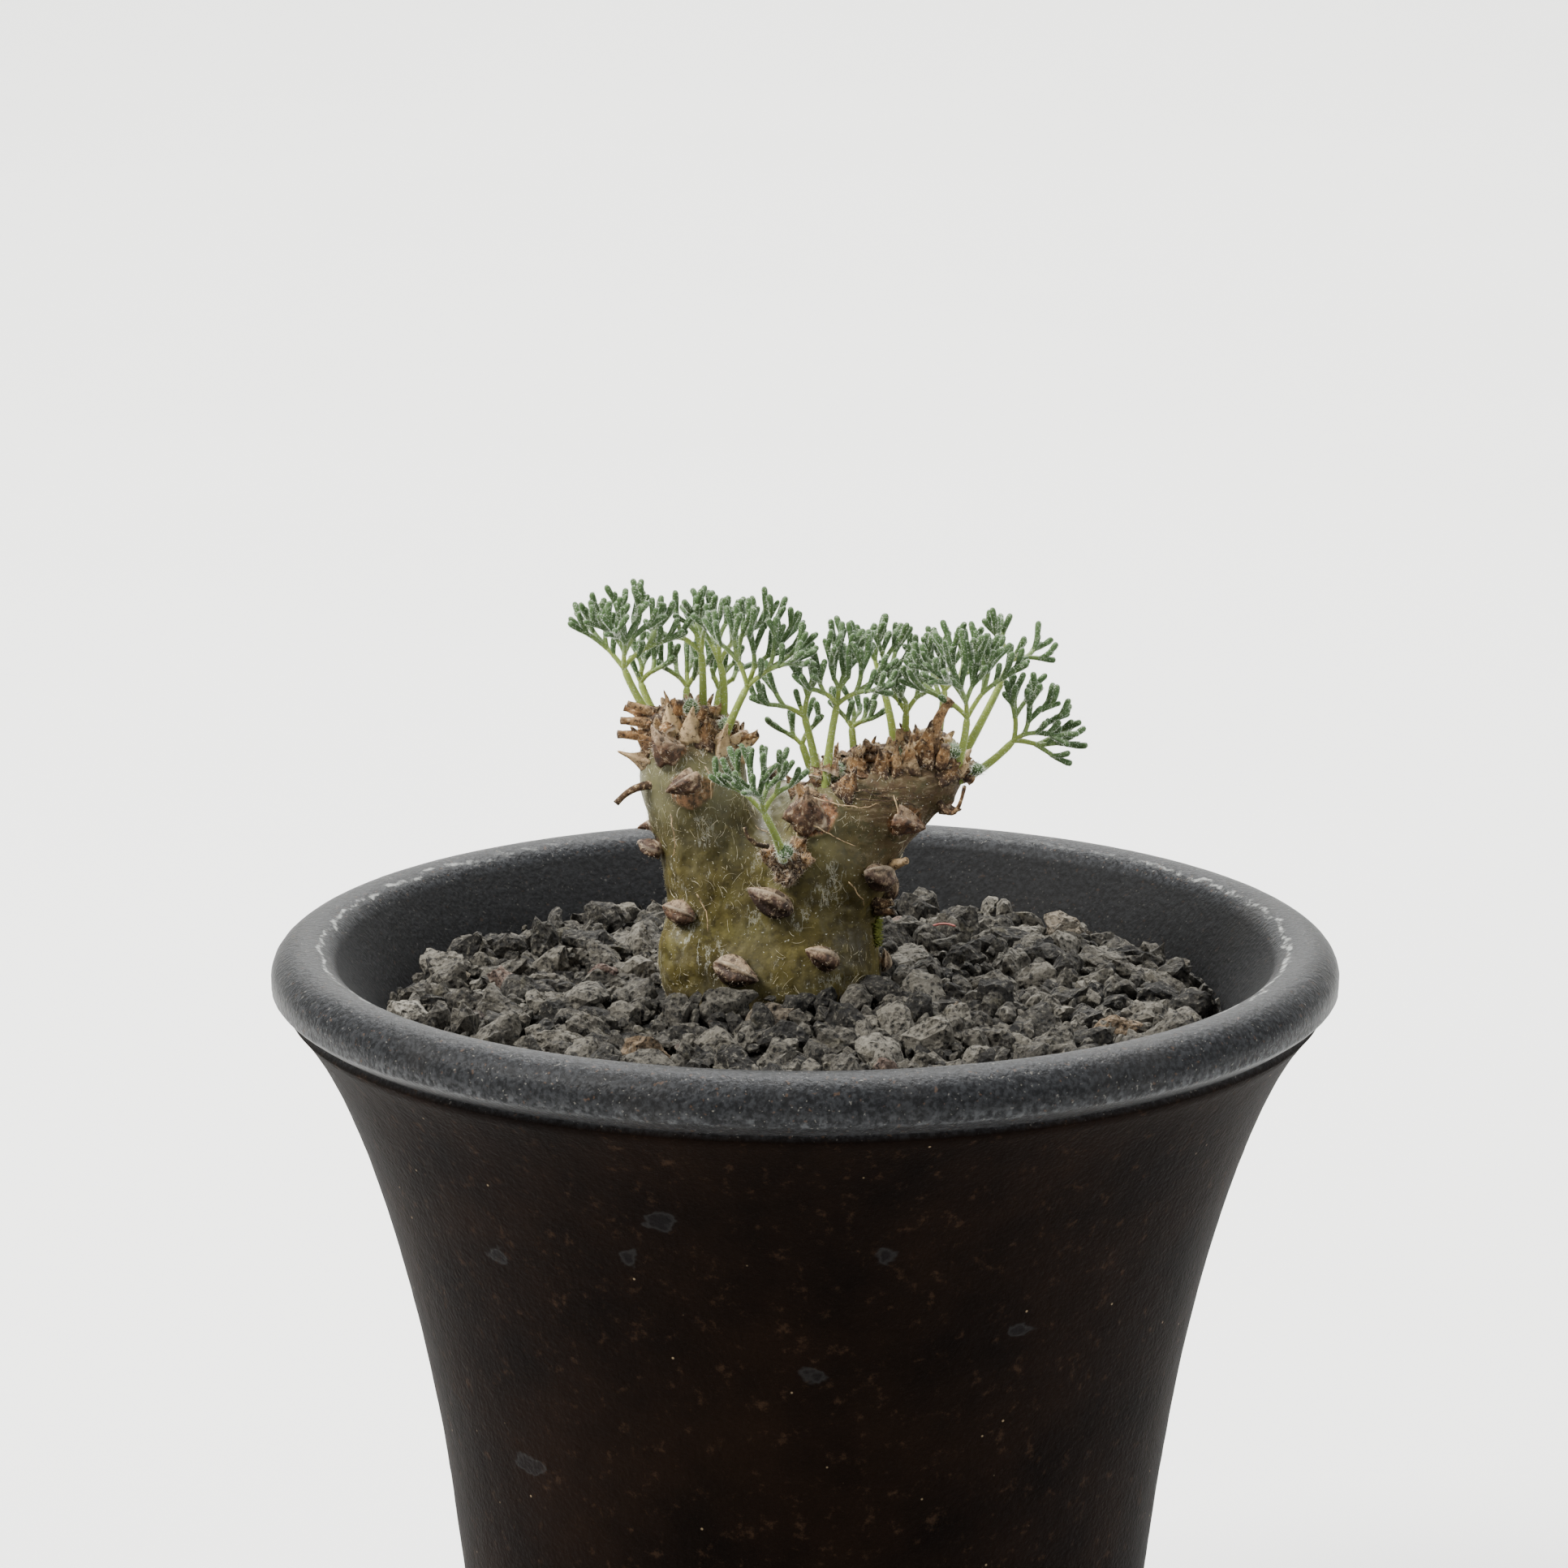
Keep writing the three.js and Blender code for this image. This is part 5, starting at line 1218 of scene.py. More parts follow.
@dataclass
class LavaGravel:
    """The fill: a bed to the wall under a few layers of broken stones of many sizes."""

    pot: FlaredPot
    stem: Caudex
    wall_height: float = 86.9
    mound: float = 1.6
    net_top: float = 10.2
    gap: float = 0.3
    bed_sides: int = 180
    planes: int = 10
    grazing: float = 0.12
    furthest: float = 1.12
    seed: int = 41
    kinds: tuple[tuple[int, float, float, float, int], ...] = (
        (150, 4.2, 5.8, 1.15, 2),
        (300, 3.1, 4.3, 0.85, 2),
        (560, 2.2, 3.1, 0.95, 1),
        (900, 1.1, 2.1, 1.15, 1),
    )
    special: tuple[tuple[float, float, float, str], ...] = (
        (-36.3, 9.7, 5.8, "grey"), (-38.6, -5.9, 4.4, "pale"), (-14.8, -23.5, 4.2, "tan"),
        (26.5, 25.7, 4.6, "beige"), (-29.9, 3.4, 3.6, "rose"), (21.0, 8.0, 5.0, "grey"),
        (8.0, -30.0, 3.2, "rose"), (30.0, -12.0, 3.8, "tan"), (-9.0, 30.0, 3.4, "tan"),
        (-24.0, -18.0, 4.4, "grey"), (2.0, 34.0, 4.4, "grey"),
    )

    def ground(self, x: Array, y: Array) -> Array:
        """Height of the bed: highest in the middle, lower towards the wall as the square of the radius."""
        share = np.hypot(x, y) / float(self.pot.inner(5.0))
        return self.wall_height + self.mound * (1.0 - share * share)

    def bed(self) -> Skin:
        """The bed as one closed form: a lumpy top, a side along the pot's wall, and a flat bottom.

        Formula: rings of points round the axis. The top's height is the ground plus lumps, and the
        rings go on down the wall and in again under the fill.
        """
        edge = float(self.pot.inner(5.1)) - self.gap
        radii = np.linspace(0.6, edge, 74)
        drops = np.linspace(6.0, self.pot.lip_height - self.net_top - self.gap, 24)
        wall = self.pot.inner(drops) - self.gap
        under = np.linspace(float(wall[-1]) - 0.5, 0.6, 12)
        radius = np.concatenate([radii, wall, under])
        height = np.concatenate([np.full(len(radii), np.nan), self.pot.lip_height - drops,
                                 np.full(len(under), self.net_top + self.gap)])
        angle = round_angles(self.bed_sides)
        x = radius[:, None] * np.cos(angle)
        y = radius[:, None] * np.sin(angle)
        flat = np.stack([x, y, 0.0 * x], -1).reshape(-1, 3)
        lumps = 0.7 * layered_noise(flat, 2.4, 21, 3).reshape(x.shape)
        z = np.where(np.isnan(height)[:, None], self.ground(x, y) + 0.1 + lumps, height[:, None])
        points = np.stack([x, y, z], -1).reshape(-1, 3)
        quads, caps = ring_faces(len(radius), self.bed_sides)
        middle = np.array([[0.0, 0.0, float(self.ground(0.0, 0.0))], [0.0, 0.0, self.net_top + self.gap]])
        faces = [quads[:, [0, 3, 2, 1]], caps[:, [1, 0, 2]]]
        return Skin(np.concatenate([points, middle]), faces).marked("tone", 0.10)

    def stones(self, middles: Array, sizes: Array, cuts: int, seed: int) -> Skin:
        """Broken stones, one at each middle.

        Formula: along each direction of a ball, a stone reaches to the nearest of its own few
        planes, softened and roughened by noise. It is then flattened, sized and turned.

        Args:
            middles: Their middles, shape (n, 3).
            sizes: Their widths.
            cuts: How finely the ball is cut.
            seed: Start of the random draw.

        Returns:
            One skin with all the stones.
        """
        rng = np.random.default_rng(seed)
        ways, faces = ball(cuts)
        count = len(middles)
        normals = made_unit(rng.normal(size=(count, self.planes, 3)))
        depth = rng.uniform(0.52, 1.0, (count, self.planes))
        facing = np.einsum("kc,npc->nkp", ways, normals)
        to_plane = depth[:, None, :] / np.maximum(facing, self.grazing)
        reach = np.where(facing > self.grazing, to_plane, self.furthest).min(axis=-1)
        reach = np.minimum(reach, self.furthest)
        spots = (ways[None] * 1.7 + np.arange(count)[:, None, None] * 7.31).reshape(-1, 3)
        rough = layered_noise(spots, 0.8, seed, 3).reshape(count, -1)
        reach = reach * (1.0 + 0.34 * rough)
        shape = ways[None] * reach[..., None]
        shape = shape * rng.uniform((1.0, 0.68, 0.50), (1.28, 0.98, 0.80), (count, 3))[:, None, :]
        quat = made_unit(rng.normal(size=(count, 4)))
        w, x, y, z = quat.T
        turn = np.stack([
            np.stack([1 - 2 * (y * y + z * z), 2 * (x * y - z * w), 2 * (x * z + y * w)], -1),
            np.stack([2 * (x * y + z * w), 1 - 2 * (x * x + z * z), 2 * (y * z - x * w)], -1),
            np.stack([2 * (x * z - y * w), 2 * (y * z + x * w), 1 - 2 * (x * x + y * y)], -1),
        ], 1)
        shape = np.einsum("nkc,ndc->nkd", shape, turn)
        points = middles[:, None, :] + 0.5 * sizes[:, None, None] * shape
        step = (np.arange(count) * len(ways))[:, None, None]
        return Skin(points.reshape(-1, 3), [(faces[None] + step).reshape(-1, 3)])

    def scattered(self) -> list[tuple[Array, Array, int]]:
        """Places for all the stones, the large ones first, each clear of those of its own kind.

        Returns:
            For each kind: middles, widths and how finely its ball is cut.
        """
        rng = np.random.default_rng(self.seed)
        edge = float(self.pot.inner(5.0)) - self.gap
        made = []
        taken = np.array([stone[:3] for stone in self.special])
        for count, least, most, lift, cuts in self.kinds:
            own = taken if len(made) == 0 else np.zeros((0, 3))
            kept = []
            for _ in range(count * 14):
                if len(kept) >= count:
                    break
                size = rng.uniform(least, most)
                radius = (edge - 0.48 * size) * math.sqrt(rng.uniform())
                angle = rng.uniform(0.0, 2.0 * math.pi)
                x, y = radius * math.cos(angle), radius * math.sin(angle)
                near = np.hypot(own[:, 0] - x, own[:, 1] - y) < 0.40 * (own[:, 2] + size)
                if np.any(near):
                    continue
                own = np.concatenate([own, [[x, y, size]]])
                kept.append((x, y, size))
            kept = np.array(kept)
            z = self.ground(kept[:, 0], kept[:, 1]) + lift * rng.uniform(0.35, 1.55, len(kept))
            middles = np.stack([kept[:, 0], kept[:, 1], z], -1)
            free = self.stem.distance(middles) > 0.30 * kept[:, 2]
            made.append((middles[free], kept[free, 2], cuts))
        return made

    def build(self) -> None:
        """Makes the bed and the stones, and gives each stone its own tone."""
        finish = LavaFinish().made()
        place(self.bed(), "gravel_bed", Slot.LAVA, finish, ("gravel",))
        for number, (middles, sizes, cuts) in enumerate(self.scattered()):
            skin = self.stones(middles, sizes, cuts, self.seed + number)
            rng = np.random.default_rng(self.seed + 10 + number)
            count = len(middles)
            skin.marked("tone", np.clip(rng.normal(0.46, 0.28, count), 0.0, 0.90))
            for name, chance, most in (("warm", 0.015, 0.5), ("rose", 0.012, 0.45)):
                chosen = rng.uniform(size=count) < chance
                skin.marked(name, np.where(chosen, rng.uniform(0.15, most, count), 0.0))
            place(skin, f"gravel_stones_{number + 1}", Slot.LAVA, finish, smooth=False)
        tones = {"grey": (0.88, 0.0, 0.0), "pale": (0.96, 0.05, 0.0), "tan": (0.5, 0.55, 0.0),
                 "beige": (0.9, 0.30, 0.0), "rose": (0.5, 0.0, 0.40)}
        x, y, sizes = np.array([stone[:3] for stone in self.special]).T
        middles = np.stack([x, y, self.ground(x, y) + 1.7], -1)
        skin = self.stones(middles, sizes, 3, self.seed + 30)
        for index, name in enumerate(("tone", "warm", "rose")):
            skin.marked(name, np.array([tones[kind][index] for *_, kind in self.special]))
        place(skin, "gravel_odd_stones", Slot.LAVA, finish, smooth=False)


# Dry stubs and scales


@dataclass(frozen=True)
class DryTip:
    """A stub or scale: a line from inside the stem along aim gives its seat, hook bends its tip.

    Broad is 1 for a peak with a wide foot, 0 for a slender form that lies along the skin. Scar is
    how much wider than the foot the scar round it is.
    """

    at: Place
    aim: Place
    length: float
    width: float
    hook: Place
    broad: float = 0.0
    scar: float = 0.0


def values_of(tips: tuple[DryTip, ...], name: str) -> Array:
    """One value of each stub or scale."""
    return np.array([getattr(tip, name) for tip in tips], float)


STUBS = (
    DryTip((-10.6, 2.0, 110.5), (-0.30, -1.0, 0.1), 1.5, 4.0, (-1.2, 0, -0.5), 0.45, 1.7),
    DryTip((-11.6, 2.4, 113.0), (-0.6, -0.9, 0.4), 1.9, 4.4, (-0.8, 0, 1.8), 0.7),
    DryTip((-8.0, 2.0, 97.6), (-1.0, -0.75, 0.05), 1.5, 3.8, (-0.9, 0, 0.2)),
    DryTip((-2.6, 2.0, 99.2), (-0.15, -1.0, 0.05), 1.4, 4.8, (-1.3, 0, 0.7)),
    DryTip((1.6, 2.0, 93.4), (0.0, -1.0, 0.1), 1.3, 3.8, (-0.9, 0, 0.4)),
    DryTip((-5.6, 2.0, 91.4), (-0.2, -1.0, 0.2), 1.0, 4.6, (0.9, 0, -0.3)),
    DryTip((4.0, 3.0, 101.8), (0.8, -0.9, -0.1), 1.7, 4.4, (1.3, 0, -0.5)),
    DryTip((7.4, 3.4, 106.8), (0.6, -0.9, 0.0), 1.3, 4.6, (0.9, 0, -0.4), 0.6),
    DryTip((1.0, 2.2, 105.4), (-0.2, -1.0, 0.8), 1.7, 4.8, (0.2, 0, 2.0), 1.0, 0.5),
    DryTip((-9.6, 3.0, 105.2), (-1.0, -0.1, 0.1), 1.0, 1.8, (-0.2, 0, -0.2), 0.8),
    DryTip((-8.6, 3.0, 102.0), (-1.0, -0.2, 0.3), 1.9, 3.3, (-0.9, 0, -0.1), 0.35),
    DryTip((11.2, 3.4, 108.6), (1.0, -0.3, -0.35), 1.1, 1.9, (0.3, 0, 0.3), 0.8),
    DryTip((2.4, 3.2, 98.6), (1.0, 0.0, 0.1), 1.2, 2.8, (0.2, 0, 0.3)),
    DryTip((2.4, 3.0, 91.6), (1.0, -0.2, 0.1), 1.0, 2.2, (0.2, 0, 0.3)),
    DryTip((-7.0, 4.0, 95.4), (-0.6, 1.0, 0.1), 1.4, 4.0, (-0.4, 0, 0.8)),
    DryTip((0.6, 4.0, 93.6), (0.5, 1.0, 0.1), 1.4, 4.0, (0.6, 0, 0.6)),
    DryTip((-10.0, 4.0, 106.6), (-0.3, 1.0, 0.2), 1.5, 4.0, (-0.2, 0, 1.0)),
    DryTip((5.0, 4.4, 103.6), (0.3, 1.0, 0.1), 1.4, 4.2, (0.6, 0, 0.6)),
    DryTip((-1.9, 8.4, 104.4), (-0.3, 0.5, 1.0), 1.4, 3.4, (-0.3, 0.4, 0.6)),
    DryTip((-1.7, 8.0, 102.6), (0.5, 1.0, 0.4), 1.3, 3.2, (0.4, 0.2, 0.4)),
)


@dataclass
class DryStubs:
    """Dead stubs of old shoots: broad ridged feet drawn up into short hooked tips."""

    stem: Caudex
    sides: int = 28
    rings: int = 15
    depth: float = 0.9

    def seats(self) -> list[tuple[Array, float, float]]:
        """The scar's middle and width and the broadness of each stub."""
        made = []
        for stub in STUBS:
            seat = self.stem.seat(stub.at, stub.aim) + 0.36 * stub.scar * np.array([1.0, 0.0, -1.0])
            made.append((seat, stub.width + stub.scar, stub.broad))
        return made

    def skin(self) -> Skin:
        """All the stubs.

        Formula: a slender stub is a little boat that lies on the skin: pointed at both ends, its
        tip lifted, with a groove along its top and a pale rim beside it. A broad one is a peak
        whose sides sweep in quickly from a wide foot to a hooked tip.
        """
        count = len(STUBS)
        aims = made_unit(values_of(STUBS, "aim"))
        seats = self.stem.seats(STUBS)
        out = self.stem.out_of(seats)
        hooks = values_of(STUBS, "hook")
        lie = made_unit(hooks - np.sum(hooks * out, -1, keepdims=True) * out)
        lengths, widths, broad = (values_of(STUBS, name)[:, None] for name in ("length", "width", "broad"))
        tips = seats + lengths * aims + hooks
        low = seats - 0.52 * widths * lie + 0.05 * out
        straight = seats - self.depth * aims
        starts = low + broad * (straight - low)
        arch = seats + 1.05 * out - 0.05 * widths * lie
        bends = arch + broad * (seats + 0.75 * lengths * aims - arch)
        lying = seats + 0.55 * widths * lie + 0.75 * out
        ends = lying + broad * (tips - lying)
        share = np.linspace(0.0, 1.0, self.rings + 2)
        paths = bent_paths(starts, bends, ends, share)
        foot = share[1:-1]
        slender = 0.29 * np.sin(np.pi * foot**0.85) ** 0.9 + 0.012
        peak = 0.50 * (1.0 - foot) ** 2.2 + 0.075 * (1.0 - foot) ** 0.35
        fall = (slender + broad * (peak - slender)) * widths
        angle = round_angles(self.sides)
        number = np.arange(count)[:, None, None]
        upper = np.sign(np.cross(lie, out)[:, 2])[:, None, None]
        top = upper * (1.15 + 0.2 * np.sin(2.3 * number))
        aside = upper * ((angle - top + np.pi) % (2.0 * np.pi) - np.pi)
        groove = np.exp(-((aside / 0.34) ** 2)) * (1.0 - broad[:, :, None])
        rim = np.exp(-(((aside + 0.46) / 0.16) ** 2)) * (1.0 - broad[:, :, None])
        ridge = 1.0 + 0.13 * np.sin(5.0 * angle + 2.1 * number + 1.5 * foot[:, None])
        ridge = ridge + 0.07 * np.sin(9.0 * angle - 1.7 * number + 2.5 * foot[:, None])
        radius = fall[:, :, None] * (ridge - 0.38 * groove + 0.20 * rim)
        flat = 0.72 + 0.24 * broad[:, :, None]
        sections = np.stack([flat * radius * np.cos(angle), radius * np.sin(angle)], -1)
        skin = carried(paths, sections, out)
        crumple = skin.spread(0.16 + 0.30 * broad[:, 0]) * np.abs(soft_noise(skin.points, 0.9, 65))
        skin.moved(0.30 * layered_noise(skin.points, 1.7, 61, 2) + crumple, out)
        pale = np.broadcast_to(rim, radius.shape).reshape(count, -1)
        pale = np.concatenate([pale, np.ones((count, 2))], axis=1).ravel()
        dark = np.broadcast_to(groove, radius.shape).reshape(count, -1)
        dark = np.concatenate([dark, np.zeros((count, 2))], axis=1).ravel()
        tone = 0.16 + 0.14 * np.sin(3.7 * np.arange(count) + 0.4) + 0.48 * broad[:, 0]
        tone = skin.spread(tone) + 0.30 * layered_noise(skin.points, 1.1, 62, 2)
        skin.marked("tone", np.clip(tone - 0.5 * dark, 0.0, 1.0))
        near = self.stem.distance(skin.points) + 0.10 * layered_noise(skin.points, 0.6, 63, 2)
        edge = np.exp(-(((near - 0.16) / 0.09) ** 2))
        skin.marked("rim", np.maximum(0.55 * pale, 0.85 * edge))
        # Painted light: the lit mark rises towards each stub's upper side, and a little towards +X, for a
        # painted highlight on top and painted shade underneath.
        from_seat = skin.points - skin.spread(seats)
        share = (from_seat[:, 2] + 0.35 * from_seat[:, 0]) / skin.spread(0.5 * widths[:, 0])
        lit = 0.5 + share + 0.5 * layered_noise(skin.points, 1.2, 64, 2)
        return skin.marked("lit", np.clip(lit, 0.0, 1.0))


@dataclass
class ScaleBed:
    """Dry, cupped scales: thin shells that stand on a crust and curl at their tips."""

    rings: int = 9
    across: int = 7
    thickness: float = 0.16

    def skin(self, seats: Array, tips: Array, backs: Array, widths: Array,
             seed: int) -> Skin:
        """Scales from their seats to their tips.

        Formula: a section is a shallow arch, thickest in the middle, as wide as the scale there. The
        width swells a little above the foot and narrows to the tip, with a ragged rim.

        Args:
            seats: Where they stand, shape (n, 3).
            tips: Where they end.
            backs: Direction that each one's outer face looks.
            widths: Greatest widths.
            seed: Start of the random draw.

        Returns:
            One skin with marks "along", "tone" and "rim".
        """
        rng = np.random.default_rng(seed)
        count = len(seats)
        share = np.linspace(0.0, 1.0, self.rings + 2)
        lift = 0.30 * np.linalg.norm(tips - seats, axis=-1, keepdims=True)
        middles = 0.5 * (seats + tips) + lift * backs
        paths = bent_paths(seats - 0.25 * (tips - seats), middles, tips, share)
        foot = share[1:-1]
        power = rng.uniform(0.7, 1.3, (count, 1))
        wide = (1.0 - foot) ** power * (0.80 + 0.55 * np.sin(np.pi * np.minimum(foot * 1.15, 1.0)))
        wide = 0.34 * widths[:, None] * wide * (1.0 + 0.20 * rng.normal(size=wide.shape)) + 0.03
        u = np.linspace(-1.0, 1.0, self.across)
        cup = rng.uniform(0.5, 1.1, (count, 1, 1))
        arch = cup * wide[..., None] * (1.0 - u * u)
        thick = 0.5 * self.thickness * (1.0 - 0.65 * u * u)
        outer = np.stack([arch + thick, wide[..., None] * u], -1)
        inner = np.stack([arch - thick, wide[..., None] * u], -1)[:, :, ::-1]
        sections = np.concatenate([outer, inner], axis=2)
        skin = carried(paths, sections, backs)
        skin.moved(0.05 * layered_noise(skin.points, 0.5, seed, 2), backs)
        skin.marked("tone", np.clip(rng.normal(0.50, 0.42, count), 0.0, 1.0))
        edge = np.concatenate([np.abs(u) > 0.9, np.abs(u[::-1]) > 0.9]).astype(float)
        rim = np.tile(np.concatenate([np.tile(edge, self.rings), [0.0, 1.0]]), count)
        return skin.marked("rim", rim * skin.spread(rng.uniform(0.2, 1.0, count)))


@dataclass
class Crown:
    """The dry crust over a branch tip: a lumpy shell inside some balls, with scales on it.

    The balls are (x, y, z, radius). Tall scales are given one by one, small ones are scattered.
    """

    name: str
    stem: Caudex
    zones: tuple[tuple[float, float, float, float], ...]
    scales: tuple[DryTip, ...]
    small: int
    seed: int
    thickness: float = 0.75
    gap: float = 0.3
    lift: float = 0.4
    shade: float = 0.0

    def zone(self, points: Array) -> Array:
        """Distance from the nearest ball, negative inside."""
        parts = [np.linalg.norm(points - np.array(ball[:3]), axis=-1) - ball[3] for ball in self.zones]
        return np.minimum.reduce(parts)

    def crust(self) -> Skin:
        """The crust's skin.

        Formula: the surface where the smooth stem plus a thickness meets the balls, the thickness
        and the balls' edges both made uneven by noise, then roughened in its finest points.
        """
        def distance(points: Array) -> Array:
            lumps = layered_noise(points, 1.5, self.seed, 2)
            shell = self.stem.distance(points) - self.gap - self.thickness * (0.55 + 0.75 * lumps)
            edge = self.zone(points) + 0.45 + 0.9 * soft_noise(points, 1.3, self.seed + 5)
            return np.maximum(shell, edge)

        balls = np.array(self.zones)
        low = (balls[:, :3] - balls[:, 3:]).min(axis=0) - 1.6
        high = (balls[:, :3] + balls[:, 3:]).max(axis=0) + 1.6
        skin = skin_of(distance, low, high, 0.32)
        rough = 0.20 * layered_noise(skin.points, 0.7, self.seed + 9, 3)
        skin.moved(rough, self.stem.out_of(skin.points))
        tone = np.clip(0.22 + 0.45 * layered_noise(skin.points, 1.0, self.seed + 11, 2), 0.0, 1.0)
        return skin.marked("along", 0.5).marked("tone", tone).marked("rim", 0.0)

    def tall(self) -> Skin:
        """The scales that the solids have too."""
        aims = made_unit(values_of(self.scales, "aim"))
        seats = self.stem.seats(self.scales)
        lengths = values_of(self.scales, "length")[:, None] + self.gap + self.lift * self.thickness
        tips = seats + lengths * aims + values_of(self.scales, "hook")
        out = self.stem.out_of(seats)
        share = np.linspace(0.0, 1.0, 15)
        paths = bent_paths(seats - 0.7 * aims, seats + 0.62 * lengths * aims, tips, share)
        foot = share[1:-1]
        rng = np.random.default_rng(self.seed + 20)
        power = rng.uniform(1.7, 2.8, (len(seats), 1))
        fall = 0.62 * (1.0 - foot) ** power + 0.14 * (1.0 - foot) ** 0.3
        angle = round_angles(20)
        number = np.arange(len(seats))[:, None, None]
        ridge = 1.0 + 0.16 * np.sin(4.0 * angle + 2.3 * number + 1.2 * foot[:, None])
        ridge = ridge + 0.10 * np.sin(7.0 * angle - 1.9 * number - 2.0 * foot[:, None])
        radius = (values_of(self.scales, "width")[:, None] * fall)[:, :, None] * ridge
        sections = np.stack([0.8 * radius * np.cos(angle), radius * np.sin(angle)], -1)
        skin = carried(paths, sections, out)
        skin.moved(0.12 * layered_noise(skin.points, 0.7, self.seed + 22, 3), out)
        tone = skin.spread(rng.uniform(0.15, 1.0, len(seats)))
        tone = tone + 0.35 * layered_noise(skin.points, 0.9, self.seed + 23, 2)
        return skin.marked("tone", np.clip(tone, 0.0, 1.0)).marked("rim", 0.0)

    def spots(self, rng: np.random.Generator, count: int) -> tuple[Array, Array]:
        """Up to count random places on the crust, and the ways out of the stem there."""
        balls = np.array(self.zones)
        pick = rng.integers(0, len(balls), count * 6)
        ways = made_unit(rng.normal(size=(len(pick), 3)) + np.array([0.0, 0.0, 0.5]))
        seats = balls[pick, :3] - np.array([0.0, 0.0, 2.2])
        for _ in range(14):
            away = self.stem.distance(seats) - 0.55
            seats = seats - away[:, None] * ways
        good = (np.abs(self.stem.distance(seats) - 0.55) < 0.1) & (self.zone(seats) < -0.2)
        seats = seats[good][:count]
        return seats, self.stem.out_of(seats)

    def scattered(self) -> Skin:
        """Small scales between the tall ones."""
        rng = np.random.default_rng(self.seed)
        seats, out = self.spots(rng, self.small)
        lean = made_unit(out + 0.5 * UP + 0.9 * rng.normal(size=out.shape))
        lengths = rng.uniform(0.5, 1.7, (len(seats), 1))
        widths = rng.uniform(0.9, 2.6, len(seats))
        return ScaleBed().skin(seats, seats + lengths * lean, out, widths, self.seed + 30)

    def horns(self) -> Skin:
        """Curved, tapering feet of old leaf stalks that stand out of the crust like small horns."""
        rng = np.random.default_rng(self.seed + 50)
        seats, out = self.spots(rng, self.small // 3)
        lean = made_unit(out + 0.6 * UP + 0.6 * rng.normal(size=out.shape))
        lengths = rng.uniform(1.0, 2.4, (len(seats), 1))
        curl = rng.uniform(0.2, 0.8, (len(seats), 1)) * UP + 0.4 * rng.normal(size=out.shape)
        ends = seats + lengths * made_unit(lean + 0.5 * curl)
        share = np.linspace(0.0, 1.0, 11)
        paths = bent_paths(seats - 0.4 * out, seats + 0.55 * lengths * lean, ends, share)
        fall = 1.15 * (1.0 - share[1:-1]) ** 0.7 + 0.12
        radii = rng.uniform(0.26, 0.48, (len(seats), 1)) * fall
        skin = tubes(paths, radii, 9)
        skin.moved(0.06 * layered_noise(skin.points, 0.5, self.seed + 51, 2))
        tone = np.clip(rng.normal(0.6, 0.3, len(seats)), 0.0, 1.0)
        return skin.marked("tone", tone).marked("rim", 0.0)

    def build(self, finish: bpy.types.Material) -> Skin:
        """Makes the crown and gives back its skin, for the wool on it."""
        skin = joined_skins([self.crust(), self.tall(), self.scattered(), self.horns()])
        skin.marks["tone"] = np.clip(skin.marks["tone"] - self.shade, 0.0, 1.0)
        place(skin, f"{self.name}_scales", Slot.SCALES, finish, (self.name,))
        return skin


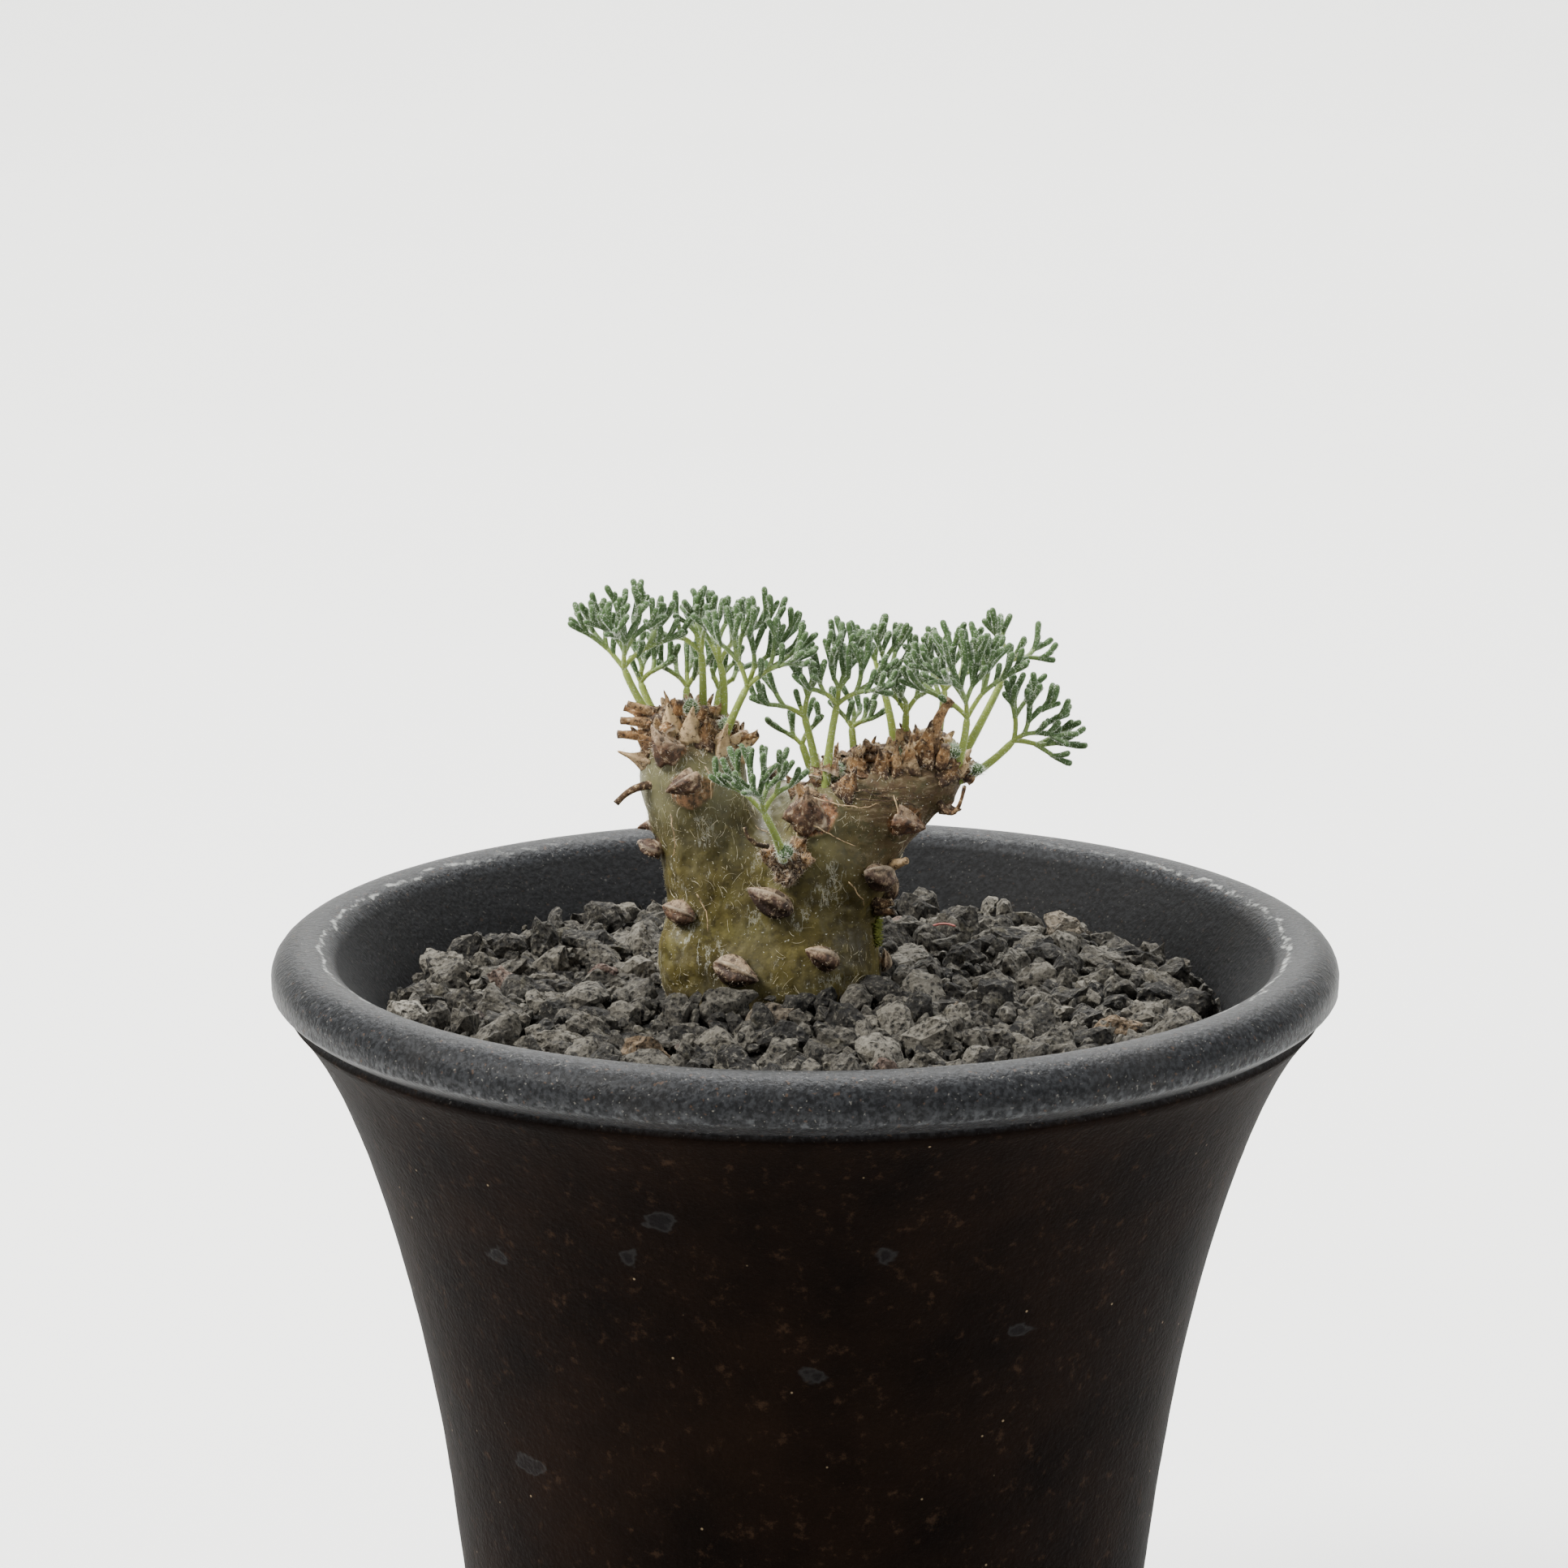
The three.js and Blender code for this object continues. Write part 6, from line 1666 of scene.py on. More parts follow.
def crowns_on(stem: Caudex) -> list[Crown]:
    """The four crowns: three branch tips and the small bud low on the front."""
    left = (
        DryTip((-13.0, 2.6, 112.6), (-1.0, -0.5, 0.7), 1.4, 2.4, (-0.2, 0, 0.8)),
        DryTip((-12.8, 2.6, 111.6), (-1.0, -0.3, 0.3), 1.6, 2.0, (-0.4, 0, 0.4)),
        DryTip((-12.8, 3.6, 112.4), (-1.0, 0.4, 0.8), 1.3, 2.2, (0, 0, 0.6)),
        DryTip((-12.2, 2.6, 113.4), (-0.3, -0.7, 1.0), 1.8, 2.6, (0.2, 0, 0.9)),
        DryTip((-11.2, 2.8, 112.6), (0.0, -0.75, 1.0), 1.9, 2.4, (0.3, 0, 0.8)),
        DryTip((-10.0, 2.8, 112.2), (0.1, -0.75, 1.0), 1.3, 2.6, (0, 0, 0.7)),
        DryTip((-9.0, 2.8, 111.8), (0.3, -0.8, 1.0), 1.5, 2.4, (0.2, 0, 0.8)),
        DryTip((-8.6, 3.2, 111.4), (0.85, -0.6, 0.9), 1.8, 2.2, (0.6, 0, 0.8)),
        DryTip((-8.6, 4.2, 111.6), (0.8, 0.8, 1.0), 1.4, 2.4, (0.1, 0, 0.6)),
        DryTip((-10.4, 4.4, 112.4), (0.0, 1.0, 0.9), 1.6, 2.8, (0, 0.1, 0.8)),
        DryTip((-12.2, 4.0, 112.8), (-0.6, 1.0, 0.9), 1.5, 2.6, (-0.1, 0, 0.7)),
    )
    middle = (
        DryTip((1.8, 2.0, 107.4), (-0.8, -0.7, 0.8), 1.2, 2.2, (-0.1, 0, 0.8)),
        DryTip((3.0, 2.0, 107.4), (0.4, -0.8, 1.0), 1.5, 2.6, (0.3, 0, 0.9)),
        DryTip((2.6, 3.0, 107.6), (0.3, 1.0, 0.9), 1.2, 2.4, (0, 0, 0.6)),
        DryTip((1.6, 2.6, 107.4), (-1.0, 0.5, 0.7), 1.1, 2.2, (0, 0, 0.6)),
    )
    right = (
        DryTip((6.4, 3.4, 107.8), (-0.3, -0.6, 1.0), 1.3, 2.4, (0, 0, 0.7)),
        DryTip((7.6, 3.2, 108.4), (-0.05, -0.7, 1.0), 1.5, 2.4, (-0.1, 0, 0.8)),
        DryTip((8.9, 3.2, 109.0), (0.0, -0.75, 1.0), 1.6, 2.2, (0.1, 0, 0.8)),
        DryTip((10.2, 3.2, 109.6), (0.0, -0.75, 1.0), 1.9, 2.4, (0.2, 0, 1.0)),
        DryTip((11.4, 3.2, 110.2), (0.1, -0.6, 1.0), 2.6, 2.6, (0.4, 0, 1.2)),
        DryTip((12.2, 3.2, 109.8), (0.7, -0.8, 0.6), 1.0, 2.4, (0.2, 0, 0.5)),
        DryTip((12.4, 3.6, 109.6), (1.0, 0.3, 0.4), 1.2, 2.4, (0.3, 0, 0.3)),
        DryTip((11.6, 4.2, 110.0), (0.4, 1.0, 0.9), 1.5, 2.6, (0.1, 0, 0.7)),
        DryTip((9.4, 4.4, 109.0), (0.0, 1.0, 0.9), 1.5, 2.6, (0, 0, 0.7)),
        DryTip((7.2, 4.4, 108.2), (-0.3, 1.0, 0.8), 1.4, 2.4, (-0.1, 0, 0.6)),
    )
    bud = (
        DryTip((-3.4, -1.0, 103.4), (-0.4, -0.9, 0.3), 0.7, 2.0, (-0.3, 0, 0.5)),
        DryTip((-0.6, -1.0, 103.2), (0.4, -0.9, 0.1), 0.7, 2.0, (0.4, 0, 0.2)),
        DryTip((-2.0, -1.0, 102.2), (-0.1, -1.0, -0.2), 0.6, 2.0, (0, 0, -0.3)),
        DryTip((-0.8, -1.0, 104.2), (0.3, -0.9, 0.5), 0.6, 1.8, (0.3, 0, 0.4)),
    )
    return [
        Crown("crown_left", stem, ((-13.5, 2.8, 117.0, 3.0), (-10.6, 4.5, 116.8, 3.4),
                                   (-7.6, 3.3, 114.8, 2.6)), left, 60, 301),
        Crown("crown_middle", stem, ((2.3, 2.3, 111.2, 2.1), (3.7, 2.4, 110.8, 2.3)), middle, 24, 302,
              shade=0.10),
        Crown("crown_right", stem, ((7.6, 3.8, 111.6, 2.8), (10.9, 3.4, 113.2, 2.9),
                                    (14.2, 3.4, 112.6, 3.0)), right, 56, 303),
        Crown("bud_front", stem, ((-2.1, -3.7, 103.4, 2.2),), bud, 22, 304, thickness=1.4, shade=0.34),
    ]


# Leaves


@dataclass(eq=False)
class Shoot:
    """One straight shoot from a to b. Its level is 0 on a stalk and rises from the arms to the lobes."""

    a: Array
    b: Array
    radius: float
    level: int = 0
    tip_radius: float | None = None
    children: list[Shoot] = field(default_factory=list)
    parent: Shoot | None = None

    def axis(self) -> Array:
        """Its direction."""
        return made_unit(self.b - self.a)


@dataclass(frozen=True)
class LeafPlan:
    """A leaf: a stalk from foot past bend to fork, then a fan of arms round the lean direction.

    Reach is from the fork to the furthest tips, spread half the fan's angle and turn the fan's own
    turn, in degrees. A full leaf forks twice. Seed picks its small unevenness.
    """

    name: str
    foot: Place
    bend: Place
    fork: Place
    lean: Place
    reach: float
    spread: float
    turn: float
    seed: int
    full: bool
    twigs: int
    lobes: int

    def curve(self, share: Array, beyond: Array | float = 0.0) -> Array:
        """The stalk's line at shares of its way, to a place beyond the fork, shape (1, r, 3)."""
        foot, bend, fork = (np.array([spot], float) for spot in (self.foot, self.bend, self.fork))
        return bent_paths(foot, bend, fork + beyond, share)


PLANS = (
    LeafPlan("leaf_left_1", (-13.6, 2.6, 114.4), (-16.4, 2.0, 118.0), (-17.7, 1.5, 121.7),
             (0.05, -0.05, 1.0), 8.1, 46, 0, 34, True, 3, 3),
    LeafPlan("leaf_left_2", (-13.4, 4.6, 113.8), (-15.4, 5.4, 117.0), (-16.2, 6.0, 119.3),
             (0.2, 0.35, 1.0), 4.2, 34, 15, 41, False, 2, 2),
    LeafPlan("leaf_left_3", (-11.6, 5.6, 113.6), (-11.9, 7.2, 116.4), (-11.7, 8.4, 118.3),
             (0.0, 0.5, 1.0), 4.6, 34, 0, 41, False, 2, 2),
    LeafPlan("leaf_left_4", (-10.2, 4.0, 114.0), (-9.9, 4.6, 119.0), (-10.2, 4.4, 122.6),
             (-0.38, -0.1, 1.0), 5.9, 30, -20, 61, False, 2, 3),
    LeafPlan("leaf_left_5", (-8.9, 3.4, 112.6), (-7.3, 3.4, 118.0), (-8.4, 4.4, 121.6),
             (-0.02, 0.5, 1.0), 6.6, 30, 10, 48, False, 3, 2),
    LeafPlan("leaf_left_6", (-8.8, 2.0, 112.4), (-7.2, 0.2, 117.2), (-5.7, -0.3, 120.2),
             (0.3, -0.1, 1.0), 9.0, 34, 0, 89, True, 3, 3),
    LeafPlan("leaf_left_7", (-9.6, 5.4, 112.4), (-8.8, 8.0, 116.0), (-8.5, 9.0, 117.9),
             (0.25, 0.45, 1.0), 4.6, 34, 0, 60, False, 2, 2),
    LeafPlan("leaf_middle_1", (1.4, 1.8, 109.4), (0.9, 1.7, 113.4), (-0.1, 1.5, 116.9),
             (-0.42, -0.05, 1.0), 5.8, 36, 0, 33, True, 3, 3),
    LeafPlan("leaf_middle_2", (2.0, 0.9, 109.4), (2.2, 0.3, 114.2), (3.1, 0.0, 118.4),
             (0.1, -0.1, 1.0), 7.6, 46, 0, 55, True, 3, 3),
    LeafPlan("leaf_middle_3", (1.3, 3.6, 109.2), (0.2, 4.1, 111.8), (-0.3, 4.4, 113.4),
             (-0.3, 0.2, 1.0), 3.8, 34, 0, 52, False, 2, 2),
    LeafPlan("leaf_middle_4", (5.2, 5.4, 110.0), (4.7, 6.8, 112.6), (4.6, 7.2, 114.5),
             (0.25, 0.45, 1.0), 3.8, 40, 0, 39, False, 2, 2),
    LeafPlan("leaf_right_1", (9.7, 4.0, 111.0), (9.8, 4.2, 114.2), (9.9, 3.6, 116.8),
             (-0.05, -0.15, 1.0), 4.7, 34, 0, 84, False, 3, 3),
    LeafPlan("leaf_right_2", (14.4, 2.4, 110.2), (15.6, 1.2, 113.6), (15.8, 0.8, 116.9),
             (-0.12, -0.1, 1.0), 9.4, 42, 0, 66, True, 3, 3),
    LeafPlan("leaf_right_3", (14.3, 4.8, 110.2), (17.2, 6.0, 114.6), (20.3, 6.8, 121.4),
             (0.5, 0.2, 1.0), 5.0, 52, 0, 58, True, 3, 3),
    LeafPlan("leaf_right_4", (14.2, 3.2, 109.8), (17.4, 2.8, 110.8), (20.4, 2.3, 114.3),
             (1.0, -0.1, 0.8), 6.6, 46, 0, 40, True, 3, 3),
    LeafPlan("leaf_right_5", (9.0, 5.6, 110.2), (8.8, 6.8, 115.4), (7.4, 7.2, 119.3),
             (0.15, 0.1, 1.0), 5.4, 28, 0, 26, False, 2, 2),
    LeafPlan("leaf_right_6", (12.6, 5.4, 110.8), (13.4, 8.4, 114.6), (13.8, 9.6, 117.8),
             (0.1, 0.5, 1.0), 6.0, 40, 0, 11, False, 2, 3),
    LeafPlan("leaf_front", (-2.1, -3.4, 103.6), (-2.6, -5.8, 106.4), (-4.0, -6.2, 109.0),
             (-0.16, -0.25, 1.0), 7.2, 40, 0, 26, True, 2, 3),
)


def jitter(seed: int, index: int) -> float:
    """Repeatable noise in -0.5 to 0.5: the part of a large sine behind the point."""
    wave = math.sin(seed * 12.9898 + index * 78.233) * 43758.5453
    return wave - math.floor(wave) - 0.5


def turned(vector: Array, axis: Array, degrees: float) -> Array:
    """A direction turned about a unit axis."""
    angle = math.radians(degrees)
    along = axis * float(np.dot(axis, vector)) * (1.0 - math.cos(angle))
    return vector * math.cos(angle) + np.cross(axis, vector) * math.sin(angle) + along


def shoot_gaps(one: Shoot, others: list[Shoot]) -> Array:
    """Least clear space between a shoot and each of the others, from seven places along it.

    Formula: the distance from a place to the nearest place of the other's middle line, less both
    radii, where the other's radius may taper to its tip.
    """
    a = np.array([other.a for other in others])
    along = np.array([other.b for other in others]) - a
    radius = np.array([other.radius for other in others])
    tip = np.array([other.radius if other.tip_radius is None else other.tip_radius for other in others])
    places = one.a + np.linspace(0.0, 1.0, 7)[:, None, None] * (one.b - one.a)
    t = np.clip(np.sum((places - a) * along, -1) / np.sum(along * along, -1), 0.0, 1.0)
    away = np.linalg.norm(places - a - t[..., None] * along, axis=-1)
    return (away - one.radius - radius - (tip - radius) * t).min(axis=0)


@dataclass
class LeafGrower:
    """Grows the leaves' shoots by the same rule as the solids, so that both have the same form."""

    stem: Caudex
    crowns: list[Crown]
    stalk_radius: float = 0.56
    arm_radius: float = 0.46
    twig_radius: float = 0.42
    lobe_radius: float = 0.44
    small_reach: float = 4.5
    closest_siblings: float = 0.88
    sibling_room: float = 2.5
    young_thickness: float = 0.92
    arm_share: float = 0.34
    rachis_share: float = 0.2
    upper_arm_share: float = 0.2
    twig_share: float = 0.27
    lobe_share: float = 0.32
    twig_spread: float = 34.0
    lobe_spread: float = 24.0
    upward: float = 0.22
    clearance: float = 0.32
    own_clearance: float = 0.08
    stem_clearance: float = 0.3

    def stalk(self, plan: LeafPlan) -> list[Shoot]:
        """The stalk's shoots, along a curve of second degree."""
        steps = 3 if plan.reach > self.small_reach else 2
        points = plan.curve(np.linspace(0.0, 1.0, steps + 1))[0]
        return [Shoot(a, b, self.stalk_radius) for a, b in zip(points, points[1:])]

    def is_crowding(self, one: Shoot, other: Shoot) -> bool:
        """Whether two shoots of one fork stand too close for their skins to part cleanly."""
        apart = float(np.linalg.norm(one.b - other.b))
        alike = float(one.axis() @ other.axis()) > self.closest_siblings
        return alike or apart < self.sibling_room * one.radius

    def is_clear(self, candidate: Shoot, parent: Shoot, own: list[Shoot], others: list[Shoot]) -> bool:
        """Whether a new shoot keeps clear of the stem, its siblings and all other shoots."""
        middle = 0.5 * (candidate.a + candidate.b)
        tip = candidate.b + candidate.radius * candidate.axis()
        room = 0.3 + 0.75 + self.stem_clearance + candidate.radius
        if np.any(self.stem.distance(np.array([middle, candidate.b, tip])) < room):
            return False
        if any(self.is_crowding(candidate, sibling) for sibling in parent.children):
            return False
        far = [other for other in own if other is not parent and other not in parent.children]
        if far and np.any(shoot_gaps(candidate, far) <= self.own_clearance):
            return False
        return not np.any(shoot_gaps(candidate, others) <= self.clearance)

    def add(self, parent: Shoot, direction: Array, length: float, radius: float,
            own: list[Shoot], others: list[Shoot]) -> Shoot | None:
        """A child shoot in a direction, or turned round its parent until it is clear of the others."""
        for turn in (0, 30, -30, 60, -60, 90, -90, 130, -130, 180):
            for share in (1.0, 0.75):
                axis = turned(direction, parent.axis(), turn)
                end = parent.b + axis * length * share
                candidate = Shoot(parent.b, end, radius, parent.level + 1, parent=parent)
                if self.is_clear(candidate, parent, own, others):
                    parent.children.append(candidate)
                    own.append(candidate)
                    return candidate
        return None

    def fork_directions(self, axis: Array, side: Array, count: int, spread: float,
                        seed: int) -> list[Array]:
        """Directions of up to three children: left, right, and a middle one that tips out of the fan."""
        front = np.cross(side, axis)
        tip = (0.5 if seed % 2 == 0 else -0.5) * spread
        plan = ((-spread, -0.3 * tip), (spread, -0.3 * tip), (0.0, tip))
        made = []
        for i, (swing, tipping) in enumerate(plan[:count]):
            swung = math.radians(swing + 10 * jitter(seed, i))
            tipped = math.radians(tipping + 10 * jitter(seed, i + 40))
            fanned = axis * math.cos(swung) + side * math.sin(swung)
            made.append(made_unit(fanned * math.cos(tipped) + front * math.sin(tipped)))
        return made

    def grow(self, plan: LeafPlan, stalk: list[Shoot], others: list[Shoot]) -> list[Shoot]:
        """All the shoots of one leaf: stalk, arms, twigs and lobes."""
        own = list(stalk)
        for lower, upper in zip(own, own[1:]):
            lower.children.append(upper)
            upper.parent = lower
        top = own[-1]
        lean = made_unit(np.array(plan.lean))
        side = turned(made_unit(np.cross((0.0, 1.0, 0.0), lean)), lean, plan.turn)
        thickness = 1.0 if plan.reach > self.small_reach else self.young_thickness
        middle_share = self.rachis_share if plan.full else self.arm_share

        def new(parent: Shoot, aim: Array, share: float, radius: float, number: int) -> Shoot | None:
            length = plan.reach * share * (1.0 + 0.3 * jitter(plan.seed, number))
            return self.add(parent, aim, length, radius * thickness, own, others)

        arms = []

        def new_arms(parent: Shoot, share: float, spread: float, number: int) -> None:
            aims = self.fork_directions(lean, side, 3, spread, plan.seed + number)
            for i, aim in enumerate(aims):
                own_share = middle_share if i == 2 and parent is top else share
                arms.append(new(parent, aim, own_share, self.arm_radius, number + i))

        new_arms(top, self.arm_share, plan.spread, 10)
        if plan.full and arms[2] is not None:
            new_arms(arms.pop(), self.upper_arm_share, plan.spread * 0.62, 20)
        for i, arm in enumerate(arms):
            if arm is None:
                continue
            level = made_unit(np.cross(arm.axis(), np.cross(side, arm.axis())))
            arm_side = turned(level, arm.axis(), 40 - 80 * (i % 2))
            number = plan.seed + 7 * i + 3
            aims = self.fork_directions(arm.axis(), arm_side, plan.twigs, self.twig_spread, number)
            for j, aim in enumerate(aims):
                bent = made_unit(aim + self.upward * lean)
                twig = new(arm, bent, self.twig_share, self.twig_radius, 30 + 4 * i + j)
                if twig is None:
                    continue
                twig_side = made_unit(np.cross(arm_side, twig.axis()))
                lobe_aims = self.fork_directions(twig.axis(), twig_side, plan.lobes, self.lobe_spread,
                                                 number + 5 * j)
                for k, lobe_aim in enumerate(lobe_aims):
                    upturned = made_unit(lobe_aim + self.upward * lean)
                    new(twig, upturned, self.lobe_share, self.lobe_radius, 60 + 8 * i + 2 * j + k)
        return own

    def scale_shoots(self) -> list[Shoot]:
        """The crowns' scales as tapering shoots."""
        made = []
        for crown in self.crowns:
            for scale in crown.scales:
                aim = made_unit(np.array(scale.aim))
                seat = self.stem.seat(scale.at, scale.aim)
                rise = crown.gap + crown.lift * crown.thickness
                tip = seat + aim * (scale.length + rise) + np.array(scale.hook)
                made.append(Shoot(seat, tip, scale.width / 2, tip_radius=0.2))
        return made

    def grown(self) -> list[list[Shoot]]:
        """The shoots of every leaf, each leaf clear of the ones before it and of all stalks."""
        stalks = [self.stalk(plan) for plan in PLANS]
        scales = self.scale_shoots()
        made: list[list[Shoot]] = []
        for i, plan in enumerate(PLANS):
            others = scales + [shoot for own in made for shoot in own]
            others += [shoot for stalk in stalks[i + 1:] for shoot in stalk]
            made.append(self.grow(plan, stalks[i], others))
        return made


@dataclass
class LeafDresser:
    """Gives a leaf's shoots their real form: round woolly fingers that swell a little to a blunt tip."""

    stem: Caudex
    sides: int = 7
    radii: tuple[float, float, float, float] = (0.43, 0.29, 0.28, 0.32)
    flatness: float = 0.90

    def extra(self, own: list[Shoot], others: list[Shoot], seed: int, fullness: float) -> list[Shoot]:
        """More lobes than the solids carry: they stand off the arms, twigs and lobes to both sides.

        Args:
            own: The leaf's shoots.
            others: The shoots of all other leaves.
            seed: Start of the random draw.
            fullness: Share of the tries that may give a lobe.

        Returns:
            The new lobes that found room.
        """
        rng = np.random.default_rng(seed)
        made: list[Shoot] = []
        fork = [shoot for shoot in own if shoot.level == 0][-1].b
        lean = made_unit(np.mean([shoot.b for shoot in own if shoot.level > 0], axis=0) - fork)
        near = [other for other in others if np.linalg.norm(other.a - own[-1].b) < 14.0]
        for parent in [shoot for shoot in own if shoot.level > 0]:
            length = float(np.linalg.norm(parent.b - parent.a))
            axis = parent.axis()
            side = made_unit(np.cross(axis, rng.normal(size=3)))
            for spot in (0.60, 0.95) if parent.level < 3 else (0.5,):
                for _ in range(6):
                    way = turned(side, axis, rng.uniform(0.0, 360.0))
                    start = parent.a + (parent.b - parent.a) * spot
                    outward = made_unit(made_unit(start - fork) + 0.5 * lean + 0.6 * UP)
                    aim = made_unit(outward + rng.uniform(0.2, 0.85) * way)
                    reach = min(rng.uniform(1.5, 2.3), length + 0.6)
                    lobe = Shoot(start, start + reach * aim, 0.30, 3, parent=parent)
                    tail = Shoot(start + 0.55 * reach * aim, lobe.b + 0.2 * aim, 0.30)
                    rivals = [other for other in own + made + near if other is not parent]
                    if rng.uniform() > fullness or np.any(shoot_gaps(tail, rivals) < 0.03):
                        continue
                    if self.stem.distance(lobe.b[None])[0] < 1.6:
                        continue
                    made.append(lobe)
                    break
        return made

    def tubes_of(self, shoots: list[Shoot]) -> Skin:
        """The shoots as bent, tapering fingers.

        Formula: each leaves its parent along a direction between the parent's and its own, then
        bends to its own end. Its radius falls slowly, or on a lobe swells towards the tip, and it
        closes in a round end.
        """
        starts, bends, ends = [], [], []
        for shoot in shoots:
            length = float(np.linalg.norm(shoot.b - shoot.a))
            axis = shoot.axis()
            before = shoot.parent.axis() if shoot.parent is not None else axis
            leaving = made_unit(0.45 * before + axis)
            starts.append(shoot.a - 0.15 * axis)
            bends.append(shoot.a + 0.5 * length * leaving)
            ends.append(shoot.b + (0.10 * axis + 0.28 * UP if shoot.level == 3 else 0.16 * axis))
        share = np.array([0.0, 0.02, 0.24, 0.5, 0.74, 0.9, 0.972, 1.0])
        paths = bent_paths(np.array(starts), np.array(bends), np.array(ends), share)
        plain = np.array([1.0, 0.98, 0.96, 0.95, 0.94, 0.6])
        lobe = np.array([0.80, 0.86, 1.00, 1.14, 1.08, 0.70])
        level = np.array([shoot.level for shoot in shoots])
        radii = np.array(self.radii)[np.minimum(level, 3)]
        ring = radii[:, None] * np.where(level[:, None] == 3, lobe, plain)
        angle = round_angles(self.sides)
        circle = np.stack([np.cos(angle), self.flatness * np.sin(angle)], -1)
        skin = carried(paths, ring[..., None, None] * circle, side_lead(paths))
        skin.moved(0.035 * layered_noise(skin.points, 0.5, 71, 2))
        age = skin.spread(level / 3.0) - 0.33 * (1.0 - skin.marks.pop("along"))
        return skin.marked("age", np.clip(age, 0.0, 1.0))

    def stalk_skin(self, stalk: list[Shoot], plan: LeafPlan) -> Skin:
        """The stalk as one smooth bent tube whose foot stands in the crown."""
        share = np.concatenate([[0.0, 0.004], np.linspace(0.08, 0.97, 14), [1.0]])
        paths = plan.curve(share, 0.15 * stalk[-1].axis())
        rings = share[1:-1]
        radius = self.radii[0] * (1.16 - 0.30 * smooth_step(rings, 0.0, 0.8))
        radius = radius * (1.0 - 0.35 * smooth_step(rings, 0.93, 1.0))
        skin = tubes(paths, radius[None], 10)
        along = skin.marks.pop("along")
        return skin.marked("age", 0.22 * along)

    def dressed(self, grown: list[list[Shoot]]) -> list[Skin]:
        """The skin of each leaf."""
        made = []
        extras: list[Shoot] = []
        for i, (plan, own) in enumerate(zip(PLANS, grown)):
            others = [shoot for j, leaf in enumerate(grown) if j != i for shoot in leaf]
            fullness = 0.03 if plan.name == "leaf_front" else 0.5
            more = self.extra(own, others + extras, 500 + i, fullness)
            extras += more
            stalk = [shoot for shoot in own if shoot.level == 0]
            fan = [shoot for shoot in own if shoot.level > 0]
            made.append(joined_skins([self.stalk_skin(stalk, plan), self.tubes_of(fan + more)]))
        return made


def random_spots(skin: Skin, count: int, seed: int) -> tuple[Array, Array]:
    """Random places on a skin, with the way out of it there.

    Args:
        skin: The skin. Only its four-cornered faces are used.
        count: How many places.
        seed: Start of the random draw.

    Returns:
        Places and outward directions.
    """
    rng = np.random.default_rng(seed)
    quads = np.concatenate([face for face in skin.faces if face.shape[1] == 4])
    corners = skin.points[quads]
    normal = np.cross(corners[:, 2] - corners[:, 0], corners[:, 3] - corners[:, 1])
    area = np.linalg.norm(normal, axis=-1)
    pick = rng.choice(len(quads), count, p=area / area.sum())
    s, t = rng.uniform(size=(2, count, 1))
    low = corners[pick, 0] * (1 - s) + corners[pick, 1] * s
    high = corners[pick, 3] * (1 - s) + corners[pick, 2] * s
    return low * (1 - t) + high * t, made_unit(normal[pick])


@dataclass(frozen=True)
class Wool:
    """Short hairs that stand on a skin."""

    shortest: float
    longest: float
    radius: float
    tangle: float
    upward: float = 0.0

    def on(self, skin: Skin, count: int, seed: int) -> Skin:
        """Hairs on random places of a skin.

        Formula: a hair leaves along the way out of the skin plus a random direction and a share of
        up, and is between the shortest and the longest length.
        """
        rng = np.random.default_rng(seed + 1)
        spots, out = random_spots(skin, count, seed)
        lean = made_unit(out + self.tangle * rng.normal(size=out.shape) + self.upward * UP)
        length = rng.uniform(self.shortest, self.longest, (count, 1))
        return spikes(spots - 0.02 * out, spots + length * lean, self.radius)


# Small things


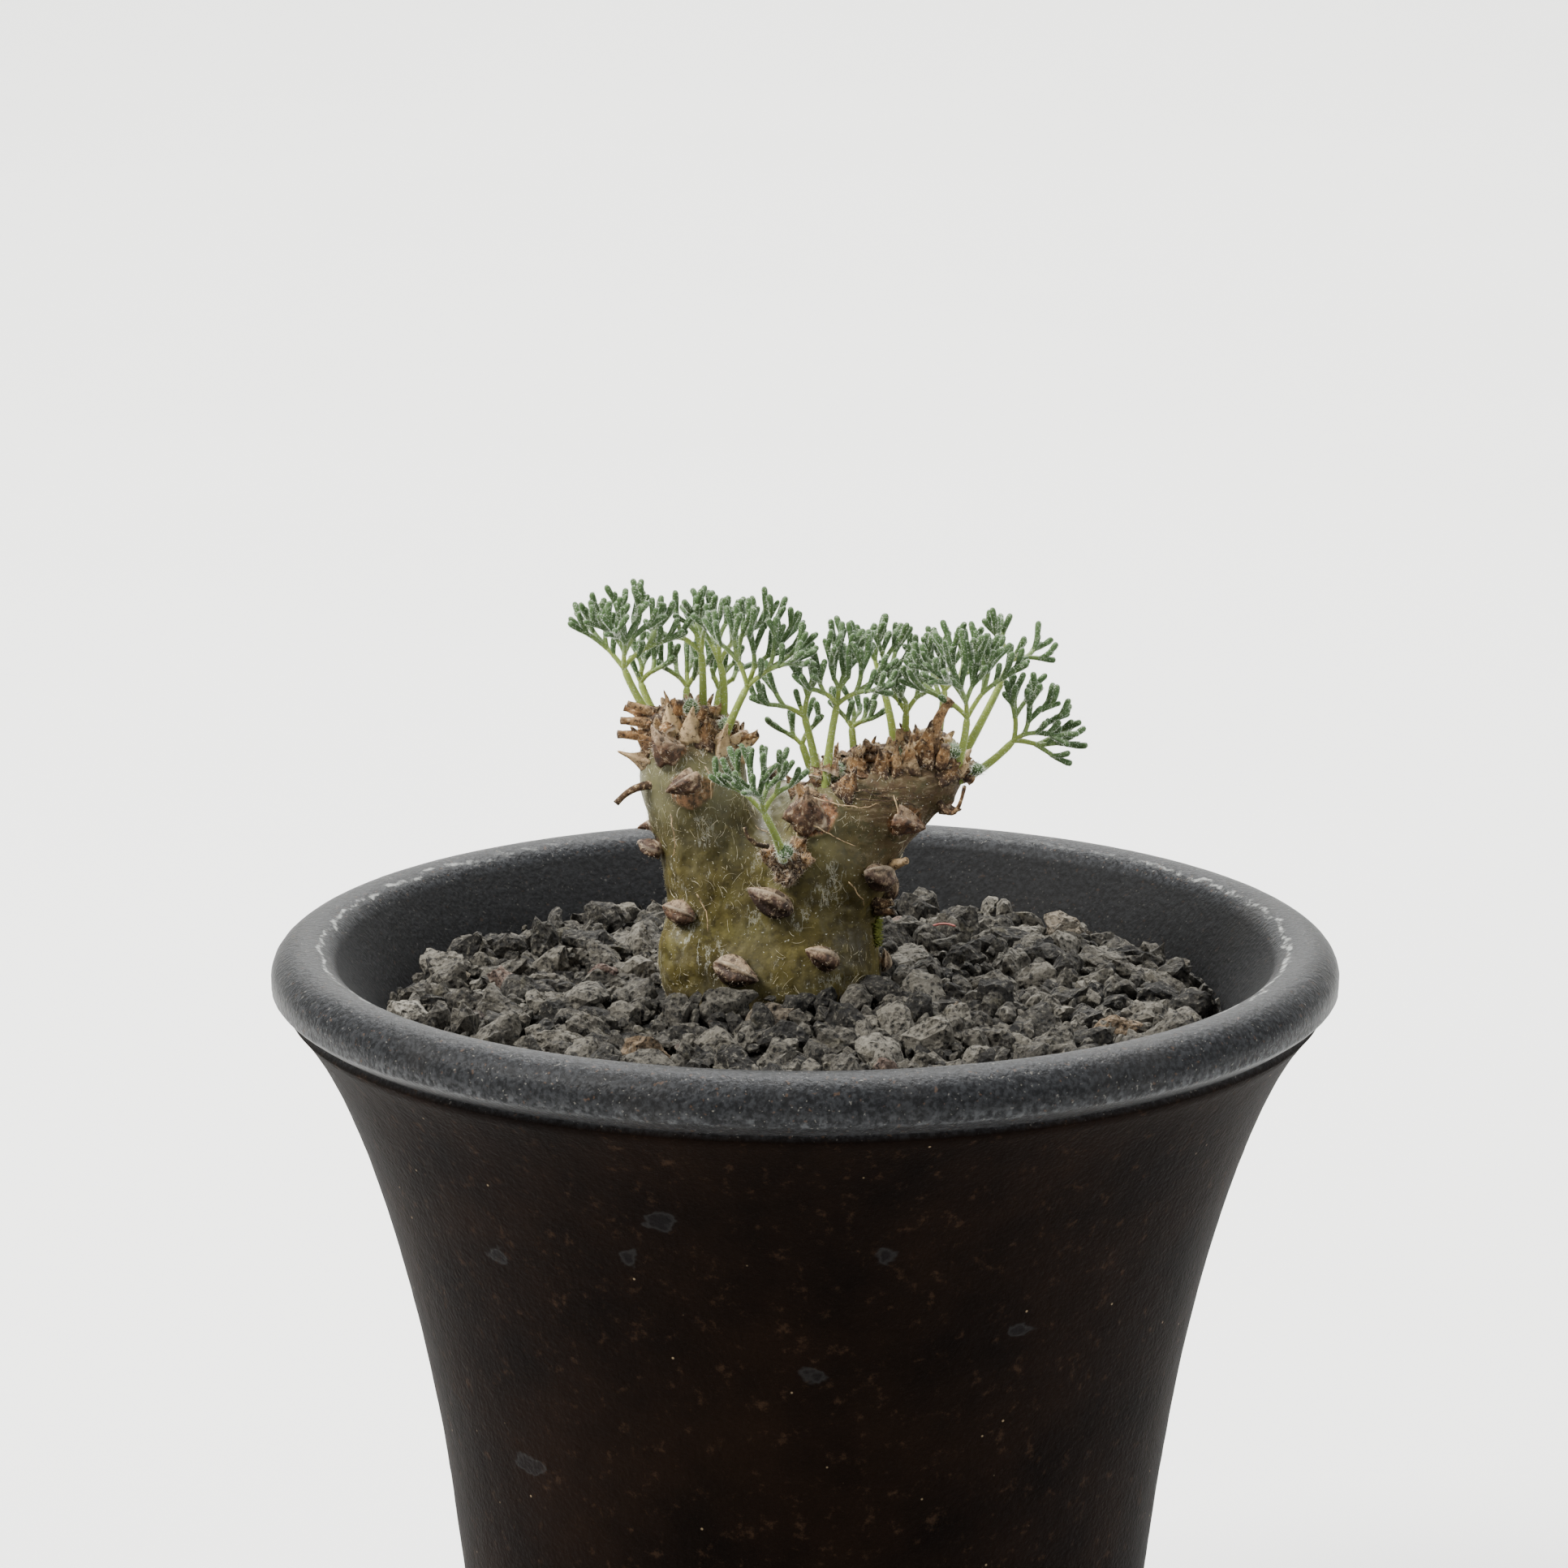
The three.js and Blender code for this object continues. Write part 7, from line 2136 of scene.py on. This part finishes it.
@dataclass
class SmallThings:
    """What lies or stands on the plant beside its leaves: dry stalks, stubs, fibres, buds and moss."""

    stem: Caudex

    def cut_stubs(self) -> Skin:
        """Short hollow-looking stubs of old leaf stalks, with blunt dark ends, and bent dry stalks."""
        runs = (
            ((-14.6, 1.8, 116.0), (-16.4, 1.2, 116.5), (-18.1, 0.8, 116.6), 0.42, 0.58),
            ((-15.0, 1.6, 114.9), (-16.8, 0.9, 115.2), (-18.4, 0.5, 115.3), 0.44, 0.50),
            ((-14.8, 2.2, 117.0), (-15.9, 1.8, 117.7), (-17.4, 1.4, 118.2), 0.38, 0.62),
            ((-15.2, 1.8, 116.2), (-16.4, 2.6, 117.1), (-17.8, 2.8, 117.5), 0.36, 0.45),
            ((-13.8, 1.0, 109.9), (-16.6, 0.2, 110.9), (-18.6, 0.0, 108.4), 0.34, 0.10),
            ((13.0, 1.4, 108.6), (14.8, -0.3, 105.6), (15.6, 0.0, 110.4), 0.21, 0.20),
            ((-3.6, -3.4, 105.0), (-5.6, -4.7, 105.4), (-5.9, -4.3, 107.2), 0.17, 0.05),
            ((13.2, 0.8, 112.2), (13.6, 0.2, 113.4), (13.7, -0.2, 114.3), 0.52, 0.45),
            ((8.6, 0.6, 102.2), (9.3, -0.4, 102.6), (9.9, -1.0, 103.0), 0.40, 0.80),
            ((6.8, 0.4, 98.4), (7.8, -0.2, 98.3), (8.6, -0.5, 98.7), 0.42, 0.12),
            ((6.9, 0.8, 97.6), (8.0, 0.5, 97.3), (8.8, 0.4, 97.5), 0.36, 0.16),
            ((-7.6, 2.4, 113.2), (-6.4, 1.4, 114.6), (-4.6, 0.6, 115.4), 0.36, 0.42),
            ((-10.4, 1.6, 115.8), (-10.2, 0.9, 117.2), (-9.7, 0.6, 118.0), 0.40, 0.20),
            ((-12.4, 1.6, 116.4), (-12.7, 0.9, 117.6), (-12.2, 0.5, 118.6), 0.44, 0.34),
            ((3.2, 0.6, 109.6), (3.6, -0.2, 110.8), (4.3, -0.6, 111.4), 0.34, 0.30),
            ((8.2, 1.6, 111.4), (8.0, 0.6, 112.6), (7.4, 0.0, 113.2), 0.36, 0.50),
            ((10.6, 1.4, 112.6), (10.9, 0.4, 113.9), (11.6, 0.0, 114.8), 0.36, 0.36),
            ((12.4, 1.4, 112.6), (12.2, 0.7, 116.4), (14.3, 0.6, 118.9), 0.50, 0.55),
        )
        starts, bends, ends = (np.array([run[i] for run in runs]) for i in range(3))
        share = np.concatenate([[0.0, 0.01], np.linspace(0.12, 0.94, 9), [0.985, 0.99, 0.9]])
        paths = bent_paths(starts, bends, ends, share)
        rings = share[1:-1]
        swell = 1.60 - 0.85 * rings + 0.20 * smooth_step(rings, 0.86, 0.98)
        swell[-1] = 0.50
        radii, tones = (np.array([run[i] for run in runs]) for i in (3, 4))
        skin = tubes(paths, radii[:, None] * swell, 12)
        skin.moved(0.05 * layered_noise(skin.points, 0.5, 81, 2))
        return skin.marked("tone", tones).marked("rim", 0.0)

    def fibres(self) -> Skin:
        """Thin dry fibres that lie over the bare stem, drawn on to its skin."""
        runs = (
            ((0.4, 0.0, 106.4), (0.6, -2.0, 104.2), (-0.4, -2.0, 102.4)),
            ((0.9, 0.0, 107.0), (2.4, -2.0, 105.6), (4.6, -1.0, 104.6)),
            ((1.0, 0.0, 108.6), (4.2, -1.6, 108.0), (7.2, -0.6, 108.6)),
            ((-4.4, -1.0, 107.2), (-2.6, -2.2, 105.6), (-3.0, -2.4, 103.8)),
            ((-0.2, -1.0, 106.9), (-1.6, -2.4, 105.4), (-0.8, -2.6, 103.0)),
            ((3.6, -1.0, 101.4), (5.0, -1.8, 100.2), (5.6, -1.2, 98.4)),
            ((-12.8, -1.0, 108.0), (-12.4, -1.8, 105.2), (-13.2, -1.4, 103.2)),
            ((-9.6, -2.0, 112.8), (-8.8, -2.4, 111.0), (-9.2, -2.4, 109.4)),
            ((8.6, -0.6, 109.4), (9.2, -1.0, 108.0), (8.4, -1.2, 106.2)),
            ((-10.6, -2.2, 100.0), (-9.2, -2.6, 98.4), (-9.4, -2.6, 96.0)),
            ((4.4, 0.0, 109.6), (7.4, -0.8, 109.4), (11.6, 0.0, 108.2)),
            ((4.2, 0.0, 109.2), (6.6, -0.8, 109.9), (10.4, 0.0, 110.0)),
            ((4.6, -0.2, 108.8), (8.0, -0.8, 108.6), (12.2, 0.4, 109.4)),
            ((-0.2, -0.6, 109.4), (-1.4, -1.2, 108.2), (-2.2, -1.6, 106.2)),
            ((-0.6, -0.6, 110.0), (0.8, -1.6, 110.4), (1.8, -0.8, 108.6)),
        )
        starts, bends, ends = (np.array([run[i] for run in runs]) for i in range(3))
        share = np.linspace(0.0, 1.0, 18)
        paths = bent_paths(starts, bends, ends, share)
        flat = paths.reshape(-1, 3)
        lift = 0.42 + 0.30 * layered_noise(flat, 1.2, 91, 2)
        flat = self.stem.laid(flat, lift, 6)
        flat = flat + 0.22 * np.stack([layered_noise(flat, 0.9, seed, 2) for seed in (92, 93, 94)], -1)
        paths = flat.reshape(paths.shape)
        radii = np.broadcast_to(0.08 * (1.0 - 0.5 * share[1:-1]), (len(runs), len(share) - 2))
        tone = np.where(np.arange(len(runs)) < 10, 0.85, 0.06)
        return tubes(paths, radii, 5).marked("tone", tone).marked("rim", 0.0)

    def skin_threads(self, skin: Skin) -> Skin:
        """Fine white threads of peeling skin that lie on the bare stem.

        Formula: they start where a noise, the height and the nearness to the left edge add up to
        most. Each runs on along the skin, mostly upright, bends, and is drawn on to it with a lift.
        """
        rng = np.random.default_rng(97)
        count = 2300
        spots, out = random_spots(skin, 5 * count, 98)
        patch = soft_noise(spots, 2.4, 96) + 0.022 * spots[:, 2] - 0.030 * spots[:, 0]
        kept = np.argsort(patch + 0.30 * rng.normal(size=len(spots)))[-count:]
        spots, out = spots[kept], out[kept]
        way = rng.normal(size=(count, 3)) * np.array([0.7, 0.7, 1.0])
        way = made_unit(way - np.sum(way * out, -1, keepdims=True) * out)
        side = np.cross(out, way)
        length = 0.15 + 1.70 * rng.uniform(size=(count, 1)) ** 3.2
        bend = spots + 0.5 * length * way + rng.normal(size=(count, 1)) * 0.22 * length * side
        share = np.linspace(0.0, 1.0, 7)
        paths = bent_paths(spots, bend, spots + length * way, share)
        flat = paths.reshape(-1, 3)
        lift = 0.10 + 0.10 * layered_noise(flat, 0.7, 99, 2)
        depth = np.repeat(self.stem.distance(spots), len(share))
        flat = self.stem.laid(flat, depth + lift, 2)
        radii = 0.006 + 0.016 * rng.uniform(size=(count, 1)) ** 2 * np.ones(len(share) - 2)
        return tubes(flat.reshape(paths.shape), radii, 3)

    def buds(self) -> Skin:
        """Young leaves, still folded to woolly drops: one low on the front, others in the crowns."""
        drops = (
            ((-2.1, -4.1, 104.2), (-2.1, -5.0, 105.2), 0.8), ((14.2, 1.7, 112.8), (14.6, 1.3, 114.2), 0.85),
            ((16.4, 2.2, 111.0), (17.2, 1.7, 111.9), 0.6),
            ((-11.4, 2.4, 116.6), (-11.2, 2.0, 118.6), 0.7), ((2.6, 1.4, 110.6), (3.6, 0.9, 112.2), 0.7),
            ((9.4, 2.6, 112.2), (9.2, 2.2, 113.8), 0.6), ((-8.4, 2.2, 115.0), (-7.7, 1.7, 116.7), 0.6),
        )
        starts, ends, radii = (np.array([drop[i] for drop in drops]) for i in range(3))
        share = np.concatenate([[0.0], np.linspace(0.03, 0.97, 10), [1.0]])
        paths = bent_paths(starts, 0.5 * (starts + ends) + [0.2, 0.0, 0.1], ends, share)
        swell = np.sin(np.pi * np.clip(share[1:-1], 0.08, 0.94)) ** 0.6
        skin = tubes(paths, radii[:, None] * swell, 18)
        skin.moved(0.18 * layered_noise(skin.points, 0.8, 95, 2))
        skin.marks.pop("along")
        return skin.marked("age", 0.8)

    def moss(self) -> Skin:
        """A little cushion of moss at the foot of the right branch, as short leafy spikes."""
        rng = np.random.default_rng(96)
        middles = np.array([(8.6, 2.0, 96.6), (8.4, 1.2, 95.2)])
        spots = middles[rng.integers(0, 2, 260)] + rng.normal(size=(260, 3)) * 0.55
        spots = self.stem.laid(spots, 0.15, 8)
        out = self.stem.out_of(spots)
        tips = spots + rng.uniform(0.3, 0.8, (260, 1)) * made_unit(out + 0.5 * rng.normal(size=out.shape))
        return spikes(spots - 0.2 * out, tips, 0.16)

    def thread(self) -> Skin:
        """The pink-red fibre that lies on the gravel to the right."""
        places = ((12.6, 20.6, 90.7), (14.2, 22.8, 90.9), (15.4, 20.9, 90.7))
        start, bend, end = (np.array([spot]) for spot in places)
        paths = bent_paths(start, bend, end, np.linspace(0.0, 1.0, 14))
        return tubes(paths, np.full((1, 12), 0.12), 6)


class Dressing:
    """The whole object: builds each sub-assembly and dresses it."""

    def __init__(self) -> None:
        """Sets up the sub-assemblies that others need to know."""
        self.pot = FlaredPot()
        self.stem = Caudex()
        self.crowns = crowns_on(self.stem)

    def build(self) -> None:
        """Makes all pieces."""
        self.pot.build()
        LavaGravel(self.pot, self.stem).build()
        scales = ScaleFinish().made()
        stubs = DryStubs(self.stem)
        stem_skin = self.stem.skin(stubs.seats())
        place(stem_skin, "stem_skin", Slot.STEM, StemFinish().made(), ("caudex",))
        stub_skin = stubs.skin()
        place(stub_skin, "stem_stubs", Slot.SCALES, HuskFinish().made())
        crown_skins = [crown.build(scales) for crown in self.crowns]
        small = SmallThings(self.stem)
        dry = joined_skins([small.cut_stubs(), small.fibres()])
        place(dry, "dry_stalks", Slot.SCALES, scales)
        self.build_leaves(small)
        self.build_hairs(stem_skin, stub_skin, crown_skins)
        place(small.moss(), "moss", Slot.STEM,
              PlainFinish("moss", (0.085, 0.105, 0.018), (0.17, 0.18, 0.035), 0.6).made())
        place(small.thread(), "red_fibre", Slot.LAVA,
              PlainFinish("red_fibre", (0.20, 0.060, 0.052), (0.29, 0.120, 0.100), 0.8).made())

    def build_leaves(self, small: SmallThings) -> None:
        """Makes the leaves, the folded young leaves, and the white wool on all of them."""
        finish = LeafFinish().made()
        wool_finish = PlainFinish("white_wool", (0.78, 0.84, 0.68), (0.92, 0.94, 0.84), 0.5, 0.85).made()
        grown = LeafGrower(self.stem, self.crowns).grown()
        skins = LeafDresser(self.stem).dressed(grown)
        for plan, skin in zip(PLANS, skins):
            place(skin, f"{plan.name}_fine", Slot.LEAF, finish, (plan.name,))
        buds = small.buds()
        place(buds, "young_leaves", Slot.LEAF, finish)
        wool = Wool(0.10, 0.28, 0.018, 0.50)
        for number, start in enumerate(range(0, len(skins), 6)):
            group = skins[start: start + 6]
            hairs = [wool.on(skin, int(skin.count() * 0.70), 700 + 2 * (start + i))
                     for i, skin in enumerate(group)]
            place(joined_skins(hairs), f"leaf_wool_{number + 1}", Slot.LEAF, wool_finish, smooth=False)
        bud_wool = Wool(0.25, 0.7, 0.024, 0.6, 0.3).on(buds, 1300, 760)
        place(bud_wool, "young_leaf_wool", Slot.LEAF, wool_finish, smooth=False)

    def build_hairs(self, stem_skin: Skin, stub_skin: Skin, crown_skins: list[Skin]) -> None:
        """Makes the short white hairs on the stem and the tan fluff on the scales."""
        white = PlainFinish("stem_hairs", (0.62, 0.54, 0.34), (0.84, 0.78, 0.60), 0.5, 0.8).made()
        tan = PlainFinish("scale_fluff", (0.44, 0.36, 0.27), (0.66, 0.58, 0.47), 0.5, 0.85).made()
        hairs = Wool(0.10, 0.36, 0.010, 0.9).on(stem_skin, 3600, 801)
        threads = SmallThings(self.stem).skin_threads(stem_skin)
        threads.marks.clear()
        place(joined_skins([hairs, threads]), "stem_hairs", Slot.STEM, white, smooth=False)
        fluff = [Wool(0.2, 0.75, 0.020, 0.9, 0.2).on(skin, 1700, 810 + 2 * i)
                 for i, skin in enumerate(crown_skins)]
        fluff.append(Wool(0.15, 0.5, 0.020, 0.9).on(stub_skin, 1200, 830))
        place(joined_skins(fluff), "scale_fluff", Slot.SCALES, tan, smooth=False)


# Stage


@dataclass
class Studio:
    """A pale floor that curves up into a backdrop, soft lamps, and the photograph's camera.

    The camera's place is in metres, its pitch and turn are in degrees.
    """

    floor_color: Color = (0.88, 0.88, 0.865)
    focal: float = 7500.0 / 1932.0 * 36.0
    camera_place: Place = (0.0, -0.580307, 0.244457)
    camera_pitch: float = 13.0017
    camera_turn: float = 0.2053
    reach: float = 2000.0
    bend_from: float = 1500.0
    bend_radius: float = 300.0
    wall_heights: tuple[float, float] = (700.0, 1600.0)

    def floor(self) -> None:
        """The floor and backdrop, one sheet that bends up behind the object."""
        across = np.linspace(-self.reach, self.reach, 15)
        bend = np.linspace(0.0, 0.5 * math.pi, 24)[1:]
        flat = np.linspace(-self.reach, self.bend_from, 24)
        back = np.full(2, self.bend_from + self.bend_radius)
        y = np.concatenate([flat, self.bend_from + self.bend_radius * np.sin(bend), back])
        rise = self.bend_radius - self.bend_radius * np.cos(bend)
        z = np.concatenate([0.0 * flat, rise, self.wall_heights])
        grid = np.stack(np.broadcast_arrays(across[None, :], y[:, None], z[:, None]), -1)
        rows, cols = grid.shape[:2]
        row = np.arange(rows - 1)[:, None] * cols
        col = np.arange(cols - 1)[None, :]
        quads = np.stack([row + col, row + col + 1, row + cols + col + 1, row + cols + col], -1)
        mesh = bpy.data.meshes.new("studio_floor")
        mesh.from_pydata((grid.reshape(-1, 3) * MM).tolist(), [], quads.reshape(-1, 4).tolist())
        mesh.polygons.foreach_set("use_smooth", np.full(len(mesh.polygons), True))
        warm = tuple(0.985 * channel for channel in self.floor_color)
        mesh.materials.append(PlainFinish("studio_paper", self.floor_color, warm, 180.0, 0.9, 0.0).made())
        sheet = bpy.data.objects.new("studio_floor", mesh)
        bpy.context.scene.collection.objects.link(sheet)

    def lamp(self, name: str, place_at: Place, aim: Place,
             size: float, power: float, color: Color) -> None:
        """A square soft lamp that looks at a place. Lengths are metres here."""
        light = bpy.data.lights.new(name, "AREA")
        light.shape = "SQUARE"
        light.size = size
        light.energy = power
        light.color = color
        lamp = bpy.data.objects.new(name, light)
        direction = mathutils.Vector(aim) - mathutils.Vector(place_at)
        lamp.location = place_at
        lamp.rotation_euler = direction.to_track_quat("-Z", "Y").to_euler()
        bpy.context.scene.collection.objects.link(lamp)

    def build(self) -> None:
        """Sets up floor, lamps, world and camera."""
        self.floor()
        self.lamp("key", (-0.62, -0.22, 0.80), (0.0, 0.0, 0.10), 0.36, 20.0, (1.0, 0.985, 0.95))
        self.lamp("fill", (0.75, -0.25, 0.55), (0.0, 0.0, 0.10), 0.55, 4.0, (0.95, 0.975, 1.0))
        self.lamp("backdrop", (0.0, 1.25, 1.30), (0.0, 1.45, 0.0), 1.20, 52.0, (1.0, 1.0, 0.985))
        self.lamp("top", (0.05, 0.30, 0.90), (0.0, 0.0, 0.10), 0.50, 12.0, (1.0, 1.0, 1.0))
        world = bpy.data.worlds.new("studio_air")
        world.use_nodes = True
        world.node_tree.nodes["Background"].inputs["Color"].default_value = (1.0, 0.99, 0.965, 1.0)
        world.node_tree.nodes["Background"].inputs["Strength"].default_value = 0.38
        bpy.context.scene.world = world
        lens = bpy.data.cameras.new("camera")
        lens.sensor_width = 36.0
        lens.lens = self.focal
        lens.clip_start = 0.01
        lens.clip_end = 20.0
        lens.dof.use_dof = False
        camera = bpy.data.objects.new("camera", lens)
        camera.location = self.camera_place
        tilt = math.radians(90.0 - self.camera_pitch)
        camera.rotation_euler = (tilt, 0.0, math.radians(self.camera_turn))
        bpy.context.scene.collection.objects.link(camera)
        bpy.context.scene.camera = camera


def main() -> None:
    """Builds the pieces and the studio."""
    logging.basicConfig(level=logging.INFO, format="%(message)s")
    Dressing().build()
    Studio().build()


if __name__ == "__main__":
    main()
